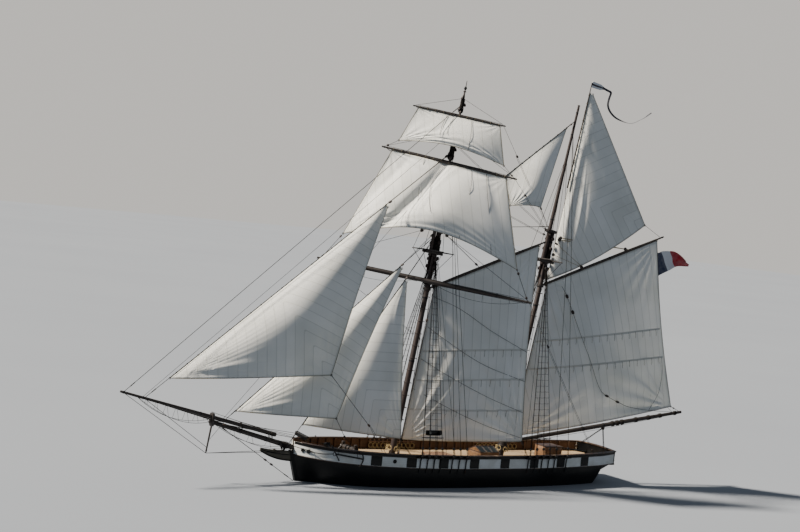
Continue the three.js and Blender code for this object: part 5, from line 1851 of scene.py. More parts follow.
@dataclass
class StandingRigging:
    """Shroud gangs with channels, deadeyes and ratlines, and the stays.

    Attributes:
        lines: the hull's lines.
        rise: the height of a channel's underside above the deck's edge.
        width: of a channel.
        thickness: of a channel.
        out: how far outboard the shrouds' feet lie.
        ratline: the distance between ratlines.
    """

    lines: HullLines
    rise: float = 0.56
    width: float = 0.26
    thickness: float = 0.07
    out: float = 0.19
    ratline: float = 0.4

    def build(self) -> None:
        """Makes the gangs, the pin rails, the light boards and the stays."""
        for side in Side:
            for gang in GANGS:
                self.gang(gang, side)
                self.pin_rail(gang, side)
            self.light_board(side)
        self.stays()

    def foot(self, side: Side, x: float, up: float = 0.0) -> Array:
        """Where a shroud meets its channel, or a height above that."""
        return self.lines.edge(side, x, self.out, self.rise + self.thickness - 0.03 + up)

    def gang(self, gang: Gang, side: Side) -> None:
        """One side's channel, chainplates, deadeyes, shrouds, ratlines and topmast rigging."""
        mast = gang.mast
        x = np.linspace(*gang.channel, 17)
        board = rounded(self.width - 0.001, self.thickness, 0.02)
        board = offset(board, self.width / 2, self.rise + self.thickness / 2)
        wood = [self.lines.strake(side, x, board)]
        reach = mast.lower_radius(mast.hounds) + STAY_RADIUS
        hounds = mast.at(0, side.value * reach, mast.hounds - 0.28)
        top_reach = mast.topmast_radius(mast.top_hounds) + STAY_RADIUS
        top_hounds = mast.at(mast.ahead, side.value * top_reach, mast.top_hounds)
        ropes, iron, eyes = [], [], []
        for number, place in enumerate(gang.shrouds + gang.backstays):
            head = hounds if number < len(gang.shrouds) else top_hounds
            radius = STAY_RADIUS if number < len(gang.shrouds) else 0.016
            foot = self.foot(side, place)
            up = unit(head - foot)
            low, high = foot + up * 0.1, foot + up * 0.62
            ropes.append(rope(high + up * 0.05, head, radius))
            eyes += [self.deadeye(centre, PORT * side.value) for centre in (low, high)]
            for shift in (-0.05, 0.0, 0.05):
                lanyard = point(shift, side.value * 0.01, 0)
                ropes.append(rope(low + lanyard + UP * 0.03, high + lanyard - UP * 0.03, 0.011))
            iron.append(self.chainplate(side, place))
        ropes += self.ratlines(gang, side, hounds)
        poles = [self.foot(side, place) + 0.1 * (hounds - self.foot(side, place)) for place in gang.shrouds]
        iron.append(rope(poles[0] + point(0.12, 0, 0), poles[-1] - point(0.12, 0, 0), 0.022))
        ropes += self.topmast_gang(mast, side, top_hounds)
        parts = [
            (Shape.join(ropes), TARRED),
            (Shape.join(wood), PLAIN_BLACK),
            (Shape.join(eyes), SPAR_DARK),
            (Shape.join(iron), IRON),
        ]
        node = f"{mast.name}_shrouds_{side.word}"
        make_piece(f"{mast.name}_rigging_{side.word}", parts, Body.SHIP, [node])

    def pin_rail(self, gang: Gang, side: Side) -> None:
        """A rail inside the bulwark with belaying pins, each with a coil of rope hung on it."""
        start, end = gang.channel
        x = np.linspace(start + 0.2, end - 0.2, 12)
        rail = self.lines.strake(side, x, offset(rounded(0.14, 0.06, 0.015), -0.2, BULWARK_HEIGHT - 0.16))
        pins, coils = [], []
        outline = [(0, 0.008), (0.01, 0.017), (0.2, 0.017), (0.21, 0.028), (0.3, 0.024), (0.34, 0.01)]
        for place in np.arange(start + 0.4, end - 0.3, 0.34):
            foot = self.lines.edge(side, place, -0.21, BULWARK_HEIGHT - 0.34)
            pins.append(turned(foot, foot + point(0, 0, 0.34), outline, 10))
            for turn in range(3):
                centre = foot + point(0, -side.value * (0.05 + 0.02 * turn), -0.04 - 0.02 * turn)
                coils.append(ring(centre, point(0.15 * turn, 1, 0.1), 0.15 + 0.012 * turn, 0.013, 18))
        parts = [(Shape.join([rail, *pins]), VARNISHED), (Shape.join(coils), MANILA)]
        make_piece(f"{gang.mast.name}_pin_rail_{side.word}", parts, Body.SHIP)

    def light_board(self, side: Side) -> None:
        """A black screen lashed to the fore shrouds, with a lantern at its forward end."""
        hounds = FORE.at(0, side.value * 0.2, FORE.hounds - 0.28)
        middle = between(self.foot(side, 3.95), hounds, 0.125) + PORT * side.value * 0.07
        screen = slab(middle, (1.25, 0.04, 0.32))
        shelf = slab(middle + point(0.1, side.value * 0.11, -0.13), (0.95, 0.2, 0.03))
        end = slab(middle + point(-0.36, side.value * 0.11, 0.0), (0.03, 0.2, 0.28))
        lamp = middle + point(0.35, side.value * 0.13, -0.11)
        body = [(0, 0.06), (0.01, 0.085), (0.05, 0.085), (0.06, 0.07)]
        glass = [(0, 0.06), (0.005, 0.075), (0.13, 0.075), (0.135, 0.06)]
        hood = [(0, 0.07), (0.01, 0.09), (0.03, 0.085), (0.09, 0.03), (0.12, 0.03), (0.13, 0.015)]
        metal = [
            turned(lamp, lamp + UP * 0.06, body, 18),
            turned(lamp + UP * 0.18, lamp + UP * 0.31, hood, 18),
        ]
        lens = turned(lamp + UP * 0.055, lamp + UP * 0.19, glass, 18)
        boards = Shape.join([screen, shelf, end])
        parts = [(boards, PLAIN_BLACK), (Shape.join(metal), IRON), (lens, LAMP_GLASS)]
        make_piece("light_board_" + side.word, parts, Body.SHIP)

    def deadeye(self, centre: Array, axis: Array) -> Shape:
        """A round block 200 mm across with a scored edge."""
        profile = [(0, 0.06), (0.015, 0.09), (0.035, 0.1), (0.05, 0.092)]
        profile += [(0.065, 0.1), (0.085, 0.09), (0.1, 0.06)]
        return turned(centre - axis * 0.05, centre + axis * 0.05, profile, 14)

    def chainplate(self, side: Side, place: float) -> Shape:
        """A flat iron strap from the channel's edge down the topside."""
        top = self.lines.edge(side, place, self.out, self.rise + self.thickness)
        bottom = self.lines.edge(side, place, 0.03, -0.42)
        knuckle = self.lines.edge(side, place, 0.07, self.rise - 0.12)
        path = through([top, knuckle, bottom], 9)
        return sweep(path, rounded(0.09, 0.024, 0.008), up=PORT)

    def ratlines(self, gang: Gang, side: Side, hounds: Array) -> list[Shape]:
        """Ladder steps across the shrouds: each sags a little between neighbours."""
        feet = np.stack([self.foot(side, place) for place in gang.shrouds])
        total = float(np.linalg.norm(hounds - feet.mean(axis=0)))
        steps = []
        for height in np.arange(1.3, total - 1.6, self.ratline):
            crossings = feet + (hounds - feet) * (height / total)
            share = np.linspace(0, len(feet) - 1, 3 * (len(feet) - 1) + 1)
            base = np.clip(share.astype(int), 0, len(feet) - 2)
            local = (share - base)[:, None]
            path = crossings[base] * (1 - local) + crossings[base + 1] * local
            path[:, 2] -= 0.1 * (local * (1 - local))[:, 0]
            path[:, 1] += side.value * 0.02
            steps.append(tube(path, 0.01, 5))
        return steps

    def topmast_gang(self, mast: Mast, side: Side, top_hounds: Array) -> list[Shape]:
        """Topmast shrouds to the crosstrees' horns, and futtock shrouds below them."""
        ropes = []
        half = mast.crosstree / 2
        middle = mast.ahead / 2
        for reach in CROSSTREES:
            horn = mast.at(middle + reach, side.value * (half - 0.06), mast.hounds)
            ropes.append(rope(horn, between(mast.pole(mast.hounds), top_hounds, 0.8), 0.014))
            grip = mast.at(0.0, side.value * mast.lower_radius(mast.hounds - 1.6), mast.hounds - 1.6)
            ropes.append(rope(horn, grip, 0.016))
        return ropes

    def stays(self) -> None:
        """The fore and aft stays, each with its seizing, replacing the solids' bars."""
        for name, (a, b) in STAYS.items():
            direction = unit(b - a)
            length = apart(a, b)
            line = rope(a, b)
            starts = [a + direction * place for place in (0.5, length - 0.9)]
            seizings = [tube(np.stack([start, start + direction * 0.35]), 0.032) for start in starts]
            make_piece(name + "_rope", [(Shape.join([line, *seizings]), TARRED)], Body.SHIP, [name])


# Sails
@dataclass(frozen=True)
class Fold:
    """A ridge or hollow in a sail along a line between two places.

    Its height falls off across the line as a bell curve and towards both ends as a half sine.

    Attributes:
        start: where it begins, across the sail and up it in shares.
        end: where it ends.
        width: of the bell, in shares.
        height: in metres, positive to lee.
    """

    start: tuple[float, float]
    end: tuple[float, float]
    width: float
    height: float

    def rise(self, across: Array, up: Array) -> Array:
        """The fold's height at each place."""
        a, b = np.array(self.start), np.array(self.end)
        line = b - a
        share = ((across - a[0]) * line[0] + (up - a[1]) * line[1]) / (line @ line)
        aside = ((across - a[0]) * line[1] - (up - a[1]) * line[0]) / np.linalg.norm(line)
        ends = np.sin(math.pi * np.clip(share, 0, 1)) ** 0.7
        return self.height * np.exp(-((aside / self.width) ** 2)) * ends


@dataclass(frozen=True)
class Creases:
    """Fine tension creases that fan out from a corner and die away.

    The height is the sine of the angle round the corner times a number of waves, times a bell
    that starts a little off the corner and reaches over a share of the sail.

    Attributes:
        corner: the corner, across and up in shares.
        waves: how many creases stand in a right angle.
        reach: how far they run.
        height: in metres.
    """

    corner: tuple[float, float]
    waves: float
    reach: float
    height: float

    def rise(self, across: Array, up: Array) -> Array:
        """The creases' height at each place."""
        dx, dy = across - self.corner[0], up - self.corner[1]
        distance = np.hypot(dx, dy)
        angle = np.arctan2(np.abs(dy), np.abs(dx)) / (math.pi / 2)
        fade = np.exp(-((distance / self.reach) ** 2)) * (1 - np.exp(-((distance / 0.06) ** 2)))
        return self.height * np.sin(2 * math.pi * self.waves * angle + 0.6) * fade


@dataclass
class Sail:
    """A sail set between four corners, full of wind.

    Its surface starts as the patch of straight lines between the corners. It is pushed to lee
    by the depth, times the sine of a half turn across it and a share that falls off towards the
    head; foot and leech are curved by half sines. Folds and creases are added to that.

    Attributes:
        name: the sail's name.
        node: the node that it stands for.
        body: the body that it rides on.
        tack: the corner at the luff's foot.
        clew: the corner at the leech's foot.
        peak: the corner at the leech's head.
        throat: the corner at the luff's head.
        lee: the direction in which it is full.
        depth: of the fullness.
        foot: the share of the depth that the foot has.
        rise: how far the foot's middle rises.
        leech: how far the leech curves beyond its line.
        ripple: folds and creases on top of the plain shape.
        hung_on: the pieces that carry it; not used.
        mitred: whether the cloths run square to leech and foot, not along the leech.
        draft: the share across at which it is deepest.
        reefs: for each reef band, its shares up the luff and up the leech.
        cords: ropes on its lee face, each as places across and up.
        rings: the hoops, hanks or lashings that hold it.
        columns: spans of the mesh across the sail.
        rows: spans of the mesh up it.
    """

    name: str
    node: str
    body: Body
    tack: Array
    clew: Array
    peak: Array
    throat: Array
    lee: Array
    depth: float
    foot: float = 0.5
    rise: float = 0.0
    leech: float = 0.0
    ripple: tuple[Any, ...] = ()
    hung_on: tuple[str, ...] = ()
    mitred: bool = False
    draft: float = 0.36
    reefs: tuple[tuple[float, float], ...] = ()
    cords: tuple[tuple[tuple[float, float], ...], ...] = ()
    rings: tuple["Rings", ...] = ()
    columns: int = 96
    rows: int = 96

    def surface(self, across: Array, up: Array, rippled: bool = True) -> Array:
        """The sail's points at shares across from luff to leech and up from foot to head."""
        low = between(self.tack, self.clew, across)
        high = between(self.throat, self.peak, across)
        points = low + (high - low) * up[..., None]
        power = math.log(0.5) / math.log(self.draft)
        full = np.sin(math.pi * np.clip(across, 0, 1) ** power)
        swell = np.sin(math.pi / 2 * np.minimum(1, up / 0.4))
        height = (1 - up**2) * (self.foot + (1 - self.foot) * swell)
        push = self.depth * full * height
        if rippled:
            edge = np.minimum(1, 9 * np.minimum(across, 1 - across))
            for item in self.ripple:
                push = push + item.rise(across, up) * (0.25 + 0.75 * edge)
        points = points + self.lee * push[..., None]
        points[..., 2] += self.rise * np.sin(math.pi * across) * (1 - up) ** 2
        along = unit(self.clew - self.tack)
        reach = self.leech * across**2 * np.sin(math.pi * up)
        return points + along * reach[..., None]

    def panels(self, points: Array, across: Array, up: Array) -> Array:
        """Coordinates for the seams: metres square to them, then along them.

        On a mitred sail they are distances from the clew along the nearer of leech and foot, so
        that the seams meet at equal distances on the line that halves the corner.
        """
        leech = unit(self.peak - self.clew)
        foot = unit(self.tack - self.clew)
        from_clew = points - self.clew
        if self.mitred:
            by_leech, by_foot = from_clew @ leech, from_clew @ foot
            square = np.maximum(by_leech, by_foot)
            return np.stack([square, np.minimum(by_leech, by_foot)], axis=-1)
        normal = unit(np.cross(leech, foot))
        return np.stack([from_clew @ unit(np.cross(leech, normal)), from_clew @ leech], axis=-1)

    def build(self) -> None:
        across, up = np.meshgrid(np.linspace(0, 1, self.columns + 1), np.linspace(0, 1, self.rows + 1))
        points = self.surface(across, up)
        shape = grid(points, self.panels(points, across, up))
        sizes = self.edge_lengths()
        across_m = np.minimum(across, 1 - across) * (sizes[0] * (1 - up) + sizes[2] * up)
        up_m = np.minimum(up, 1 - up) * sizes[1]
        shape.hem = np.minimum(across_m, up_m).ravel()
        cloth = make_piece(self.name, [(shape, CANVAS)], self.body, [self.node])
        thicken(cloth, CLOTH_THICKNESS * MODEL_SCALE)
        trim = self.trim(points)
        list(self.hung_on)

    def edge_lengths(self) -> tuple[float, float, float, float]:
        """The lengths of foot, luff, head and leech along their lines."""
        foot, luff = apart(self.tack, self.clew), apart(self.tack, self.throat)
        head, leech = apart(self.throat, self.peak), apart(self.clew, self.peak)
        return foot, luff, head, leech

    def on_cloth(self, places: Sequence[tuple[float, float]], gap: float) -> Array:
        """Points a gap to lee of the cloth, at places across and up."""
        shares = np.array(places, float)
        return self.surface(shares[:, 0], shares[:, 1]) + self.lee * gap

    def trim(self, points: Array) -> list[Object]:
        """The boltrope, corner rings, reef bands with their points, and the ropes on the cloth."""
        edges = [points[0], points[:, -1], points[-1, ::-1], points[::-1, 0]]
        edging = [tube(edge[::3], 0.018, 6) for edge in edges if np.linalg.norm(edge[-1] - edge[0]) > 0.5]
        corners = [points[0, 0], points[0, -1], points[-1, -1], points[-1, 0]]
        cringles = [ring(corner, self.lee, 0.06, 0.014, 14) for corner in corners]
        parts = [(Shape.join(edging), BOLTROPE), (Shape.join(cringles), IRON)]
        bands, points_row, ropes = [], [], []
        for luff, leech in self.reefs:
            across = np.linspace(0.012, 0.985, 96)
            path = self.surface(across, luff + (leech - luff) * across)
            bands.append(sweep(path, rounded(0.14, 0.034, 0.01, 1), up=self.lee))
            points_row += self.reef_points(luff, leech)
        for cord in self.cords:
            ropes.append(tube(through(self.on_cloth(cord, 0.07), 50), 0.012, 6))
        if bands:
            parts.append((Shape.join(bands), TABLING))
            parts.append((Shape.join(points_row), BOLTROPE))
        if ropes:
            parts.append((Shape.join(ropes), TARRED))
        pieces = [make_piece(self.name + "_trim", parts, self.body)]
        if self.rings:
            hoops = [(Shape.join(row.shapes()), row.finish) for row in self.rings]
            pieces.append(make_piece(self.name + "_fastenings", hoops, self.body))
        return pieces

    def reef_points(self, luff: float, leech: float) -> list[Shape]:
        """Short ropes that hang from a reef band on both faces, 0.8 m apart."""
        width = apart(self.tack, self.clew)
        shapes = []
        for across in np.arange(0.8, width - 0.4, 0.8) / width:
            up = luff + (leech - luff) * across
            drop = 0.5 / apart(self.clew, self.peak)
            for gap in (0.03, -0.03):
                places = [(across, up), (across + 0.002, up - drop / 2), (across, up - drop)]
                shapes.append(tube(self.on_cloth(places, gap), 0.01, 5))
        return shapes


@dataclass(frozen=True)
class Rings:
    """A row of hoops, hanks or lashings threaded along a spar or stay.

    Attributes:
        start: the first ring's centre.
        end: the last ring's centre.
        radii: of the first and the last ring.
        wire: the rings' own radius.
        gap: the distance between rings.
        finish: what they are made of.
    """

    start: Array
    end: Array
    radii: tuple[float, float]
    wire: float
    gap: float
    finish: Finish

    def shapes(self) -> list[Shape]:
        """The rings, evenly spaced and square to the line."""
        count = max(2, round(apart(self.start, self.end) / self.gap) + 1)
        shares = np.linspace(0, 1, count)
        centres = between(self.start, self.end, shares)
        radii = self.radii[0] + (self.radii[1] - self.radii[0]) * shares
        axis = self.end - self.start
        return [ring(centre, axis, radius, self.wire) for centre, radius in zip(centres, radii)]


def along_line(a: Array, b: Array, fraction: float, below: float = 0.0) -> Array:
    """A point at a fraction of the way from a to b, and below it."""
    return a + (b - a) * fraction - point(0, 0, below)


def behind_stay(stay: tuple[Array, Array], fraction: float) -> Array:
    """A point at a fraction of a stay, just behind it."""
    a, b = stay
    down = unit(b - a)
    away = point(down[2], 0, -down[0]) * (0.03 if down[0] > 0 else -0.03)
    return along_line(a, b, fraction) + away


@dataclass
class SailPlan:
    """The nine sails, each at the corners measured for it.

    Attributes:
        main_clew: the mainsail's corner at the boom's end.
        fore_clew: the foresail's sheeted corner.
        topsail_tack: the gaff topsail's lower corner at the mast.
        topsail_clew: the gaff topsail's corner at the gaff's end.
        peak_fraction: the share of a gaff at which its sail's peak lies.
        hoop_gap: the distance between mast hoops.
    """

    main_clew: Array = field(default_factory=lambda: point(-17.85, 1.5, 5.42))
    fore_clew: Array = field(default_factory=lambda: point(-4.0, 2.25, 2.95))
    topsail_tack: Array = field(default_factory=lambda: MAIN.at(-0.62, -0.22, 12.55))
    topsail_clew: Array = field(default_factory=lambda: point(-12.75, 2.3, 18.2))
    peak_fraction: float = 0.945
    hoop_gap: float = 0.8

    def sails(self) -> list[Sail]:
        """Every sail of the ship."""
        return [
            self.topsail(),
            self.topgallant(),
            self.foresail(),
            self.mainsail(),
            self.gaff_topsail(),
            self.outer_jib(),
            self.inner_jib(),
            self.fore_staysail(),
            self.topmast_staysail(),
        ]

    def square(
        self, name: str, yard: Yard, below: Yard, head: float, clew: tuple[float, float], **settings: Any
    ) -> Sail:
        """A square sail bent to one yard and sheeted to the yard below.

        Args:
            name: the sail's node.
            yard: the yard that it hangs from.
            below: the yard that its clews are sheeted to.
            head: the head's half width.
            clew: the clews' distance from the middle and height up the mast.
            settings: the sail's other sizes.

        Returns:
            The sail.
        """
        drop = 0.9 * yard.radius
        clew_drop = below.up - clew[1]
        radii = (0.85 * yard.radius + 0.02,) * 2
        lashing = Rings(yard.at(head - 0.1), yard.at(-head + 0.1), radii, 0.011, 0.55, BOLTROPE)
        return Sail(
            name=name + "_sail",
            node=name,
            body=Body.YARDS,
            tack=below.at(clew[0], clew_drop),
            clew=below.at(-clew[0], clew_drop),
            throat=yard.at(head, drop),
            peak=yard.at(-head, drop),
            lee=LOWER_YARD.leeward,
            foot=0.8,
            draft=0.54,
            hung_on=(yard.name + "_spar",),
            rings=(lashing,),
            **settings,
        )

    def topsail(self) -> Sail:
        """The topsail: a deep valley from its head to the luff's foot parts it into two lobes."""
        ripple = (
            Fold((0.5, 1.12), (0.2, -0.12), 0.045, -0.36),
            Fold((0.3, 1.05), (0.05, 0.0), 0.12, 0.3),
            Fold((0.66, 1.05), (0.4, -0.1), 0.16, 0.32),
            Fold((0.18, 1.0), (0.02, 0.35), 0.03, -0.08),
            Fold((0.86, 1.0), (0.97, 0.25), 0.05, -0.07),
            Creases((0, 0), 6, 0.35, 0.03),
            Creases((1, 0), 6, 0.3, 0.03),
            Creases((0, 1), 5, 0.3, 0.04),
            Creases((1, 1), 5, 0.2, 0.015),
            Fold((0.1, 0.04), (0.9, 0.04), 0.03, 0.03),
        )
        cords = (
            ((0.29, 0.99), (0.345, 0.6), (0.42, 0.01)),
            ((0.46, 0.97), (0.42, 0.8), (0.44, 0.5), (0.475, 0.31)),
            ((0.7, 0.99), (0.71, 0.77), (0.665, 0.01)),
            ((0.83, 0.99), (0.84, 0.7), (0.85, 0.01)),
        )
        return self.square(
            "topsail",
            TOPSAIL_YARD,
            LOWER_YARD,
            3.85,
            (5.8, 13.6),
            depth=1.7,
            rise=1.3,
            ripple=ripple,
            cords=cords,
        )

    def topgallant(self) -> Sail:
        """The topgallant, with creases at the clews and wrinkles near its foot."""
        ripple = (
            Creases((0, 0), 6, 0.5, 0.025),
            Creases((1, 0), 5, 0.45, 0.02),
            Creases((0, 1), 4, 0.3, 0.02),
            Creases((1, 1), 4, 0.3, 0.012),
            Fold((0.1, 0.12), (0.95, 0.12), 0.03, 0.035),
            Fold((0.05, 0.22), (0.6, 0.2), 0.025, -0.03),
            Fold((0.44, 1.05), (0.3, 0.3), 0.05, -0.06),
        )
        cords = (
            ((0.36, 0.97), (0.35, 0.65), (0.36, 0.3)),
            ((0.45, 0.95), (0.42, 0.7), (0.43, 0.38)),
            ((0.66, 0.99), (0.67, 0.48), (0.66, 0.02)),
        )
        return self.square(
            "topgallant",
            TOPGALLANT_YARD,
            TOPSAIL_YARD,
            2.75,
            (3.55, 20.2),
            depth=0.75,
            rise=0.4,
            ripple=ripple,
            cords=cords,
        )

    def gaff_sail(self, mast: Mast, gaff_up: float, end: Array, tack_up: float, **settings: Any) -> Sail:
        """A sail between mast and gaff, hooped to the mast and laced to the gaff.

        Args:
            mast: the mast ahead of it.
            gaff_up: how high the gaff's jaws stand.
            end: the gaff's end.
            tack_up: the height of the lowest hoop.
            settings: the sail's name, corners at the foot and other sizes.

        Returns:
            The sail.
        """
        jaw = mast.at(0, 0, gaff_up)
        under = 0.9 * GAFF_RADIUS
        radii = (mast.lower_radius(tack_up) + 0.07, mast.lower_radius(gaff_up) + 0.07)
        low, high = mast.at(-0.05, 0, tack_up), mast.at(-0.05, 0, gaff_up - 0.5)
        lacing = (along_line(jaw, end, 0.08, 0.01), along_line(jaw, end, self.peak_fraction - 0.01, 0.01))
        return Sail(
            throat=along_line(jaw, end, 0.06, under),
            peak=along_line(jaw, end, self.peak_fraction, under),
            lee=PORT,
            foot=0.7,
            hung_on=(mast.name + "_gaff_spar",),
            rings=(
                Rings(low, high, radii, 0.022, self.hoop_gap, SHADE_DARKENED_MAST_BROWN),
                Rings(*lacing, (GAFF_RADIUS + 0.014, GAFF_RADIUS * 0.6 + 0.014), 0.011, 0.5, BOLTROPE),
            ),
            **settings,
        )

    def mainsail(self) -> Sail:
        """The mainsail, loose along its foot, with two reef bands and a reef pendant."""
        ripple = (
            Creases((1, 0), 5, 0.5, 0.1),
            Creases((0, 1), 6, 0.35, 0.07),
            Creases((1, 1), 5, 0.3, 0.06),
            Creases((0, 0), 6, 0.35, 0.07),
            Fold((0.02, 0.15), (0.05, 0.9), 0.02, 0.05),
            Fold((1.02, 0.02), (0.7, 0.42), 0.03, -0.06),
            Fold((1.02, 0.05), (0.55, 0.3), 0.03, 0.07),
            Fold((0.0, 0.02), (0.75, 0.02), 0.05, -0.07),
        )
        return self.gaff_sail(
            MAIN,
            MAIN_GAFF_UP,
            MAIN_GAFF_END,
            1.9,
            name="mainsail_cloth",
            node="mainsail",
            body=Body.MAIN_RIG,
            tack=MAIN.at(-0.42, 0.04, 1.5),
            clew=self.main_clew,
            depth=0.86,
            draft=0.42,
            leech=-0.25,
            ripple=ripple,
            reefs=((0.62, 0.48), (0.44, 0.31)),
            cords=(((0.83, 0.01), (0.92, 0.12), (0.955, 0.2), (0.975, 0.31)),),
        )

    def foresail(self) -> Sail:
        """The foresail, without a boom, with its brails on the lee face and three reef bands."""
        ripple = (
            Creases((1, 0), 6, 0.55, 0.1),
            Creases((0, 1), 6, 0.4, 0.07),
            Creases((1, 1), 5, 0.3, 0.06),
            Creases((0, 0), 6, 0.5, 0.09),
            Fold((0.03, 0.1), (0.06, 0.95), 0.022, 0.07),
            Fold((0.09, 0.05), (0.11, 0.8), 0.025, -0.06),
            Fold((0.25, 0.9), (0.7, 0.6), 0.04, 0.06),
            Fold((1.0, 0.0), (0.55, 0.4), 0.035, -0.07),
        )
        cords = (
            ((0.02, 0.93), (0.23, 0.825), (0.6, 0.62), (0.99, 0.46)),
            ((0.01, 0.74), (0.13, 0.66), (0.55, 0.44), (0.99, 0.31)),
            ((0.01, 0.53), (0.18, 0.435), (0.6, 0.26), (0.99, 0.15)),
            ((0.0, 0.335), (0.3, 0.2), (0.65, 0.09), (0.98, 0.02)),
        )
        return self.gaff_sail(
            FORE,
            FORE_GAFF_UP,
            FORE_GAFF_END,
            1.7,
            name="foresail_cloth",
            node="foresail",
            body=Body.FORE_GAFF,
            tack=FORE.at(-0.4, 0.1, 1.25),
            clew=self.fore_clew,
            depth=0.7,
            leech=-0.2,
            ripple=ripple,
            reefs=((0.58, 0.47), (0.39, 0.32), (0.2, 0.16)),
            cords=cords,
        )

    def gaff_topsail(self) -> Sail:
        """The gaff topsail, set on a pole along the main topmast, deeply folded along its luff."""
        ripple = (
            Fold((0.06, 0.1), (0.1, 0.7), 0.022, 0.06),
            Fold((0.11, 0.08), (0.15, 0.65), 0.02, -0.06),
            Fold((0.17, 0.06), (0.22, 0.6), 0.022, 0.05),
            Fold((0.24, 0.05), (0.3, 0.5), 0.025, -0.04),
            Fold((0.02, 0.84), (0.62, 0.46), 0.05, -0.07),
            Creases((1, 0), 5, 0.4, 0.04),
        )
        low, high = MAIN.at(POLE_AHEAD, 0, 19.6), MAIN.at(POLE_AHEAD, 0, 25.6)
        lacing = Rings(low, high, (0.085, 0.075), 0.011, 0.6, BOLTROPE)
        return Sail(
            name="gaff_topsail_cloth",
            node="gaff_topsail",
            body=Body.MAIN_RIG,
            tack=self.topsail_tack,
            clew=self.topsail_clew,
            throat=MAIN.at(-0.41, 0, 25.75),
            peak=MAIN.at(-0.67, 0, 25.75),
            lee=PORT,
            depth=0.8,
            foot=0.35,
            rise=-0.3,
            draft=0.34,
            ripple=ripple,
            hung_on=("topsail_pole", "main_gaff_spar"),
            mitred=True,
            columns=120,
            rings=(lacing,),
        )

    def headsail(
        self, name: str, stay_node: str, share: tuple[float, float], clew: Array, **settings: Any
    ) -> Sail:
        """A three-cornered sail hanked to a stay.

        Args:
            name: the sail's node.
            stay_node: its stay's node.
            share: of the stay from its head at which the sail's head and tack lie.
            clew: the free corner.
            settings: the sail's other sizes.

        Returns:
            The sail.
        """
        stay = STAYS[stay_node]
        top = behind_stay(stay, share[0])
        hanks = (along_line(*stay, share[0] + 0.02), along_line(*stay, share[1] - 0.02))
        return Sail(
            name=name + "_cloth",
            node=name,
            body=Body.SHIP,
            tack=behind_stay(stay, share[1]),
            clew=clew,
            throat=top,
            peak=top + point(-0.16, 0, -0.1),
            lee=PORT,
            foot=0.45,
            leech=-0.1,
            hung_on=(stay_node + "_rope",),
            mitred=True,
            rings=(Rings(*hanks, (0.045, 0.045), 0.012, 0.85, IRON),),
            **settings,
        )

    def outer_jib(self) -> Sail:
        """The outer jib, on the stay from the jibboom."""
        ripple = (
            Creases((1, 0), 6, 0.3, 0.04),
            Creases((0, 0), 11, 0.22, 0.035),
            Fold((0.02, 0.04), (0.5, 0.1), 0.02, 0.05),
            Fold((0.02, 0.02), (0.45, 0.05), 0.014, -0.04),
            Fold((0.2, 0.015), (1.0, 0.02), 0.014, 0.04),
            Fold((0.7, 0.0), (0.85, 0.3), 0.06, 0.06),
        )
        clew = point(11.46, 2.2, 7.03)
        return self.headsail("outer_jib", "outer_jib_stay", (0.232, 0.925), clew, depth=1.12, ripple=ripple)

    def inner_jib(self) -> Sail:
        """The inner jib."""
        ripple = (
            Creases((1, 0), 6, 0.3, 0.04),
            Creases((0, 0), 8, 0.22, 0.035),
            Fold((0.02, 0.02), (0.5, 0.1), 0.02, 0.04),
            Fold((0.2, 0.015), (1.0, 0.02), 0.016, 0.03),
        )
        clew = point(10.4, 1.6, 4.23)
        return self.headsail("inner_jib", "inner_jib_stay", (0.17, 0.95), clew, depth=0.85, ripple=ripple)

    def fore_staysail(self) -> Sail:
        """The fore staysail, inmost of the headsails."""
        ripple = (Creases((1, 0), 6, 0.35, 0.06), Fold((0.3, 0.9), (0.9, 0.5), 0.06, 0.05))
        clew = point(5.3, 1.5, 2.95)
        return self.headsail("fore_staysail", "forestay", (0.2, 0.9), clew, depth=0.75, ripple=ripple)

    def topmast_staysail(self) -> Sail:
        """The four-cornered staysail between the masts."""
        stay = STAYS["staysail_stay"]
        hanks = (along_line(*stay, 0.48), along_line(*stay, 0.915))
        return Sail(
            name="main_topmast_staysail_cloth",
            node="main_topmast_staysail",
            body=Body.SHIP,
            tack=point(-2.24, 0.5, 18.61),
            clew=point(-4.42, 1.0, 18.68),
            peak=behind_stay(stay, 0.93),
            throat=behind_stay(stay, 0.46),
            lee=PORT,
            depth=0.75,
            foot=0.6,
            rise=0.1,
            draft=0.42,
            ripple=(Creases((1, 0), 4, 0.35, 0.05), Creases((0, 0), 6, 0.35, 0.05)),
            hung_on=("staysail_stay_rope",),
            rings=(Rings(*hanks, (0.045, 0.045), 0.012, 0.7, IRON),),
        )


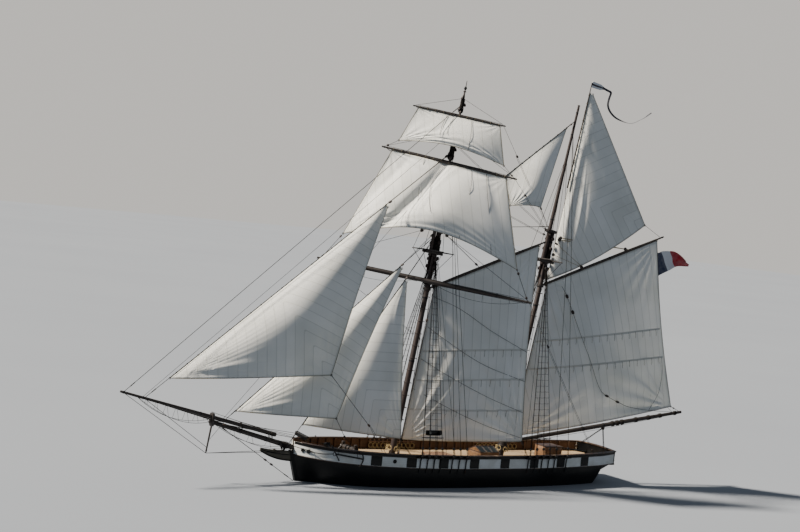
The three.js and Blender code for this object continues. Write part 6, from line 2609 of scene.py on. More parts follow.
# Running rigging
@dataclass
class RunningRigging:
    """The ropes that hoist and trim the sails and yards, with their blocks.

    Attributes:
        lines: the hull's lines.
        plan: the sails that the ropes lead to.
        pin_height: of the pin rails above the deck's edge.
    """

    lines: HullLines
    plan: SailPlan
    pin_height: float = 0.55

    def build(self) -> None:
        """Makes the ropes, a piece for each body and one for each rope that crosses a joint."""
        self.yard_gear()
        self.braces()
        self.fore_gaff_gear()
        self.main_gear()
        self.mainsheets()
        self.headsail_gear()
        self.staysail_gear()
        self.masthead()
        self.falls()

    def footropes(self, gear: Tackle, yard: Yard, sag: float) -> None:
        """The ropes that the crew stands on, hung behind a yard with three stirrups a side."""
        for side in (-1, 1):
            reach = np.array([0.05, 0.95]) * side * yard.length / 2
            path = sagging(yard.at(reach[0], 0, -0.15), yard.at(reach[1], 0, -0.1), sag, 19)
            gear.ropes.append(tube(path, 0.012, 6))
            for index in (5, 10, 15):
                along = reach[0] + (reach[1] - reach[0]) * index / 18
                gear.line(yard.at(along, -yard.radius, -0.1), path[index], radius=0.009)

    def yard_gear(self) -> None:
        """Footropes, sheets, lifts and ties of the three yards."""
        gear = Tackle()
        for yard, sag in ((LOWER_YARD, 0.62), (TOPSAIL_YARD, 0.5), (TOPGALLANT_YARD, 0.4)):
            self.footropes(gear, yard, sag)
        for side in (-1, 1):
            clew, arm = LOWER_YARD.at(5.8 * side, -1.9), LOWER_YARD.at(6.85 * side, -0.1)
            gear.line(clew, arm, radius=0.018)
            gear.block(between(clew, arm, 0.12), arm, 0.1)
            gear.block(between(clew, arm, 0.92), clew, 0.1)
            outer, inner = LOWER_YARD.at(6.85 * side, 0.12, 0.05), LOWER_YARD.at(0.4 * side, 0.16, 0.1)
            gear.line(outer, inner, radius=0.014)
            clew, arm = TOPSAIL_YARD.at(3.55 * side, -0.65), TOPSAIL_YARD.at(4.3 * side, -0.08)
            gear.line(clew, arm, radius=0.014)
            gear.block(between(clew, arm, 0.85), clew, 0.08)
            gear.line(FORE.pole(23.9), TOPGALLANT_YARD.at(2.95 * side, -0.06))
            gear.line(FORE.pole(21.6), TOPSAIL_YARD.at(4.35 * side, -0.08))
            cap, arm = FORE.pole(15.3), LOWER_YARD.at(6.95 * side, -0.08)
            gear.line(cap, arm, radius=0.014)
            gear.block(between(cap, arm, 0.12), arm, 0.12)
            quarter = TOPSAIL_YARD.at(1.3 * side, 0.05, -0.12)
            gear.line(LOWER_YARD.at(5.75 * side, -1.95, -0.1), quarter, radius=0.01)
            gear.block(quarter, LOWER_YARD.at(5.75 * side, -1.95), 0.1)
        gear.line(TOPSAIL_YARD.at(0, -0.1), FORE.pole(21.0), radius=0.018)
        gear.block(TOPSAIL_YARD.at(0, -0.32), FORE.pole(21.0), 0.14)
        gear.line(TOPGALLANT_YARD.at(0, -0.08), FORE.pole(23.6), radius=0.014)
        gear.block(TOPGALLANT_YARD.at(0, -0.24), FORE.pole(23.6), 0.1)
        gear.piece("yard_gear", Body.YARDS)

    def braces(self) -> None:
        """The braces from the mainmast's cap and the rail to the yards' arms."""
        for side in Side:
            runs = {
                "topgallant": (TOPGALLANT_YARD, MAIN.at(0.3, 0.12 * side.value, 15.75)),
                "topsail": (TOPSAIL_YARD, MAIN.at(0.25, 0.2 * side.value, 15.45)),
                "lower": (LOWER_YARD, self.lines.edge(side, -10.1, -0.03, BULWARK_HEIGHT + 0.08)),
            }
            for name, (yard, foot) in runs.items():
                arm = yard.at(-side.value * (yard.length / 2 - 0.15), 0, -0.06)
                gear = Tackle()
                gear.ropes.append(tube(sagging(foot, arm, 0.0, 25), 0.012, 6))
                gear.block(between(foot, arm, 0.72), arm, 0.11)
                gear.block(between(foot, arm, 0.02), arm, 0.1)
                second = between(foot, arm, np.linspace(0, 0.72, 19)) + point(0.07, 0, -0.05)
                gear.ropes.append(tube(second, 0.011, 6))
                gear.piece(f"{name}_brace_{side.word}", Body.SHIP, Bend(Body.YARDS, foot, arm))

    def fore_gaff_gear(self) -> None:
        """The fore gaff's throat and peak halyards, and the foresail's sheet."""
        gear = Tackle()
        throat = FORE.at(0, 0, FORE_GAFF_UP)
        gear.purchase(FORE.at(-0.42, 0, 11.45), FORE.at(-0.32, 0, 13.3))
        for share, shift in ((0.43, 0.12), (0.77, -0.12)):
            head = FORE.at(-0.28, shift, 15.05)
            eye = along_line(throat, FORE_GAFF_END, share, -0.12)
            gear.block(head, eye)
            gear.block(between(head, eye, 0.93), head, 0.12)
            for part in (-0.05, 0.05):
                gear.line(head + PORT * part, eye + PORT * part * 0.5, radius=0.012)
        gear.line(FORE.at(-0.28, 0.12, 15.05), along_line(throat, FORE_GAFF_END, 0.77, -0.12))
        gear.piece("fore_gaff_gear", Body.FORE_GAFF)
        clew, deck = self.plan.fore_clew, point(-4.6, 2.55, 1.65)
        sheet = Tackle()
        sheet.purchase(clew + point(-0.05, 0.0, -0.15), deck, 0.12)
        sheet.piece("foresail_sheet", Body.SHIP, Bend(Body.FORE_GAFF, deck, clew))

    def main_gear(self) -> None:
        """The main gaff's halyards, the topping lifts, and the gaff topsail's and mainsail's lines."""
        gear, lit = Tackle(), Tackle(MANILA)
        mainsail = self.plan.mainsail()
        throat = MAIN.at(0, 0, MAIN_GAFF_UP)
        gear.purchase(MAIN.at(-0.38, 0, 12.2), MAIN.at(-0.3, 0, 13.25))
        runs = (  # a share of the gaff, then the head's height, its place to port and the rope's radius
            (0.7, 15.5, 0.34, 0.03),
            (0.7, 15.35, 0.26, 0.03),
            (0.33, 15.1, 0.16, 0.014),
            (0.33, 14.3, 0.1, 0.014),
        )
        for share, up, aside, radius in runs:
            head = MAIN.at(-0.34, aside, up)
            eye = along_line(throat, MAIN_GAFF_END, share, -0.12) + PORT * 0.14
            lit.line(head, eye, radius=radius)
            lit.block(between(head, eye, 0.03), eye, 0.12)
            lit.block(between(head, eye, 0.95), head, 0.12)
        places = [(0.13, 0.95), (0.185, 0.87), (0.245, 0.755), (0.3, 0.64), (0.405, 0.41), (0.5, 0.195)]
        places += [(0.535, 0.165), (0.615, 0.11), (0.71, 0.055), (0.835, 0.012)]
        lift = mainsail.on_cloth(places, 0.11)
        gear.curve([*lift, on_boom(14.2, 0.1)], 0.014, 60)
        for place, towards in ((1, 2), (2, 1), (6, 7), (7, 6)):
            gear.block(lift[place], lift[towards], 0.15)
        gear.line(MAIN.at(-0.2, -0.36, 12.9), on_boom(14.2, 0.1) - PORT * 0.1, radius=0.014)
        clew = self.plan.main_clew
        gear.line(clew, on_boom(14.7, 0.1), radius=0.016)
        gear.block(between(clew, on_boom(14.7, 0.1), 0.35), on_boom(14.7), 0.09)
        gear.line(self.plan.topsail_clew, along_line(throat, MAIN_GAFF_END, 0.97, -0.05), radius=0.014)
        gear.line(self.plan.topsail_tack, MAIN.at(-0.3, -0.2, 11.4), MAIN.at(-0.22, -0.26, 2.0))
        axis = on_boom(1) - on_boom(0)
        inner = ((8.9, 1.08), (9.3, 1.08), (9.7, 1.06))
        outer = ((10.9, 1.02), (12.0, 0.96), (13.0, 0.9), (14.3, 0.8))
        for along, size in inner + outer:
            for step in (0.0, 0.05, 0.1, 0.15):
                gear.ropes.append(ring(on_boom(along + step), axis, BOOM_RADIUS * size + 0.01, 0.024))
        gear.line(on_boom(0.6, -0.16), on_boom(14.2, -0.09), radius=0.011, sag=0.12)
        gear.piece("main_gear", Body.MAIN_RIG)
        lit.piece("main_peak_halyard", Body.MAIN_RIG)

    def mainsheets(self) -> None:
        """The mainsheet's two purchases from the quarters to the boom."""
        for side in Side:
            deck, boom = point(-12.0, 1.5 * side.value, 2.0), on_boom(8.2, -0.2)
            sheet = Tackle()
            sheet.purchase(deck, boom, 0.14, 4)
            sheet.piece("mainsheet_" + side.word, Body.SHIP, Bend(Body.MAIN_RIG, deck, boom))

    def headsail_gear(self) -> None:
        """Halyards, sheets and downhauls of the three headsails, and two light stays."""
        gear = Tackle()
        heads = (
            (self.plan.outer_jib(), FORE.pole(20.3), 0.14),
            (self.plan.inner_jib(), FORE.pole(14.9), 0.12),
            (self.plan.fore_staysail(), FORE.pole(14.45), 0.12),
        )
        for sail, top, size in heads:
            aside = PORT * 0.06
            gear.block(between(sail.throat, top, 0.06), top, size)
            gear.block(between(sail.throat, top, 0.92), sail.throat, size)
            gear.line(sail.throat, top + aside, radius=0.013)
            gear.line(sail.throat - aside, top - aside, radius=0.011)
        sheets = (
            (heads[0][0].clew, point(8.55, 2.7, 3.91), 7.5),
            (heads[1][0].clew, point(9.9, 2.05, 3.1), 9.2),
        )
        for clew, block, x in sheets:
            rail = self.lines.edge(Side.PORT, x, -0.05, BULWARK_HEIGHT + 0.1)
            gear.line(clew, block, radius=0.018)
            gear.block(between(clew, block, 0.97), block, 0.12)
            gear.line(block, rail, radius=0.013)
            gear.line(block + point(-0.08, 0, 0), rail + point(-0.3, -0.1, -0.05), radius=0.012)
        clew = heads[2][0].clew
        gear.purchase(clew - point(0, 0, 0.1), point(4.4, 1.9, 1.7), 0.11)
        light = ((21.9, 22.93), (19.6, 17.48))
        for up, x in light:
            gear.line(FORE.pole(up), JIBBOOM.at(x) + point(0, 0, 0.1), radius=0.013)
        gear.piece("headsail_gear", Body.SHIP)

    def masthead(self) -> None:
        """The rigging's eyes and the blocks round the mastheads, and the fore truck's vane."""
        gear = Tackle()
        axis = FORE.ahead
        eyes = (
            (FORE, axis, 22.9, 24.1, [(0, 0.08), (0.1, 0.15), (0.7, 0.13), (1.2, 0.07)]),
            (FORE, axis, 19.75, 21.3, [(0, 0.12), (0.1, 0.2), (0.8, 0.17), (1.55, 0.1)]),
            (FORE, 0, 13.75, 14.7, [(0, 0.17), (0.04, 0.27), (0.5, 0.25), (0.95, 0.17)]),
            (MAIN, 0, 13.85, 14.7, [(0, 0.16), (0.04, 0.25), (0.4, 0.23), (0.85, 0.16)]),
        )
        for mast, ahead, start, end, outline in eyes:
            low, high = mast.at(ahead, 0, start), mast.at(ahead, 0, end)
            profile = [(0, 0.05), *outline, (outline[-1][0], 0.05)]
            gear.ropes.append(turned(low, high, profile, 24))
            for place, radius in outline[1:3]:
                for step in np.arange(0, 0.3, 0.06):
                    centre = low + unit(high - low) * (place + step)
                    gear.ropes.append(ring(centre, high - low, radius, 0.022, 20))
        for up, out, size in ((23.15, 0.2, 0.12), (23.5, -0.18, 0.12), (23.9, 0.14, 0.1)):
            gear.block(FORE.at(axis + out, 0.05, up), FORE.pole(up + 0.4), size)
        for up, out in ((20.15, 0.23), (20.5, -0.21), (20.9, 0.2)):
            gear.block(FORE.at(axis + out, 0.06, up), FORE.pole(up + 0.5), 0.12)
        hung = (
            (FORE, ((15.0, 0.34), (14.3, 0.42), (13.2, 0.4), (12.7, 0.38))),
            (MAIN, ((15.3, 0.34), (14.6, 0.38), (13.2, 0.38))),
        )
        for mast, places in hung:
            for up, port in places:
                for side in Side:
                    block = mast.at(0.12, side.value * port, up)
                    top = mast.at(0.12, side.value * port * 0.4, up + 0.55)
                    gear.block(block, top, 0.14)
                    gear.line(block, top, radius=0.012)
        top = FORE.pole(FORE.top - 0.02)
        outline = [(0, 0.03), (0.06, 0.035), (0.1, 0.06), (0.2, 0.11)]
        outline += [(0.3, 0.06), (0.34, 0.03), (0.7, 0.02)]
        gear.iron.append(turned(top, top + FORE.upward * 0.7, outline, 18))
        gear.piece("masthead_gear", Body.SHIP)

    def staysail_gear(self) -> None:
        """The halyard, tack line and sheet of the staysail between the masts."""
        gear = Tackle()
        sail = self.plan.topmast_staysail()
        head = MAIN.pole(23.6)
        gear.line(sail.peak, head + PORT * 0.05, radius=0.012)
        gear.block(between(sail.peak, head, 0.5), head, 0.1)
        gear.line(sail.tack, FORE.at(-0.2, 0.1, 15.3), radius=0.012)
        cap = MAIN.at(0.6, 0.25, 15.9)
        gear.line(sail.clew, cap, radius=0.014)
        gear.block(between(sail.clew, cap, 0.06), cap, 0.09)
        gear.piece("staysail_gear", Body.SHIP)

    def falls(self) -> None:
        """The halyards' falls beside the masts and down to the pin rails, with coils at deck."""
        gear, coils = Tackle(), Tackle(MANILA)
        for mast, feet in ((FORE, (4.5, 3.9, 3.3, 2.6, 1.9)), (MAIN, (-3.8, -4.3, -4.8))):
            for side in Side:
                for number, x in enumerate(feet):
                    y = side.value * (0.3 + 0.04 * number)
                    head = mast.at(0.1 - 0.06 * number, y, mast.hounds - 0.7)
                    foot = self.lines.edge(side, x, -0.2, self.pin_height)
                    gear.line(head, foot, radius=0.011)
                for ahead, out in ((-0.2, 0.38), (-0.28, 0.35)):
                    top = mast.at(ahead, side.value * out, mast.hounds - 0.75)
                    gear.line(top, mast.at(ahead, side.value * (out + 0.04), 0.9), radius=0.011)
        for side in Side:
            y = side.value
            gear.purchase(FORE.at(-0.2, 0.42 * y, 9.2), FORE.at(-0.15, 0.5 * y, 0.4), 0.12, 2)
            gear.line(FORE.at(-0.2, 0.42 * y, 9.2), FORE.at(FORE.ahead, 0.14 * y, 14.5), radius=0.013)
        gear.piece("halyard_falls", Body.SHIP)
        for mast in (FORE, MAIN):
            for angle in np.linspace(0.4, 5.9, 6):
                out = np.array([math.cos(angle), math.sin(angle)]) * 0.42
                for turn in range(3):
                    centre = mast.at(out[0], out[1], 0.62 - 0.03 * turn)
                    coils.ropes.append(ring(centre, point(out[0], out[1], 0.06 * turn), 0.14, 0.013, 16))
        coils.piece("mast_coils", Body.SHIP)


@dataclass
class HeadRigging:
    """The ropes of the bowsprit and jibboom.

    Attributes:
        lines: the hull's lines.
    """

    lines: HullLines

    def build(self) -> None:
        """Makes the martingale's stays, the guys, the horses, the shrouds and the lashings."""
        gear = Tackle()
        self.martingale(gear)
        self.sides(gear)
        self.lashings(gear)
        gear.piece("head_rigging", Body.SHIP)

    def martingale(self, gear: Tackle) -> None:
        """Stays from the jibboom to the martingale's foot, and back ropes to the bows."""
        gear.line(JIBBOOM.at(24.3), MARTINGALE_FOOT, radius=0.016)
        gear.line(JIBBOOM.at(22.9), MARTINGALE_FOOT + point(-0.03, 0, 0.35), radius=0.016)
        gear.line(JIBBOOM.at(17.4) - point(0, 0, 0.1), MARTINGALE_FOOT + point(-0.05, 0, 0.7), radius=0.014)
        for side in Side:
            bow = point(12.3, 0.36 * side.value, 1.9)
            gear.line(MARTINGALE_FOOT, bow, radius=0.016)
            gear.block(between(MARTINGALE_FOOT, bow, 0.8), bow, 0.11)
        low, top = point(12.05, 0, -0.05), BOWSPRIT.at(17.9)
        for share in (0.3, 0.38):
            gear.block(between(low, top, share), top, 0.12)

    def sides(self, gear: Tackle) -> None:
        """On each side the guys, the horse with its stirrups, the bowsprit's shroud and a man rope."""
        cap = JIBBOOM.at(HEAD_CAP_X)
        for side in Side:
            y = side.value
            cathead = self.lines.edge(side, 11.0, 0.3, 0.95)
            spreader = point(17.6, 0.75 * y, 3.6)
            gear.line(JIBBOOM.at(24.2), spreader, cathead, radius=0.014)
            gear.line(JIBBOOM.at(22.8), spreader + point(0, -0.04 * y, 0.02), cathead, radius=0.013)
            gear.iron.append(tube(np.stack([BOWSPRIT.at(17.9), spreader]), 0.03, 8))
            gear.line(BOWSPRIT.at(17.8), self.lines.edge(side, 11.6, 0.03, 0.3), radius=0.022)
            path = sagging(JIBBOOM.at(23.4) + PORT * 0.06 * y, cap + point(0.1, 0.3 * y, -0.2), 0.62, 31)
            self.horse(gear, path, 0.26 * y, JIBBOOM, 0.05 * y, range(4, 29, 4))
            path = sagging(cap + point(-0.2, 0.2 * y, -0.4), point(12.9, 0.3 * y, 2.1), 0.45, 21)
            self.horse(gear, path, 0.2 * y, BOWSPRIT, 0.1 * y, (5, 10, 15))
            head = self.lines.edge(side, 11.9, -0.05, 0.95)
            gear.line(cap + point(0, 0.16 * y, 0.3), head, radius=0.013, sag=0.12)

    @staticmethod
    def horse(
        gear: Tackle, path: Array, out: float, spar: HeadSpar, aside: float, stirrups: Sequence[int]
    ) -> None:
        """A rope to stand on under a spar.

        Args:
            gear: what the rope is added to.
            path: its path before it is bowed out.
            out: how far its middle is bowed to port, by a half sine.
            spar: the spar above it.
            aside: how far to port of the spar's axis the stirrups hang.
            stirrups: the points of the path that a stirrup holds.
        """
        bow = out * np.sin(np.linspace(0, math.pi, len(path)))
        path = path + bow[:, None] * PORT
        gear.ropes.append(tube(path, 0.013, 6))
        for index in stirrups:
            gear.line(spar.at(path[index, 0]) + PORT * aside, path[index], radius=0.009)

    @staticmethod
    def oval(centre: Array, size: tuple[float, float, float], radius: float) -> Shape:
        """A turn of rope: the sine of a full turn ahead and upwards, and its cosine to port."""
        turn = np.linspace(0, 2 * math.pi, 25)
        waves = np.stack([np.sin(turn), np.cos(turn), np.sin(turn)], axis=-1)
        return tube(centre + waves * np.array(size), radius, 6)

    def lashings(self, gear: Tackle) -> None:
        """The gammoning at the stem, and turns of rope that seize the jibboom's heel."""
        slope = BOWSPRIT.at(1) - BOWSPRIT.at(0)
        for shift in np.linspace(-0.12, 0.12, 5):
            centre = BOWSPRIT.at(13.1 + shift) - UP * 0.1
            gear.ropes.append(self.oval(centre, (shift, 0.19, 0.29), 0.02))
        for x in (14.0, 14.06, 14.12, 16.2, 16.26):
            centre = (BOWSPRIT.at(x) + JIBBOOM.at(x)) / 2
            gear.ropes.append(self.oval(centre, (0, 0.18, 0.34), 0.016))
        gear.iron.append(ring(BOWSPRIT.at(12.8), slope, 0.19, 0.025, 24))


# Deck
@dataclass
class DeckFittings:
    """The companion, the skylight, the main hatch and the windlass.

    Attributes:
        lines: the hull's lines.
        coaming: how far a coaming stands out from the sides above it; not used.
    """

    lines: HullLines
    coaming: float = 0.02

    def build(self) -> None:
        """Makes the fittings in place of the plain solids."""
        self.companion()
        self.skylight()
        self.main_hatch()
        self.windlass()

    def floor(self, x: float) -> float:
        """The deck's height in the middle of the ship."""
        return float(self.lines.height(x))

    def companion(self) -> None:
        """A panelled house 0.9 m high with a sliding hood and two doors on its after side."""
        x, base = -8.2, self.floor(-8.2)
        house = slab(point(x, 0, base + 0.42), (1.44, 1.24, 0.84), 0.02)
        roof = slab(point(x, 0, base + 0.865), (1.5, 1.3, 0.06), 0.02)
        hood = slab(point(x - 0.2, 0, base + 0.885), (0.8, 0.7, 0.03), 0.01)
        frames, panels = [], []
        for side in Side:
            for shift in (-0.36, 0.36):
                centre = point(x + shift, side.value * 0.622, base + 0.44)
                panels.append(slab(centre, (0.5, 0.02, 0.5), 0.008))
            frames.append(slab(point(x, side.value * 0.625, base + 0.06), (1.47, 0.03, 0.12), 0.01))
        for shift in (-0.17, 0.17):
            panels.append(slab(point(x - 0.724, shift, base + 0.45), (0.02, 0.3, 0.62), 0.008))
        parts = [
            (Shape.join([house, *panels]), VARNISHED),
            (Shape.join([roof, hood, *frames]), RAIL_WOOD),
        ]
        make_piece("companion_house", parts, Body.SHIP, ["companion"])

    def skylight(self) -> None:
        """A gabled skylight with three barred panes on each slope."""
        x, base = -2.6, self.floor(-2.6)
        box = slab(point(x, 0, base + 0.25), (1.56, 1.46, 0.5), 0.02)
        sill = slab(point(x, 0, base + 0.51), (1.6, 1.5, 0.05), 0.015)
        ridge = slab(point(x, 0, base + 0.825), (1.6, 0.12, 0.05), 0.012)
        gables, frames, panes, bars = [], [], [], []
        for end in (-0.74, 0.74):
            for y in np.linspace(-0.6, 0.6, 7):
                height = 0.28 * (1 - abs(y) / 0.73)
                middle = point(x + end, y, base + 0.53 + height / 2)
                gables.append(slab(middle, (0.06, 0.205, height), 0.003))
        for side in Side:
            low, high = point(x, side.value * 0.7, base + 0.54), point(x, side.value * 0.04, base + 0.815)
            slope = high - low
            face = unit(np.cross(slope, AHEAD)) * side.value
            face = face if face[2] > 0 else -face
            for shift in np.linspace(-0.75, 0.75, 4):
                along = point(shift, 0, 0)
                frames.append(beam(low + along, high + along, 0.07, 0.05, face))
            for shift in (-0.5, 0.0, 0.5):
                along = point(shift, 0, 0)
                panes.append(beam(low + along, high + along, 0.44, 0.02, face))
                for bar in (-0.15, -0.05, 0.05, 0.15):
                    step = point(shift + bar, 0, 0) + face * 0.035
                    bars.append(tube(np.stack([low + step, high + step]), 0.008, 6))
        parts = [
            (Shape.join([box, *gables]), VARNISHED),
            (Shape.join([sill, ridge, *frames]), RAIL_WOOD),
            (Shape.join(panes), SKYLIGHT_GLASS),
            (Shape.join(bars), IRON),
        ]
        make_piece("skylight_gable", parts, Body.SHIP, ["skylight"])

    def main_hatch(self) -> None:
        """A coaming with five cover boards, each with two lifting rings."""
        x, base = 1.0, self.floor(1.0)
        coaming = slab(point(x, 0, base + 0.12), (1.8, 1.8, 0.24), 0.02)
        boards, rings = [], []
        for shift in np.linspace(-0.68, 0.68, 5):
            boards.append(slab(point(x + shift, 0, base + 0.265), (0.32, 1.66, 0.06), 0.01))
            for y in (-0.55, 0.55):
                rings.append(ring(point(x + shift, y, base + 0.297), point(0.1, 0, 1), 0.04, 0.008, 12))
        parts = [
            (coaming, RAIL_WOOD),
            (Shape.join(boards), VARNISHED),
            (Shape.join(rings), IRON),
        ]
        make_piece("main_hatch_cover", parts, Body.SHIP, ["main_hatch"])

    def windlass(self) -> None:
        """A whelped barrel between two bitts with their knees, its pawl rim and warping ends."""
        x, base = 8.2, self.floor(8.2)
        axle = base + 0.5
        outline = [(0, 0.06), (0.01, 0.15), (0.12, 0.11), (0.2, 0.16), (0.22, 0.06)]
        timbers, iron = [], []
        for side in Side:
            start = point(x, side.value * 0.9, axle)
            timbers.append(turned(start, start - PORT * side.value * 0.22, outline, 20))
            y = side.value * 0.75
            timbers.append(beam(point(x, y, base + 0.03), point(x, y, base + 0.85), 0.2, 0.22, AHEAD, 0.03))
            timbers.append(beam(point(x + 0.62, y, base + 0.05), point(x + 0.08, y, base + 0.55), 0.12, 0.1))
            inner, outer = point(x, y * 0.2, axle), point(x, y * 0.28, axle)
            iron.append(turned(inner, outer, collar(0.06, 0.1, 0.2), 24))
        barrel = collar(1.28, 0.1, 0.15)
        timbers.append(turned(point(x, -0.64, axle), point(x, 0.64, axle), barrel, 24))
        for across, height in circle(8):
            out = point(across, 0, height) * 0.15
            for low, high in ((-0.6, -0.25), (0.25, 0.6)):
                a, b = point(x, low, axle) + out, point(x, high, axle) + out
                timbers.append(beam(a, b, 0.045, 0.045, out))
        parts = [(Shape.join(timbers), SPAR_DARK), (Shape.join(iron), IRON)]
        make_piece("windlass_barrel", parts, Body.SHIP, ["windlass"])


# Flags
@dataclass
class Flags:
    """The plain tricolour at the mainsail's leech and the pennant at the main truck.

    Attributes:
        hoist: the shares up the leech between which the ensign is made fast.
        thickness: of the bunting, in model metres.
    """

    hoist: tuple[float, float] = (0.795, 0.93)
    thickness: float = 0.003

    def build(self, plan: SailPlan) -> None:
        """Makes both flags."""
        self.ensign(plan.mainsail())
        self.pennant()

    def cloth(
        self, name: str, points: Array, uv: Array, finish: Finish, nodes: Sequence[str] = ()
    ) -> Object:
        """A flag of even thickness over a grid of points, in place of the nodes."""
        flag = make_piece(name, [(grid(points, uv), finish)], Body.MAIN_RIG, nodes)
        thicken(flag, self.thickness)
        return flag

    def ensign(self, mainsail: Sail) -> None:
        """A flag with its hoist along the leech, lifted in its middle and gathered at its fly.

        Between its top edge and its bottom edge it lies in even steps, and waves to port by
        a sine that grows towards the fly.
        """
        u, v = np.meshgrid(np.linspace(0, 1, 73), np.linspace(0, 1, 37))
        hoist = mainsail.surface(np.ones(2), np.array(self.hoist), rippled=False)
        knots = np.array([0, 0.33, 0.67, 1.0])
        edges = (  # the steps ahead and upwards from the hoist, of the bottom and of the top edge
            ([0, -0.8, -1.75, -2.7], [0, 0.42, 0.72, 0.86]),
            ([0, -0.45, -1.4, -2.62], [0, 0.1, 0.22, -0.42]),
        )
        low, high = (np.stack([fair(knots, np.array(row), u) for row in edge]) for edge in edges)
        step = low * (1 - v) + high * v
        points = hoist[0] + (hoist[1] - hoist[0]) * v[..., None]
        points[..., 0] += step[0] - 0.01
        points[..., 1] += 0.22 * np.sin(7 * u + 1.6 * v) * u**0.5 + 0.07 * np.sin(9 * v + 4 * u) * u
        points[..., 2] += step[1] + 0.03 * np.sin(11 * u - 2 * v) * u
        flag = self.cloth("ensign_bunting", points, np.stack([u, v], axis=-1), ENSIGN_CLOTH, ["ensign"])

    def pennant(self) -> None:
        """A long ribbon from the topsail pole: a broad white head, then a narrow dark tail."""
        pole = MAIN.at(POLE_AHEAD, 0, 26.5)
        steps = [
            (0, 0, -0.1),
            (-0.38, 0.05, -0.18),
            (-0.9, 0.1, -0.26),
            (-1.33, 0.15, -0.38),
            (-1.62, 0.2, -0.5),
            (-1.46, 0.25, -0.95),
            (-1.37, 0.3, -1.35),
            (-1.53, 0.35, -1.75),
            (-2.26, 0.45, -2.25),
            (-3.31, 0.55, -2.44),
            (-4.28, 0.65, -2.05),
            (-5.05, 0.75, -1.5),
        ]
        spine = through([pole + point(*step) for step in steps], 110)
        share = np.linspace(0, 1, 110)
        half = fair(np.array([0, 0.1, 0.16, 0.5, 1]), np.array([0.22, 0.2, 0.08, 0.07, 0.04]), share)
        twist = 2.4 * np.sin(6 * share) * np.clip(share - 0.12, 0, 1)
        sideways, upward = frames_along(spine, PORT)
        normal = upward * np.cos(twist)[:, None] + sideways * np.sin(twist)[:, None]
        across = unit(np.cross(np.gradient(spine, axis=0), normal))
        edge = np.linspace(-1, 1, 7)
        points = spine[:, None] + across[:, None] * (half[:, None] * edge[None, :])[..., None]
        ribbon = self.cloth("main_pennant", points, uv_grid(share[:, None], edge[None]), PENNANT_CLOTH)


# Stage
@dataclass(frozen=True)
class Floor(Finish):
    """A matt pale studio floor of painted board."""

    def build(self, tree: Tree, shader: Node) -> None:
        """Almost even, with a trace of soft mottling."""
        mottle = self.noise(tree, object_place(tree), 0.05, 2)
        paint = self.colour(tree, mottle, linear("#868b93"), linear("#8e939a"))
        feed(tree, shader, {"Base Color": paint, "Roughness": 0.9})


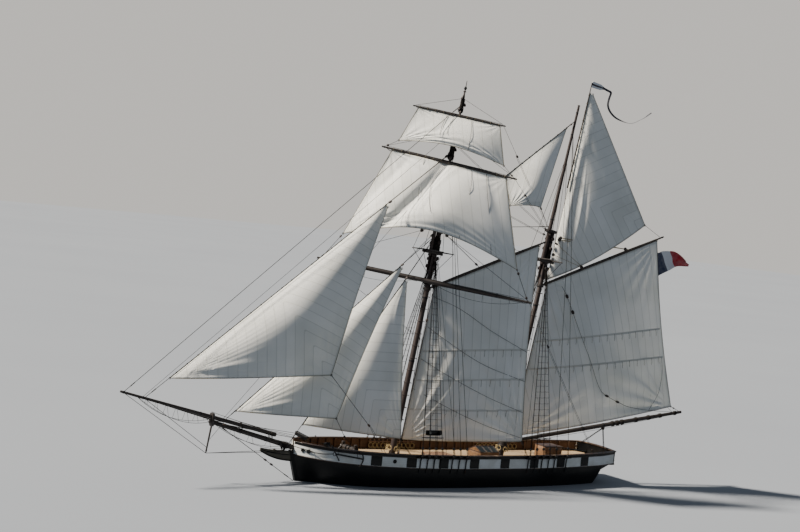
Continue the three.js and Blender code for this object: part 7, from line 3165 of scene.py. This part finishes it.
@dataclass
class Stage:
    """The pale floor at the waterline, the studio light and the camera of the photograph.

    The photograph was taken from low over the water while the ship heeled to port. The ship
    stands upright here, so the camera has been turned round the ship's length instead.

    Attributes:
        bearing: of the camera from the port beam towards the bow, in degrees.
        distance: of the camera from amidships.
        eye: the camera's height over the sea.
        yaw: how far to the left of amidships it looks, in degrees.
        heel: the ship's heel in degrees.
        focal: the focal length in pixels of the photograph.
        horizon: pixels of the horizon below the picture's middle.
        picture_width: in pixels.
        half_floor: half the floor's width in model metres.
        sun_energy: the sun's strength.
        sun_size: the sun's angle in degrees.
        sun_way: the direction in which its light travels.
    """

    bearing: float = 35.724
    distance: float = 111.74
    eye: float = 1.721
    yaw: float = 1.701
    heel: float = 10.774
    focal: float = 1655.6
    horizon: float = 187.0
    picture_width: int = 800
    half_floor: float = 260.0
    sun_energy: float = 10.0
    sun_size: float = 5.0
    sun_way: tuple[float, float, float] = (-0.63, 0.29, -0.72)

    def build(self) -> None:
        """Makes the floor, the lights and the camera."""
        ends = np.array([-self.half_floor, self.half_floor])
        x, y = np.meshgrid(ends, ends)
        points = np.stack([x, y, np.zeros_like(x)], axis=-1)
        mesh = bpy.data.meshes.new("floor")
        mesh.from_pydata(points.reshape(-1, 3).tolist(), [], [(0, 1, 3, 2)])
        mesh.materials.append(Floor("studio_floor", Slot.BAND_PAINT).material())
        floor = bpy.data.objects.new("floor", mesh)
        bpy.context.scene.collection.objects.link(floor)
        floor.visible_diffuse = False
        self.lights()
        self.camera()

    def upright(self, vector: Array) -> Array:
        """A direction or place of the sea's frame, turned back by the heel."""
        turn = math.radians(self.heel)
        x, y, z = vector
        return point(x, y * math.cos(turn) - z * math.sin(turn), z * math.cos(turn) + y * math.sin(turn))

    def camera(self) -> None:
        """The camera fitted to the photograph."""
        bearing = math.radians(self.bearing)
        place = point(math.sin(bearing) * self.distance, math.cos(bearing) * self.distance, self.eye)
        heading = math.atan2(-place[1], -place[0]) + math.radians(self.yaw)
        level = point(math.cos(heading), math.sin(heading), 0)
        pitch = math.atan(self.horizon / self.focal)
        ahead = self.upright(level * math.cos(pitch) + UP * math.sin(pitch))
        above = self.upright(UP * math.cos(pitch) - level * math.sin(pitch))
        right = np.cross(ahead, above)
        place = self.upright(place) * MODEL_SCALE
        lens = bpy.data.cameras.new("camera")
        lens.sensor_width = 36.0
        lens.lens = self.focal * lens.sensor_width / self.picture_width
        lens.clip_end = 2000.0
        camera = bpy.data.objects.new("camera", lens)
        turn = Matrix([list(right), list(above), list(-ahead)]).transposed()
        camera.matrix_world = Matrix.Translation(Vector(place)) @ turn.to_4x4()
        bpy.context.scene.collection.objects.link(camera)
        bpy.context.scene.camera = camera

    def lights(self) -> None:
        """A broad soft sun from ahead and above, and an even pale sky."""
        world = bpy.data.worlds.new("studio")
        world.use_nodes = True
        tree = world.node_tree
        background = tree.nodes["Background"]
        seen = add_node(tree, "ShaderNodeLightPath", {}).outputs["Is Camera Ray"]
        levels = {"Value": seen, "To Min": 0.3, "To Max": 0.86}
        sky = {
            "Color": Finish.colour(tree, seen, linear("#ccd9ea"), linear("#e6e2dc")),
            "Strength": add_node(tree, "ShaderNodeMapRange", levels).outputs[0],
        }
        feed(tree, background, sky)
        bpy.context.scene.world = world
        sun = bpy.data.lights.new("key", "SUN")
        sun.energy = self.sun_energy
        sun.angle = math.radians(self.sun_size)
        sun.color = linear("#fff6e8")[:3]
        lamp = bpy.data.objects.new("key", sun)
        lamp.rotation_euler = Vector(self.sun_way).to_track_quat("-Z", "Y").to_euler()
        bpy.context.scene.collection.objects.link(lamp)


def main() -> None:
    """Builds the ship, piece by piece, and its stage."""
    logging.basicConfig(level=logging.INFO, format="%(message)s")
    Stage().build()
    hull = Hull()
    hull.build()
    Spars().build()
    StandingRigging(hull.lines).build()
    HeadRigging(hull.lines).build()
    plan = SailPlan()
    for sail in plan.sails():
        sail.build()
    RunningRigging(hull.lines, plan).build()
    DeckFittings(hull.lines).build()
    Flags().build(plan)


if __name__ == "__main__":
    main()
